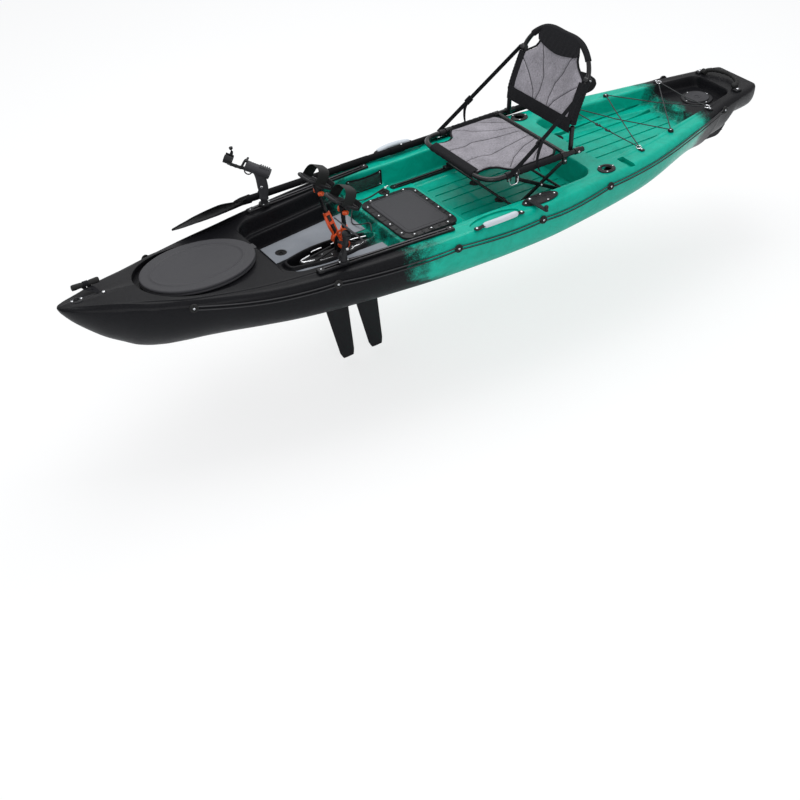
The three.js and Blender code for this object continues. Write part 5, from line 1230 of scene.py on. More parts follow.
upright_turn = turn_of(("X", np.pi / 2))
lever_x, lever_y, plate_x, plate_base = station(1.883), -0.34, station(1.936), 0.2583
lever_plate = stack(lambda grow: oval(plate_x, lever_y, 0.088 + grow, 0.036 + grow, 56),
    mm([(-1, 0), (0, 1), (0, 3.6), (-1.8, 5.2), (-5, 5.2), (-6.8, 3.4), (-15, 3.4), (-16.8, 4.6), (-30, 5)]),
    plate_base)
lever_hub = spun((lever_x, lever_y, plate_base + 0.004), (0, 0, 1),
    mm([(0, 18), (4, 18), (6, 16.5), (7.2, 12)]))
place_piece("steering_base", together(lever_plate, lever_hub), black_plastic, stands_for="steering_plate")
screws("steering_base_screws", [(plate_x + a, lever_y + b, plate_base + 0.0038)
    for a, b in mm(((72, 0), (-72, 0), (20, 27), (20, -27)))], radius=0.0046)
arm_low = plate_base + 0.0113
arm_ring = rounded(mm([(-14.5, 14.5), (-8, -118), (8, -118), (14.5, 14.5)]), 0.012) + (lever_x, lever_y)
arm_rib = tube([(lever_x, lever_y - 0.016, arm_low + 0.006), (lever_x, lever_y - 0.104, arm_low + 0.006)],
               [0.0045, 0.0032], 8, flat=0.5)
knob = spun((lever_x, lever_y - 0.11, arm_low + 0.003), (0, 0, 1),
    mm([(0, 7), (6, 6.8), (10, 8), (16, 9.2), (20, 8.6), (22.5, 6)]))
place_piece("steering_arm", together(slab(arm_ring, 0.006, 0.0014, arm_low), arm_rib, knob), black_plastic,
    "lever", stands_for="steering_lever")
screws("steering_arm_screw", [(lever_x, lever_y, arm_low + 0.006)], "lever", radius=0.0062)

blade_ring = rounded(mm([(3088, 4), (3240, 4), (3283, 48), (3300, 132), (3216, 126), (3152, 47), (3088, 28)]),
    0.02) - (length / 2, 0)
rudder_ribs = [tube([(station(a), side * 0.0052, z), (station(b), side * 0.0052, z + 0.004)], 0.0026, 8)
    for a, b, z in mm(((3120, 3262, 26), (3158, 3276, 46), (3184, 3284, 68), (3200, 3288, 90),
    (3216, 3290, 112))) for side in both]
rudder_stock = spun((station(3.236), 0, 0.048), (0, 0, 1), mm(
    [(0, 7.5), (4, 9), (80, 9), (82, 12.5), (92, 12.5), (94, 8.6), (146, 8.6), (148, 7)]))
place_piece("rudder_leaf", together(posed(slab(blade_ring, 0.0104, 0.0028, -0.0052), upright_turn),
    *rudder_ribs, rudder_stock), black_plastic, "rudder", stands_for="rudder_blade")

# Carry handles
# A soft pale grip on a black strap at each side, a toggle on webbing at the bow beside a pad eye,
# and a curved rubber bar across the stern.

grip_finish = fitting_plastic("grip", (0.46, 0.5, 0.54), (0.6, 0.64, 0.68), 0.42, 320.0)
for name, side in sides:
    t = np.linspace(0, 1, 36)
    arch = np.sin(np.pi * t)
    grip_path = np.stack([station(1.617 + 0.163 * t), side * (0.3935 + 0.0075 * arch), 0.2705 + 0.004 * arch],
        -1)
    fullness = 0.0132 * (1 - 0.34 * np.abs(2 * t - 1) ** 18)
    place_piece(f"side_grip_{name}", tube(grip_path, fullness, 20, flat=0.9), grip_finish, f"handle_{name}",
                stands_for=f"side_handle_{name}")
    strap_row = mm([(1580, 386, 262.2), (1596, 387, 262.4), (1606, 389.5, 265), (1622, 394, 270.5),
        (1698.5, 401, 274), (1775, 394, 270.5), (1791, 389.5, 265), (1801, 387, 262.4), (1817, 386, 262.2)])
    strap_path = flowing(from_bow(strap_row, side), 60)
    strap_width = np.interp(np.arange(60), [0, 4, 12, 47, 55, 59],
        [0.009, 0.0145, 0.012, 0.012, 0.0145, 0.009])
    place_piece(f"side_strap_tabs_{name}", tube(strap_path, strap_width, 14, flat=0.24), rubber,
        f"handle_{name}")
    ends = [(station(x), side * 0.3865, 0.2648) for x in (1.59, 1.807)]
    screws(f"side_handle_screws_{name}", ends, radius=0.0058)

toggle_top = gunwale_at(0.083) + 0.025
toggle_start = (station(0.083), 0.056, toggle_top)
toggle = spun(toggle_start, (1, 0, 0), mm([(0, 8), (1.5, 10.8), (10, 11.8), (20, 11.2), (36, 10.6), (40, 9.4),
    (68, 9.4), (72, 10.6), (88, 11.2), (98, 11.8), (106.5, 10.8), (108, 8)]), 20)
place_piece("bow_toggle_grip", toggle, rubber, "bow_toggle", stands_for="bow_handle")
bow_deck = gunwale_at(0.182)
band_ends = [(0.127, 0.056, toggle_top - 0.0112), (0.147, 0.056, toggle_top - 0.0112)]
bands = [tube(flowing([(station(x), y, z), (station(x + 0.012), 0.034, bow_deck + 0.016),
    (station(0.172 + dx), 0.01, bow_deck + 0.0052), (station(0.19 + dx), -0.005, bow_deck + 0.0042)], 24),
    0.0085, 10, flat=0.16) for (x, y, z), dx in zip(band_ends, (0.002, -0.002))]
wrap = spun((station(0.1275), 0.056, toggle_top), (1, 0, 0),
    mm([(0, 10), (0.5, 11.6), (19.5, 11.6), (20, 10)]), 20)
place_piece("bow_toggle_webbing", together(*bands, wrap), webbing, "bow_toggle")
screws("bow_toggle_screw", [(station(0.183), 0.001, bow_deck + 0.0058)], radius=0.0066)
eye_base = gunwale_at(0.05) + 0.0009
eye_plate = stack(lambda grow: oval(station(0.078), 0, 0.028 + grow, 0.017 + grow, 40),
    mm([(0, -4), (0, 2), (-2, 4), (-6, 5.2)]), eye_base)
arch_turn = np.linspace(0, np.pi, 20)
eye_arch = tube(np.stack([station(0.078) + 0.0085 * np.cos(arch_turn), 0 * arch_turn,
                          eye_base + 0.004 + 0.0085 * np.sin(arch_turn)], -1), 0.0034, 10, up=(0, 1, 0))
place_piece("bow_pad_eye", together(eye_plate, eye_arch), black_plastic, stands_for="bow_fitting")
screws("bow_pad_eye_screws", [(station(0.078 + a), 0, eye_base + 0.0044) for a in (-0.018, 0.018)],
    radius=0.0048)

stern_x, stern_top = station(3.23), gunwale_at(3.23)
bar_path = flowing(mm([(0, -100, 13), (22, -90, 17), (42, -62, 20), (58, 0, 20), (42, 62, 20), (22, 90, 17),
    (0, 100, 13)]) + (stern_x, 0, stern_top), 90)
bar_share = np.linspace(-1, 1, 90)
bar_size = 0.01 + 0.0011 * np.sin(bar_share * 46) * (np.abs(bar_share) < 0.62)
stern_ends = [spun((stern_x, side * 0.086, stern_top + 0.013), (0, side, 0),
    mm([(0, 8), (2, 11.6), (22, 12.6), (26, 10)]), 20) for side in both]
place_piece("stern_bar", together(tube(bar_path, bar_size, 16), *stern_ends), rubber, "stern_bar",
            stands_for="stern_handle")
stern_feet = [block((stern_x - 0.006, side * 0.124, stern_top + 0.0045), (0.017, 0.013, 0.0045), 0.002)
    for side in both]
place_piece("stern_bar_feet", together(*stern_feet), black_plastic)
screws("stern_bar_screws", [(stern_x - 0.006, side * 0.125, stern_top + 0.009) for side in both],
    radius=0.0062)

# Pedal drive
# A black housing hung in the well on two bright plates, with orange crank arms and black pedals
# above and two flexible fins that swing under the hull.

orange, orange_tree, orange_shader = new_finish("orange", (0.8, 0.1, 0.02), 0.38)
orange_relief = put(orange_tree, "ShaderNodeGroup", {"Scale": 240.0, "Pits": 0.3}, node_tree=moulded)
feed(orange_tree, orange_shader, Base_Color=blend_colour(orange_tree, orange_relief.outputs[1],
    (0.62, 0.055, 0.009), (0.92, 0.125, 0.022)))
bump(orange_tree, orange_shader, orange_relief.outputs[0], 0.3, 0.0004)
brushed = noise(steel_tree, drawn_out(steel_tree, own_place(steel_tree), (30.0, 500.0, 500.0)), 3.0, 3.0)
feed(steel_tree, steel_shader, Roughness=ranged(steel_tree, brushed, 0.3, 0.7, 0.16, 0.32))
frame_black = fitting_plastic("frame_black", (0.004, 0.004, 0.005), (0.009, 0.009, 0.01), 0.22, 40.0, 0.0002,
    0.3)
shaft_x, shaft_z = station(1.188), 0.168
housing_ring = rounded(mm([(1004, -24), (1034, -30), (1232, -30), (1322, -10), (1322, 10), (1232, 30),
    (1034, 30), (1004, 24)]), 0.01) - (length / 2, 0)
housing = stack(lambda grow: grown(housing_ring, grow), mm([(-6, 44), (-1, 50), (0, 60), (0, 108), (-2, 113),
    (-2, 119), (0.5, 121), (0.5, 125), (-2.5, 128)]))
hangers = [block((station(x) + end * 0.0276, 0, 0.03), (0.0024, 0.014, 0.021), 0.001, corner=0.002)
           for x in (1.136, 1.276) for end in (-1, 1)]
cheeks = [posed(slab(rounded(mm([(-24, -45), (24, -45), (21, 12), (10, 24), (-10, 24), (-21, 12)]), 0.012),
    0.005, 0.001, -0.0025), upright_turn, (shaft_x, side * 0.01, shaft_z)) for side in both]
struts = [tube([(station(a), side * 0.018, 0.126), (station(b), side * 0.012, 0.15)], [0.0055, 0.004], 8)
          for a, b in ((1.05, 1.15), (1.27, 1.225)) for side in both]
place_piece("drive_housing", together(housing, *hangers, *cheeks, *struts), black_plastic,
            stands_for="drive_frame")
strip_height = 0.1375
front_strip = mm([(1053, 21.5), (1030, 15), (1010, 8.5), (1006, 0), (1010, -8.5), (1030, -15), (1053, -21.5)])
side_strips = [mm([(1070, 38), (1086, 43), (1122, 45.5)]), mm(
    [(1166, 45.5), (1205, 45), (1236, 28), (1268, 25.5), (1315, 15)])]
strip_runs = [front_strip] + [[(x, side * y) for x, y in run] for run in side_strips for side in both]
strips = []
for run in strip_runs:
    path = flowing([(station(x), y, strip_height) for x, y in run], 12 * len(run))
    strips.append(tube(path, 0.0034, 8, flat=0.6, up=(0, 0, 1)))
strip_feet = [tube([(station(x), y, 0.118), (station(x), y, strip_height)], 0.0026, 8)
    for x, y in mm(((1030, 15), (1030, -15), (1100, 0), (1268, 25.5), (1268, -25.5)))]
side_feet = [tube([(station(x), side * 0.03, 0.11), (station(x), side * 0.0445, 0.122),
    (station(x), side * 0.045, strip_height)], 0.0026, 8) for x in (1.11, 1.19) for side in both]
place_piece("drive_mounts", together(*strips, *strip_feet, *side_feet), steel)
screws("drive_mount_screws", [(station(x), y, 0.1275) for x, y in mm(
    ((1045, 0), (1140, 12), (1140, -12), (1235, 12), (1235, -12), (1290, 0)))], radius=0.0042)
place_piece("crank_axle", spun((shaft_x, -0.0458, shaft_z), (0, 1, 0),
    mm([(0, 6), (1.5, 7.8), (5, 7.9), (86.6, 7.9), (90.1, 7.8), (91.6, 6)])), steel, stands_for="drive_shaft")

pad_x, pad_z, pad_y = station(1.15), 0.396, 0.104
pad_turn = turn_of(("Y", 0.62))
for name, side in sides:
    hub_rows = mm([(0, 20), (2, 23.8), (10, 24), (12, 20.5), (18, 20.5), (20, 23.2), (23.5, 22.2)])
    hub = spun((shaft_x, side * 0.0165, shaft_z), (0, side, 0), hub_rows, 32)
    start = np.array([shaft_x, side * 0.03, shaft_z + 0.012])
    knee = np.array([(shaft_x + pad_x) / 2, side * 0.073, (shaft_z + pad_z) / 2])
    head = np.array([pad_x, side * pad_y, pad_z])
    arm_path = flowing([start, start + (knee - start) * 0.5, knee, knee + (head - knee) * 0.55, head], 40)
    place = np.linspace(0, 1, 40)
    arm_size = 0.0098 - 0.0022 * np.sin(np.pi * place) + 0.0016 * np.exp(-((place - 0.5) / 0.06) ** 2)
    prong = flowing([start + (-0.016, 0, 0.016), start + (-0.03, side * 0.004, 0.052),
        arm_path[15] + (-0.012, 0, 0)], 24)
    fork = [tube(arm_path[:17] + (s * 0.0105, 0, 0), 0.0056, 10) for s in (-1, 1)]
    bands = [tube(arm_path[i:i + 3], 0.015, 16, flat=0.85, up=(0, side, 0)) for i in (9, 16)]
    place_piece(f"crank_arm_{name}", together(hub, *fork, *bands, tube(prong, 0.0052, 10)), orange,
                f"crank_{name[0]}", stands_for=f"crank_{name}")
    place_piece(f"crank_tube_{name}", tube(arm_path[1:], arm_size[1:] + 0.0012, 16, flat=0.85,
        up=(0, side, 0)), frame_black, f"crank_{name[0]}")
    clamp = tube([head + (knee - head) * 0.34, head + (knee - head) * 0.05], [0.0128, 0.0128], 14)
    bolt = spun(head - (0, side * 0.052, 0), (0, side, 0), mm([(0, 4.5), (2, 6.2), (102, 6.2), (104, 4.5)]))
    cap = spun((shaft_x, side * 0.038, shaft_z), (0, side, 0), mm([(0, 15), (5, 15), (6.5, 13.5)]), 28)
    place_piece(f"crank_clamp_{name}", together(clamp, bolt, cap), black_plastic, f"crank_{name[0]}")
    knob_spots = [head + (knee - head) * 0.3 + (0.0, side * s, 0.0) for s in (0.02, -0.02)]
    place_piece(f"crank_knobs_{name}", together(*[spun(spot, (0.6, side * s, 0.4),
        mm([(-10, 7), (-8, 9.6), (8, 10.2), (11, 8)])) for spot, s in zip(knob_spots, (1, -1))]), orange,
        f"crank_{name[0]}")
    # The pedal: a cleated sole with a heel cup, and a broad strap over the foot with a buckle.
    sole = stack(oblong(0, 0, 0.078, 0.052, 0.044, 9), mm([(-3, -6), (0, -3), (0, 3), (-2.5, 6), (-8, 6),
        (-9, 4.5)]))
    cleats = [block((x, 0, 0.0055), (0.0028, 0.036, 0.0028), 0.001, corner=0.002)
              for x in np.linspace(-0.055, 0.055, 9)]
    turn = np.linspace(-0.5 * np.pi, 0.5 * np.pi, 24)
    cup = sheet_of(np.stack([np.stack([0.052 + 0.024 * np.cos(turn), 0.047 * np.sin(turn), np.full(24, z)],
        -1) for z in (0.004, 0.016, 0.026)]), 0.003, (1, 0, 0))
    pedal_place = (pad_x, side * pad_y, pad_z + 0.012)
    place_piece(f"pedal_{name}", together(*[posed(part, pad_turn, pedal_place)
        for part in (sole, *cleats, cup)]), black_plastic, f"pad_{name[0]}", stands_for=f"foot_pad_{name}")
    bow_turn = np.linspace(0, np.pi, 30)
    band = np.stack([0 * bow_turn, -0.0485 * np.sign(np.cos(bow_turn)) * np.abs(np.cos(bow_turn)) ** 0.55,
                     0.06 * np.sin(bow_turn) ** 0.75], -1)
    foot_band = band_strip(band * (1, 1.04, 1.04) - (0.01, 0, 0), (0.94, 0.3, 0.1), 0.036, 0.0026)
    place_piece(f"pedal_strap_{name}", posed(foot_band, pad_turn, pedal_place), rubber, f"pad_{name[0]}")

# The fins: a steel mast in a rubber blade with a thick leading edge and thin trailing edge.
fin_rubber = fitting_plastic("fin_rubber", (0.006, 0.006, 0.007), (0.016, 0.016, 0.018), 0.55, 420.0)
for name, x in (("front", 1.136), ("rear", 1.276)):
    levels = np.linspace(0, 1, 26)
    z = -0.036 + levels * (-0.398 + 0.036)
    lead = np.interp(levels, [0, 0.93, 1], [x - 0.0615, x + 0.014, x + 0.028])
    trail = np.interp(levels, [0, 0.06, 0.93, 1], [x + 0.06, x + 0.0615, x + 0.0815, x + 0.078])
    share = np.concatenate([np.linspace(0, 1, 18) ** 1.5, np.linspace(1, 0, 18)[1:-1] ** 1.5])
    cheek = np.concatenate([np.ones(18), -np.ones(16)])
    belly = 2.6 * np.sqrt(share) * (1 - share) * (1 - 0.35 * share)
    half_thick = np.interp(levels, [0, 0.55, 0.6, 1], [0.0093, 0.0085, 0.007, 0.003])
    rib = 1 + 0.05 * np.sin(levels * 60) * (levels > 0.5)
    rings = np.stack([station(lead[:, None] + (trail - lead)[:, None] * share),
                      cheek * np.minimum(belly, 1)[None, :] * (half_thick * rib)[:, None] + cheek * 0.0006,
                      np.broadcast_to(z[:, None], (26, len(share)))], -1)
    blade = skin(rings)
    collar = spun((station(x), 0, -0.044), (0, 0, 1), mm([(0, 10.8), (12, 11.2), (16, 9.6)]))
    place_piece(f"fin_leaf_{name}", together(blade, collar), fin_rubber, f"{name}_fin",
        stands_for=f"fin_{name}")
    post = spun((station(x), 0, -0.2345), (0, 0, 1), mm([(0, 4), (2, 5.8), (250, 5.8), (252, 4.8)]))
    drum = spun((station(x) - 0.0244, 0, 0.022), (1, 0, 0), mm(
        [(0, 15), (2, 18.8), (14, 19), (16, 16), (32.8, 16), (34.8, 19), (46.8, 18.8), (48.8, 15)]), 32)
    place_piece(f"fin_post_{name}", together(post, drum), steel, f"{name}_fin", stands_for=f"fin_mast_{name}")

# Seat
# A folding seat of bent black tube: the cushion and back panel are padded grey fabric sewn to black
# sleeves on the tubes, with webbing straps from the frame to the back's joints.


def bent(points, radius, count=8):
    """An open route through points whose inner corners are turned by quadratic curves."""
    points = np.asarray(points, float)
    parts = [points[:1]]
    t = np.linspace(0, 1, count)[:, None]
    for before, corner, after in zip(points[:-2], points[1:-1], points[2:]):
        first, last = before - corner, after - corner
        start = corner + first * min(radius / np.linalg.norm(first), 0.48)
        end = corner + last * min(radius / np.linalg.norm(last), 0.48)
        parts.append((1 - t) ** 2 * start + 2 * t * (1 - t) * corner + t ** 2 * end)
    return np.concatenate(parts + [points[-1:]])


fabric, fabric_tree, fabric_shader = new_finish("seat_fabric", (0.33, 0.32, 0.35), 0.88)
fabric_place = own_place(fabric_tree)
heather = [noise(fabric_tree, drawn_out(fabric_tree, fabric_place, stretch), 1.0, 3.0, 0.7)
           for stretch in ((90.0, 900.0, 90.0), (900.0, 110.0, 700.0))]
weave = math(fabric_tree, "MULTIPLY_ADD", heather[0], 0.5, math(fabric_tree, "MULTIPLY", heather[1], 0.5))
soiling = noise(fabric_tree, fabric_place, 11.0, 5.0)
shade = math(fabric_tree, "MULTIPLY_ADD", soiling, 0.7,
             math(fabric_tree, "MULTIPLY_ADD", weave, 3.4, -1.56), clamp=True)
feed(fabric_tree, fabric_shader, Base_Color=blend_colour(fabric_tree, shade, (0.085, 0.08, 0.09),
    (0.4, 0.378, 0.415)))
bump(fabric_tree, fabric_shader, weave, 0.7, 0.0012)

seat_z, seat_half, seat_front, seat_rear = 0.352, 0.24, 1.742, 2.236
tube_radius = 0.011
seat_route = from_bow([(seat_rear, -seat_half, seat_z), (seat_front, -seat_half, seat_z),
                       (seat_front, seat_half, seat_z), (seat_rear, seat_half, seat_z)])
plane_front, plane_rear, leg_low, leg_high = 0.25, 0.2418, 0.19, 0.33
leg_front_x, leg_rear_x = 1.884, 2.136
seat_lugs = [block((station(x), side * (plane + 0.00555), (seat_z + leg_high) / 2 - 0.006),
    (0.01, 0.00175, 0.021), 0.0006, corner=0.0015) for x, plane in ((leg_front_x, plane_front),
    (leg_rear_x, plane_rear)) for side in both]
seat_collars = [tube([(station(x - 0.014), side * seat_half, seat_z),
    (station(x + 0.014), side * seat_half, seat_z)], 0.0142, 16) for x in (leg_front_x, leg_rear_x, 2.205)
    for side in both]
place_piece("seat_tube", together(tube(bent(seat_route, 0.086, 12), tube_radius, 20),
    tube([(station(2.148), y, seat_z) for y in (-seat_half, seat_half)], 0.0088, 16), *seat_lugs,
    *seat_collars), frame_black, "seat", stands_for="seat_base_frame")
loops = [tube(bent(from_bow(mm([(1836, 262, 348), (1842, 266, 318), (1878, 266, 318), (1884, 262, 348)]),
    side), 0.01, 6), 0.0021, 8) for side in both]
place_piece("seat_latch_loops", together(*loops), steel, "seat")
rivets = [((station(x), side * (plane + 0.0072), leg_high), (0, side, 0)) for x, plane in (
    (leg_front_x, plane_front), (leg_rear_x, plane_rear)) for side in both]
rivets += [((station(x), side * (seat_half + 0.0135), seat_z), (0, side, 0.25)) for x in (leg_front_x, 2.205)
    for side in both]
screws("seat_tube_rivets", [spot for spot, _ in rivets], "seat", ways=[way for _, way in rivets],
    radius=0.005)
sleeve_runs = [from_bow([(seat_front, -0.15, seat_z), (seat_front, 0.15, seat_z)])]
sleeve_runs += [from_bow([(1.905, seat_half, seat_z), (2.118, seat_half, seat_z)], side) for side in both]
sleeves = []
for run in sleeve_runs:
    run = evenly(run, 0.006)
    place = np.linspace(0, 1, len(run))
    sleeves.append(tube(run, 0.014 + 0.0006 * np.sin(place * 47) - 0.001 * (np.abs(2 * place - 1) > 0.97),
        16))
place_piece("seat_sleeves", together(*sleeves), webbing, "seat")


def seamed(across, along, seams, width):
    """How deep the sewn seams press in: the strongest of narrow bell curves round each seam, whose
    place across is read from its table of (along, across) at each row."""
    depth = np.zeros(np.broadcast(across, along).shape)
    for rows in seams:
        at, place = np.array(rows, float).T
        depth = np.maximum(depth, np.exp(-((across - np.interp(along, at, place)) / width) ** 2)
                           * ((along >= at[0]) & (along <= at[-1])))
    return depth


def padded_panel(place_at, half_wide, rows, columns, plump, back_plump, seams, ripple):
    """A padded panel as one closed grid: each row goes over the face from edge to edge and back
    under it. place_at(along, across distance) gives (point, outward way) of its middle sheet."""
    along = np.linspace(0, 1, rows)[:, None]
    t = np.sin(np.linspace(-np.pi / 2, np.pi / 2, columns))[None, :]
    wide = half_wide(along)
    end = np.sin(np.pi * np.clip(along, 0.004, 0.996)) ** 0.28
    edge = (1 - np.abs(t) ** 7) ** 0.5
    sunk = seamed(t, along, seams, 0.022)
    swell = plump * (0.22 + 0.78 * edge * end) * (1 - 0.62 * sunk) + ripple(along, t) * edge * end
    middle, way = place_at(along, t * wide)
    under = -back_plump * (0.22 + 0.78 * edge * end)
    face, back = middle + way * swell[..., None], middle + way * under[..., None]
    return skin(np.concatenate([face, back[:, ::-1]], 1))


def vertices_of(mesh):
    """The mesh's points as one array."""
    points = np.empty(len(mesh.vertices) * 3, np.float32)
    mesh.vertices.foreach_get("co", points)
    return points.reshape(-1, 3).astype(float)


def plumped(shape, cap, voxel=0.005):
    """A padded shape swollen by a cloth simulation: remeshed evenly, blown up from inside over 20
    frames without weight, no point moved past the cap, then smoothed by one subdivision."""
    mesh = bpy.data.meshes.new("plump")
    mesh.from_pydata(np.asarray(shape[0], float).tolist(), [], shape[1])
    made = bpy.data.objects.new("plump", mesh)
    bpy.context.scene.collection.objects.link(made)

    def settled():
        bpy.context.view_layer.update()
        made.data = bpy.data.meshes.new_from_object(made.evaluated_get(bpy.context.evaluated_depsgraph_get()))
        made.modifiers.clear()

    even = made.modifiers.new("even", "REMESH")
    even.mode, even.voxel_size = "VOXEL", voxel
    settled()
    start = vertices_of(made.data)
    cloth = made.modifiers.new("cloth", "CLOTH")
    cloth.settings.use_pressure, cloth.settings.uniform_pressure_force = True, 4.0
    cloth.settings.effector_weights.gravity = 0.0
    cloth.collision_settings.use_collision = False
    for moment in range(1, 21):
        bpy.context.scene.frame_set(moment)
    settled()
    moved = vertices_of(made.data) - start
    far = np.linalg.norm(moved, axis=1)[:, None]
    made.data.vertices.foreach_set("co", (start + moved * np.minimum(1, cap / np.maximum(far, 1e-9))).ravel())
    bpy.context.scene.frame_set(1)
    made.modifiers.new("fine", "SUBSURF").levels = 1
    settled()
    result = vertices_of(made.data), [tuple(face.vertices) for face in made.data.polygons]
    bpy.data.objects.remove(made)
    return result


def stitched(shape, locate, seams, width, depth):
    """Presses sewn seams into a padded shape's face; locate(points) gives each point's along and
    share across, its height over the middle sheet, and the way the face looks."""
    points = np.asarray(shape[0], float)
    along, share, height, way = locate(points)
    sunk = seamed(share, along, seams, width) * np.clip(height / 0.004, 0, 1)
    return points - way * np.minimum(sunk * depth, np.maximum(height * 0.75, 0))[:, None], shape[1]


def seam_threads(shape, place_at, half_wide, seams, radius=0.0011):
    """Dark stitching laid along the seams, dropped onto the padded face along its own way."""
    hit_tree = BVHTree.FromPolygons(np.asarray(shape[0]).tolist(), shape[1])
    threads = []
    for rows in seams:
        at, place = np.array(rows, float).T
        along = np.linspace(max(at[0], 0.03), min(at[-1], 0.97), 70)
        across = np.interp(along, at, place) * half_wide(along)
        point, way = place_at(along, across)
        way = np.broadcast_to(way, point.shape)
        spots = [hit_tree.ray_cast(Vector(a + b * 0.06), Vector(-b)) for a, b in zip(point, way)]
        spots = [np.array(hit[0]) + b * 0.0003 for hit, b in zip(spots, way) if hit[0] is not None]
        if len(spots) > 8:
            threads.append(tube(np.array(spots), radius, 6))
    return together(*threads)


def cushion_at(along, across):
    """The seat cushion's middle sheet: slung between the tubes, lowest under the sitter."""
    x = station(1.752 + along * 0.378) + 0 * across
    sag = 0.01 * (1 - (across / 0.23) ** 2) * np.sin(np.pi * np.clip(along, 0, 1))
    point = np.stack([x, across + 0 * along, 0.3585 - sag + 0 * x], -1)
    return point, np.array([0.0, 0.0, 1.0])


def cushion_half(along):
    """Its half width: narrow at the front bar, scooped out round the bare corners, full, and scooped
    again round the back's feet."""
    x = along * 0.378
    return np.interp(x, [0, 0.02, 0.05, 0.075, 0.1, 0.118, 0.135, 0.32, 0.35, 0.368, 0.378],
                     [0.158, 0.152, 0.147, 0.15, 0.166, 0.2, 0.222, 0.222, 0.216, 0.198, 0.184])


def on_cushion(points):
    """Where points lie on the cushion."""
    along = np.clip((points[:, 0] + length / 2 - 1.752) / 0.378, 0, 1)
    middle, way = cushion_at(along, points[:, 1])
    return along, points[:, 1] / cushion_half(along), points[:, 2] - middle[:, 2], way




def both_sides(*rows):
    """Seams of (along, across) shares, each with its mirror image."""
    return [np.array(row) * (1, side) for row in rows for side in both]


cushion_seams = both_sides([(0.0, 0.42), (0.3, 0.33), (0.65, 0.2), (1.0, 0.12)],
                           [(0.36, 0.92), (0.52, 0.66), (0.75, 0.42), (1.0, 0.3)],
                           [(0.66, 0.95), (0.8, 0.74), (1.0, 0.52)])
creases = lambda along, t: 0.0011 * (np.sin(t * 26 + along * 5 + 2.2 * np.sin(along * 9)) * 0.6
                                      + np.sin(t * 47 - along * 17 + 1.7 * np.sin(t * 5)) * 0.4)
pad_shape = plumped(padded_panel(cushion_at, cushion_half, 120, 110, 0.011, 0.006, [], creases), 0.005)
pad_shape = stitched(pad_shape, on_cushion, cushion_seams, 0.024, 0.0042)
cushion = place_piece("cushion", pad_shape, fabric, "seat", crease=60, stands_for="seat_pad")
place_piece("cushion_seams", seam_threads(pad_shape, cushion_at, cushion_half, cushion_seams), webbing,
    "seat")


def edge_tape(place_at, half_wide, count, lift, width):
    """Binding tape round a padded panel's edge."""
    along = np.linspace(0, 1, count)[:, None]
    left, right = (place_at(along, side * half_wide(along))[0][:, 0] for side in both)
    front = place_at(np.zeros((1, 1)), np.linspace(1, -1, 24)[None, :] * half_wide(np.zeros((1, 1))))[0][0]
    rear = place_at(np.ones((1, 1)), np.linspace(-1, 1, 24)[None, :] * half_wide(np.ones((1, 1))))[0][0]
    ring = evenly(np.concatenate([left, rear[1:-1], right[::-1], front[1:-1], left[:1]]), 0.006) + (0, 0,
        lift)
    return tube(ring, width, 10)


place_piece("cushion_tape", edge_tape(cushion_at, cushion_half, 60, 0.0005, 0.0042), webbing, "seat")
front_band = [[station(x), y, z] for x, z in ((1.7395, 0.3655), (1.75, 0.3684), (1.762, 0.3706),
    (1.766, 0.369)) for y in np.linspace(-0.15, 0.15, 30)]
place_piece("cushion_front_band", sheet_of(np.array(front_band).reshape(4, 30, 3), 0.0022, (0, 0, 1)),
    webbing, "seat")

back_stops = mm([(2188, 0, 352), (2203, 0, 477), (2281, 0, 661), (2325, 0, 766)])
back_run = flowing(back_stops, 160)
back_reach = reach(back_run) / reach(back_run)[-1]


def back_place(share, across):
    """A place on the back frame's own curved plane, and the way it faces."""
    x, z = (np.interp(share, back_reach, back_run[:, k]) for k in (0, 2))
    slope_x, slope_z = (np.interp(share, back_reach, np.gradient(back_run[:, k], back_reach)) for k in (0, 2))
    size = np.hypot(slope_x, slope_z)
    point = np.stack([station(x) + 0 * across, across + 0 * x, z + 0 * across], -1)
    way = np.stack([-slope_z / size + 0 * across, 0 * across + 0 * x, slope_x / size + 0 * across], -1)
    return point, way


back_half, back_tube = 0.216, 0.01
frame_shares = [[0, 1], [0.28, 1], [0.52, 1], [0.72, 0.99], [0.86, 0.86], [0.96, 0.62], [1, 0.36], [1, 0]]
upright_row = [back_place(share, -wide * back_half)[0] for share, wide in frame_shares]
mirror = np.array([1, -1, 1])
back_route = flowing(upright_row + [point * mirror for point in upright_row[-2::-1]], 150)
back_lower = [back_place(0.2, side * back_half)[0] for side in both]
pivot_pins = [tube([(station(2.188), side * 0.2285, 0.352), (station(2.188), side * back_half, 0.352)],
    0.0052, 12) for side in both]
joint_knuckles = [spun(back_place(0.7, side * (back_half - 0.001))[0] - (0, side * 0.0125, 0), (0, side, 0),
    mm([(0, 12), (2, 14.5), (24, 14.5), (27, 12)]), 24) for side in both]
place_piece("back_tube", together(tube(back_route, back_tube, 18, up=(0.2, 0, 1)),
    tube(back_lower, 0.008, 14), *pivot_pins, *joint_knuckles), frame_black, "backrest",
    stands_for="back_frame")
screws("back_knuckle_screws", [back_place(0.7, side * (back_half + 0.0145))[0] for side in both], "backrest",
       ways=[(0, side, 0) for side in both], radius=0.0058)


def panel_at(along, across):
    """The back panel's middle sheet, slung from the tubes and hollowed for the back."""
    share = 0.245 + along * 0.635
    point, way = back_place(share, across)
    hollow = 0.016 * (1 - (across / 0.2) ** 2) * np.sin(np.pi * np.clip(along * 1.05, 0, 1))
    return point + way * (0.004 - hollow)[..., None], way


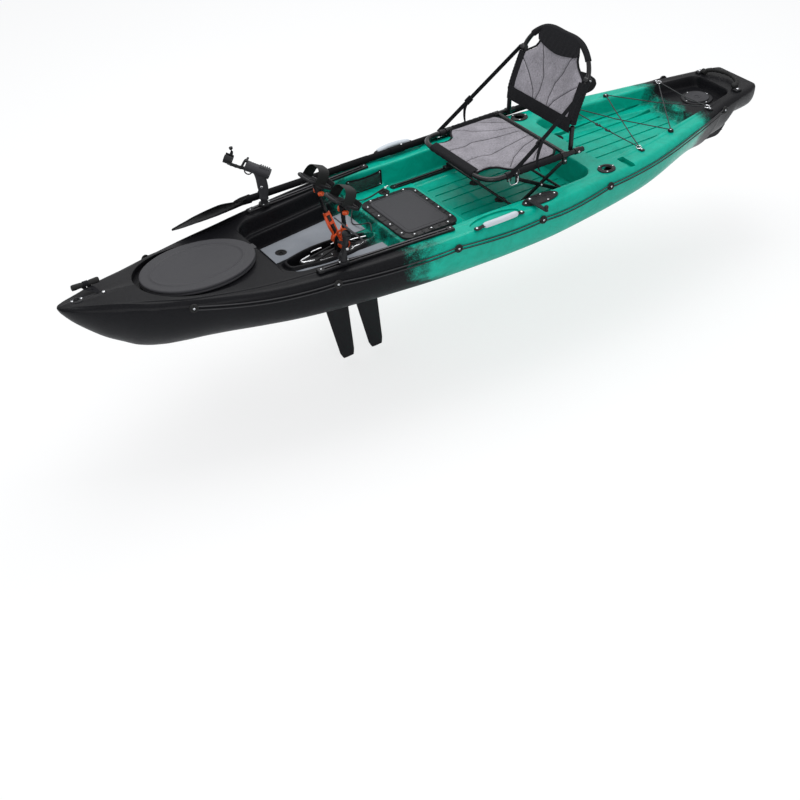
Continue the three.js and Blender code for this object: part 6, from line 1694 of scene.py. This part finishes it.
def panel_half(along):
    """Its half width: full up to the joints, then scooped in to the head end."""
    return np.interp(along, [0, 0.05, 0.6, 0.68, 0.75, 0.82, 0.9, 1.0],
                     [0.196, 0.199, 0.201, 0.196, 0.17, 0.143, 0.129, 0.124])


def on_panel(points):
    """Where points lie on the back panel."""
    share = np.interp(points[:, 2], back_run[:, 2], back_reach)
    for _ in range(3):
        middle, way = back_place(share, points[:, 1])
        off = ((points - middle) * way).sum(1)
        share = np.interp((points - way * off[:, None])[:, 2], back_run[:, 2], back_reach)
    along = np.clip((share - 0.245) / 0.635, 0, 1)
    middle, way = panel_at(along, points[:, 1])
    return along, points[:, 1] / panel_half(along), ((points - middle) * way).sum(1), way


panel_seams = both_sides([(0.06, 0.2), (0.22, 0.16), (0.45, 0.2), (0.72, 0.4), (0.98, 0.9)],
                         [(0.06, 0.26), (0.2, 0.36), (0.36, 0.58), (0.5, 0.8), (0.58, 0.96)])
back_shape = plumped(padded_panel(panel_at, panel_half, 130, 96, 0.0085, 0.005, [], creases), 0.0045)
back_shape = stitched(back_shape, on_panel, panel_seams, 0.028, 0.0045)
panel = place_piece("back_panel", back_shape, fabric, "backrest", crease=60, stands_for="back_pad")
place_piece("back_panel_seams", seam_threads(back_shape, panel_at, panel_half, panel_seams, 0.0013), webbing,
    "backrest")
place_piece("back_panel_tape", edge_tape(panel_at, panel_half, 70, 0.0, 0.0046), webbing, "backrest")
# Black sleeves: a broad band across the panel's foot, one up each side tube, and the head sleeve.
foot_share, foot_y = np.meshgrid(np.linspace(0.175, 0.305, 10), np.linspace(-0.214, 0.214, 60), indexing="ij")
foot_point, foot_way = back_place(foot_share, foot_y)
foot_band = foot_point + foot_way * (0.015 + 0.002 * (foot_share - 0.185) / 0.107
    + 0.0005 * np.sin(foot_y * 90))[..., None]
side_sleeves = []
for side in both:
    share = np.linspace(0.26, 0.66, 60)
    side_sleeves.append(tube(back_place(share, side * back_half + 0 * share)[0],
                             0.0136 + 0.0006 * np.sin(share * 190), 16, up=(0.2, 0, 1)))
    side_share, side_y = np.meshgrid(np.linspace(0.262, 0.655, 40), np.linspace(0.186, 0.216, 6),
        indexing="ij")
    point, way = back_place(side_share, side * side_y)
    side_sleeves.append(sheet_of(point + way * 0.0125, 0.0022, (-0.95, 0, 0.3)))
place_piece("back_sleeves", together(sheet_of(foot_band, 0.0026, (-0.95, 0, 0.1)), *side_sleeves), webbing,
    "backrest")
head_wide, head_up = np.meshgrid(np.linspace(-1, 1, 70), np.linspace(0, 1, 26))
head_y = head_wide * np.interp(head_up, [0, 0.35, 0.75, 1.0], [0.126, 0.138, 0.124, 0.108])
dip = -0.055 * (1 - np.abs(head_wide) ** 1.7) * (1 - head_up) ** 1.2
arch_share = np.interp(np.abs(head_y), [0.0, 0.078, 0.134, 0.186], [1.0, 1.0, 0.96, 0.86])
head_share = np.minimum(0.845 + dip + head_up * 0.155, arch_share + 0.001)
point, way = back_place(head_share, head_y)
wrinkle = 0.0009 * np.sin(head_wide * 31 + head_up * 4) * (1 - head_up)
head_face = point + way * (0.0175 - 0.004 * head_up + wrinkle)[..., None]
head_roll = [tube(back_route[(back_route[:, 2] > 0.708)], 0.0138, 16, up=(0.2, 0, 1))]
place_piece("head_cover", together(sheet_of(head_face, 0.003, (-0.92, 0, 0.4)), *head_roll), webbing,
    "backrest", stands_for="head_sleeve")

# Straps: webbing from the seat frame to the back's joints, each with a ladder-lock buckle and a tail.
for name, side in sides:
    low_end = np.array([station(1.842), side * 0.254, 0.352])
    high_end = back_place(0.7, side * 0.2345)[0]
    way = high_end - low_end
    line = low_end + np.linspace(0, 1, 60)[:, None] * way
    line += np.array([0, side, -1]) * 0.004 * np.sin(np.pi * np.linspace(0, 1, 60))[:, None]
    along_way = way / np.linalg.norm(way)
    wide_way = np.cross(along_way, (0, 1, 0))
    wide_way /= np.linalg.norm(wide_way)
    strap = place_piece(f"side_strap_web_{name}", band_strip(line, wide_way, 0.0112, 0.0022), webbing, None,
                        stands_for=f"side_strap_{name}")
    lock = line[22]
    turn = np.column_stack([along_way, wide_way, np.cross(along_way, wide_way)])
    buckle_parts = [block(lock + along_way * a, (0.0026, 0.015, 0.003), 0.001, turn, corner=0.0018)
                    for a in (-0.014, 0.0, 0.014)]
    buckle_parts += [block(lock + wide_way * b, (0.016, 0.0022, 0.003), 0.001, turn, corner=0.0018)
        for b in (-0.014, 0.014)]
    tail = flowing([lock + along_way * 0.012 + (0, side * 0.004, 0), lock + (-0.012, side * 0.01, -0.03),
                    lock + (-0.02, side * 0.008, -0.075), lock + (-0.012, side * 0.012, -0.12)], 40)
    buckle = place_piece(f"strap_buckle_{name}", together(*buckle_parts), black_plastic, None)
    loose = place_piece(f"strap_tail_{name}", band_strip(tail, wide_way, 0.0104, 0.002), webbing, None)
    for piece in (strap, buckle, loose):
        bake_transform(piece)
    hook = [tube(flowing(low_end + np.array([
        (0, 0, -0.002), (-0.01, side * 0.003, -0.012), (0, side * 0.002, -0.02), (0.01, side * 0.003, -0.012),
        (0, 0, -0.002)]), 24), 0.002, 8)]
    hook += [tube([low_end + (-0.004, -side * 0.014, 0), low_end + (0.02, -side * 0.014, 0)], 0.015, 16)]
    place_piece(f"strap_ring_{name}", together(*hook), black_plastic, "seat")

# Scissor legs: flat black bars crossing at a rivet, with a rung across the boat at each foot.
for name, body, plane, foot_x, top_x in (("front", "leg_front", plane_front, leg_rear_x, leg_front_x),
                                         ("rear", "leg_rear", plane_rear, leg_front_x, leg_rear_x)):
    foot_end, top_end = np.array([station(foot_x), leg_low]), np.array([station(top_x), leg_high])
    run = top_end - foot_end
    across = np.array([-run[1], run[0]]) / np.hypot(*run) * 0.008
    along_run = run / np.hypot(*run) * 0.004
    ring = rounded([foot_end - along_run - across, top_end + along_run - across, top_end + along_run + across,
                    foot_end - along_run + across], 0.0075)
    signed = ring if np.cross(np.append(ring[3] - ring[0], 0),
        np.append(ring[9] - ring[3], 0))[2] > 0 else ring[::-1]
    bars = [posed(slab(signed, 0.0066, 0.0012, -0.0033), upright_turn, (0, side * plane, 0)) for side in both]
    rung = tube([(foot_end[0], -plane, leg_low), (foot_end[0], plane, leg_low)], 0.006, 14)
    place_piece(f"seat_leg_bars_{name}", together(*bars, rung), frame_black, body,
        stands_for=f"seat_leg_{name}")
    screws(f"seat_leg_rivets_{name}", [(foot_end[0], side * (plane + 0.0034), foot_end[1]) for side in both],
        body, ways=[(0, side, 0) for side in both], radius=0.0044)
screws("seat_leg_middle_rivets", [(station(2.01), side * (plane_front + 0.0034), 0.26) for side in both],
    "leg_front", ways=[(0, side, 0) for side in both], radius=0.005)
for name, side in sides:
    bed = block((station(2.011), side * 0.247, 0.1746), (0.149, 0.013, 0.004), 0.0012)
    cheek_blocks = [block((station(x), side * (plane + 0.00555), 0.1825), (0.01, 0.00175, 0.012), 0.0005,
        corner=0.0015) for x, plane in ((leg_rear_x, plane_front), (leg_front_x, plane_rear))]
    clamp_knobs = [spun((station(x), side * 0.247, 0.1786), (0, 0, 1), mm([(0, 9), (1.5, 9.4), (3, 8.4)]))
        for x in (1.905, 2.011, 2.112)]
    place_piece(f"seat_runner_bed_{name}", together(bed, *cheek_blocks, *clamp_knobs), black_plastic,
        "seat_slide", stands_for=f"seat_runner_{name}")
    screws(f"seat_runner_screws_{name}", [(station(x), side * 0.247, 0.1816) for x in (1.905, 2.011, 2.112)],
           "seat_slide", radius=0.0044)

# Rod holder
# A black plastic holder that turns on a round foot in the starboard track: a post, a ribbed barrel
# for the rod's grip, a trigger loop under it, and an open cradle with a tab in front.

holder_x = 1.008
holder_y = 0.284 + (0.325 - 0.284) * (holder_x - 0.925) / (1.519 - 0.925)
holder_low, holder_top = 0.2676, 0.292
holder_turn = turn_of(("Z", -0.76))
holder_place = np.array([station(holder_x), holder_y, 0])
rod_dip, barrel_radius, barrel_bore, barrel_long = 0.35, 0.022, 0.015, 0.104
head = np.array([-0.014, 0, holder_top + 0.134])
axis_way = np.array([np.cos(rod_dip), 0, -np.sin(rod_dip)])
axis_up = np.array([np.sin(rod_dip), 0, np.cos(rod_dip)])
mouth = head - axis_way * barrel_long / 2
foot_rows = mm([(0, 22.5), (1, 24), (6, 24), (8.5, 22), (9, 16), (18, 14), (24, 13.5), (24.4, 12)])
place_piece("holder_foot", posed(spun((0, 0, holder_low), (0, 0, 1), foot_rows, 32), holder_turn,
    holder_place), black_plastic, stands_for="rod_holder_base")
foot_spots = [posed(([0.018 * np.cos(a), 0.018 * np.sin(a), holder_low + 0.0078], []), holder_turn,
    holder_place)[0] for a in (0.6, 2.7, 4.8)]
screws("holder_foot_screws", foot_spots, radius=0.0034)
post_way = flowing([(0, 0, holder_top + 0.0006), (0.001, 0, holder_top + 0.04),
    (-0.004, 0, holder_top + 0.09), (-0.012, 0, holder_top + 0.128)], 40)
post_share = np.linspace(0, 1, 40)
post_size = np.interp(post_share, [0, 0.05, 0.14, 0.45, 0.8, 1], [0.019, 0.02, 0.0175, 0.0235, 0.0225, 0.024])
barrel_rows = [(0.0, barrel_bore), (0.0, barrel_radius - 0.0012), (0.0012, barrel_radius)]
barrel_rows += [(d, barrel_radius - (0.0012 if i % 2 else 0))
    for i, d in enumerate(np.arange(0.016, 0.09, 0.0045))]
barrel_rows += [(0.1028, barrel_radius), (0.104, barrel_radius - 0.0012), (0.104, 0.004), (0.0895, 0.003),
    (0.0885, barrel_bore)]
barrel_rings = spun(mouth, axis_way, barrel_rows, 40)
barrel = wrapped(np.asarray(barrel_rings[0]).reshape(len(barrel_rows), 40, 3))
rail_ribs = [block(head + axis_up * 0.0225 + axis_way * (0.006 + 0.009 * i),
                   (0.0026, 0.011, 0.0018), 0.0006, turn_of(("Y", rod_dip)), corner=0.001) for i in range(5)]
loop_turn = np.linspace(-0.1 * np.pi, 1.1 * np.pi, 24)
trigger = tube(mouth + axis_way * 0.012 + np.stack([-0.004 + 0.015 * np.cos(loop_turn), 0 * loop_turn,
    -0.022 - 0.015 * np.sin(loop_turn)], -1), 0.0028, 8, up=(0, 1, 0))
post_tube = tube(post_way, post_size, 20, flat=0.52, up=(0, 1, 0))
place_piece("holder_body", posed(together(barrel, post_tube, trigger, *rail_ribs), holder_turn, holder_place),
            lid_plastic, "rod_arm", stands_for="rod_holder_body")
bolt_spot = posed(([-0.001, -0.0118, holder_top + 0.062], []), holder_turn, holder_place)[0]
screws("holder_bolt", [bolt_spot], "rod_arm", ways=[holder_turn @ np.array([0, -1, 0])], radius=0.0062)
hinge = mouth + (0.08 * barrel_long) * axis_way + (0, 0, barrel_radius + 0.0065)
ahead = lambda reach_out, up: mouth - axis_way * reach_out + axis_up * up
open_turn = np.linspace(0.62 * np.pi, 2.38 * np.pi, 34)
cradle = []
for offset, radius in ((0.058, 0.0205), (0.092, 0.0215)):
    cradle.append(np.stack([ahead(offset, 0) + radius * (np.array([0, 1, 0]) * np.cos(a) + axis_up * np.sin(
        a)) for a in open_turn]))
inner = [ahead(offset, 0) + (ring - ahead(offset, 0)) * 0.74 for offset, ring in zip((0.058, 0.092), cradle)]
cup = skin(np.stack([cradle[0], cradle[1], inner[1], inner[0]], 1))
neck = tube(flowing([ahead(0.002, -0.016), ahead(0.022, -0.019), ahead(0.048, -0.02), ahead(0.074, -0.0195)],
    24), [0.0085, 0.0078, 0.0072, 0.007, 0.007, 0.0072] * 4, 14, flat=0.8, up=(0, 1, 0))
riser = tube(flowing([hinge, ahead(0.008, 0.02), ahead(0.012, 0.0), ahead(0.014, -0.016)], 20), 0.0052, 10)
pin = spun(hinge - (0, 0.0154, 0), (0, 1, 0), mm([(0, 3.5), (1, 5), (29.8, 5), (30.8, 3.5)]))
tab_low = ahead(0.07, 0.017)
tab_bar = tube(tab_low + mm([(0, 10, 0), (4, 10, 14), (2, 10, 26), (1, 10, 34)]),
    [0.0074, 0.0056, 0.0078, 0.008], 10)
place_piece("holder_cradle", posed(together(cup, neck, riser, pin, tab_bar), holder_turn, holder_place),
    black_plastic, "rod_latch", stands_for="rod_holder_latch")

# Fish finder mount
# A ball arm of black plastic on a three-screw foot in the port track, carrying a drilled board across
# the boat, its holes drawn as flat black discs of painted shade. A wing nut clamps the arm's two
# halves on their balls.

mount_x, mount_y = station(1.035), -0.291
ball_top = np.array([station(1.046), -0.31, 0.397])
mount_low = 0.2676
mount_foot = stack(lambda grow: oval(mount_x, mount_y, 0.0225 + grow, 0.0185 + grow, 40),
    mm([(-1, 0), (0, 1), (0, 6), (-3, 9), (-8, 10.5)]), mount_low)
lower_ball = spun((mount_x, mount_y, mount_low + 0.008), (0, 0, 1),
    mm([(0, 8), (6, 8.5), (10, 12.5), (16, 15), (22, 15.8), (28, 15), (34, 12), (37, 7)]), 28)
arm_start = np.array([mount_x, mount_y, mount_low + 0.026])
arm_run = ball_top - arm_start
arm_side = np.cross(arm_run, (1, 0, 0))
arm_side /= np.linalg.norm(arm_side)
arm_halves = [tube(arm_start + np.linspace(-0.1, 1.02, 30)[:, None] * arm_run + arm_side * s,
    0.006 + 0.011 * np.abs(2 * np.linspace(0, 1, 30) - 1) ** 1.6, 18, flat=0.85, up=arm_side)
    for s in (-0.006, 0.006)]
upper_ball = spun(ball_top - (0, 0.017, 0), (0, 1, 0), mm([(0, 8), (4, 12.8), (10, 15.2), (17, 15.6),
    (24, 15.2), (30, 12.8), (34, 8)]), 28)
wing = arm_start + arm_run * 0.46
bolt = spun(wing - arm_side * 0.02, arm_side, mm([(0, 4.5), (1, 5.5), (39, 5.5), (40, 4.5)]))
wing_nut = block(wing + arm_side * 0.024, (0.004, 0.017, 0.006), 0.0012, turn_of(("Z", 0.4)), corner=0.003)
place_piece("mount_arm", together(mount_foot, lower_ball, *arm_halves, upper_ball, bolt, wing_nut),
    black_plastic, stands_for="finder_post")
screws("mount_foot_screws", [(mount_x + a, mount_y + b, mount_low + 0.0082)
    for a, b in mm(((-17, -2), (16, -4), (2, 15)))], radius=0.004)
screws("mount_arm_screw", [wing - arm_side * 0.02], ways=[-arm_side], radius=0.0056)
board_tilt = 0.85
board_turn = turn_of(("Y", board_tilt))
board_centre = ball_top + 0.019 * np.array([np.sin(board_tilt), 0, np.cos(board_tilt)])
board = slab(soft_box(-0.0235, 0.0235, -0.0935, 0.0935, 0.006, 5), 0.0042, 0.0009, -0.0012)
rims = [block((side * 0.0222, 0, 0.0022), (0.0012, 0.088, 0.0022), 0.0005, corner=0.0008) for side in both]
rims += [block((0.0, 0, 0.0016), (0.001, 0.086, 0.0018), 0.0005, corner=0.0008)]
grip_plate = block((0, 0, -0.0022), (0.016, 0.02, 0.0018), 0.0006)
hook_bar = tube(flowing(mm([(4, -90, -2), (-4, -98, -10), (-16, -104, -18)]), 14), 0.003, 8)
place_piece("mount_board", posed(together(board, *rims, grip_plate, hook_bar), board_turn, board_centre),
            lid_plastic, "finder_board", stands_for="finder_plate")
# The board's holes are not cut: flat black discs on its face paint the shade inside them.
hole_spots = [(a, b) for a in (-0.012, 0.012) for b in np.linspace(-0.078, 0.078, 13)]
hole_shade_discs = [posed(disc(a, b, 0.0026, [(1.0, 0.0029), (1.0, 0.00335), (0.6, 0.0034), (0.02, 0.0034)], count=12),
               board_turn, board_centre) for a, b in hole_spots]
hole_shade_paint, _, _ = new_finish("painted_hole_shade", (0.001, 0.001, 0.001), 0.95)
place_piece("mount_board_hole_shade", together(*hole_shade_discs), hole_shade_paint, "finder_board")

# Paddle
# A two-piece paddle stowed along the starboard gunwale: a black shaft with drip rings and a joint
# button, and spooned blades of moulded black plastic with a raised spine. The blades lean opposite
# ways.

paddle_black = fitting_plastic("paddle_black", (0.0035, 0.0035, 0.004), (0.008, 0.008, 0.009), 0.62, 160.0,
    shine=0.05)
paddle_y, paddle_z = 0.357, 0.2736
blade_long = 0.4
blade_tips = {"front": 0.617, "rear": 2.817}
blade_roots = {"front": 0.617 + blade_long * 0.82, "rear": 2.817 - blade_long * 0.82}
shaft_rows = [(0, 0.0135), (0.001, 0.015), (0.078, 0.015), (0.0784, 0.0205), (0.083, 0.0215), (0.086, 0.017),
              (0.0865, 0.015)]
shaft_long = blade_roots["rear"] - blade_roots["front"]
grip_zone = [(0.47, 0.015), (0.4705, 0.0163), (0.5995, 0.0163), (0.6, 0.015)]
middle = [(shaft_long / 2 - 0.062, 0.015), (shaft_long / 2 - 0.0615, 0.0168),
    (shaft_long / 2 + 0.0095, 0.0168), (shaft_long / 2 + 0.01, 0.015)]
half_rows = shaft_rows + grip_zone + middle
other = [(shaft_long - d, r) for d, r in (shaft_rows + grip_zone)[::-1]]
place_piece("paddle_tube", spun((station(blade_roots["front"]), paddle_y, paddle_z), (1, 0, 0),
    half_rows + other, 28), paddle_black, "paddle", stands_for="paddle_shaft")
screws("paddle_button", [(station(1.717), paddle_y, paddle_z + 0.0163)], "paddle", radius=0.0046)
blade_edges = {"front": ([0.0, 0.03, 0.15, 0.4, 0.65, 0.84], [0.02, 0.08, 0.24, 0.33, 0.3, 0.11],
                         [-0.16, -0.42, -0.64, -0.66, -0.44, -0.11]),
               "rear": ([0.0, 0.03, 0.15, 0.4, 0.65, 0.84], [0.18, 0.34, 0.48, 0.5, 0.36, 0.09],
                        [0.1, 0.0, -0.12, -0.16, -0.15, -0.09])}
blade_wide = 0.21
for name, way, lean in (("front", 1, -0.66), ("rear", -1, 0.46)):
    at, upper_edge, lower_edge = (np.array(row) for row in blade_edges[name])
    run = 0.5 * (1 - np.cos(np.linspace(0.05, np.pi, 44))) * 0.84
    top_edge, low_edge = (eased(np.column_stack([at, edge]), run) * blade_wide
        for edge in (upper_edge, lower_edge))
    t = np.linspace(0, 1, 30)
    y = low_edge[:, None] + (top_edge - low_edge)[:, None] * t
    spoon = -0.02 * (np.clip(1 - run / 0.7, 0, 1)[:, None] ** 2) - 0.014 * (1 - (y / 0.13) ** 2) * np.sin(
        np.pi * np.clip(run / 0.84, 0, 1))[:, None]
    rim_thin = 0.0016 + 0.0026 * np.sin(np.pi * t) ** 0.4
    spine = 0.0125 * np.exp(-(y / 0.012) ** 2) * np.interp(run, [0.15, 0.84], [0.05, 1.0])[:, None]
    x = station(blade_tips[name]) + way * run * blade_long
    face = np.stack([np.broadcast_to(x[:, None], y.shape), y, spoon + rim_thin + spine], -1)
    back = np.stack([np.broadcast_to(x[:, None], y.shape), y, spoon - rim_thin - spine * 0.9], -1)
    leaf = skin(np.concatenate([face, back[:, ::-1]], 1))
    root = station(blade_tips[name]) + way * blade_long * 0.84
    socket = spun((root - way * blade_long * 0.16, 0, 0), (way, 0, 0),
        mm([(0, 3), (20, 12), (46, 17.2), (80, 18.6), (88, 19.2), (89, 16)]), 24)
    place_piece(f"paddle_leaf_{name}", posed(together(leaf, socket), turn_of(("X", lean)),
        (0, paddle_y, paddle_z)), paddle_black, "paddle", crease=30, stands_for=f"paddle_blade_{name}")
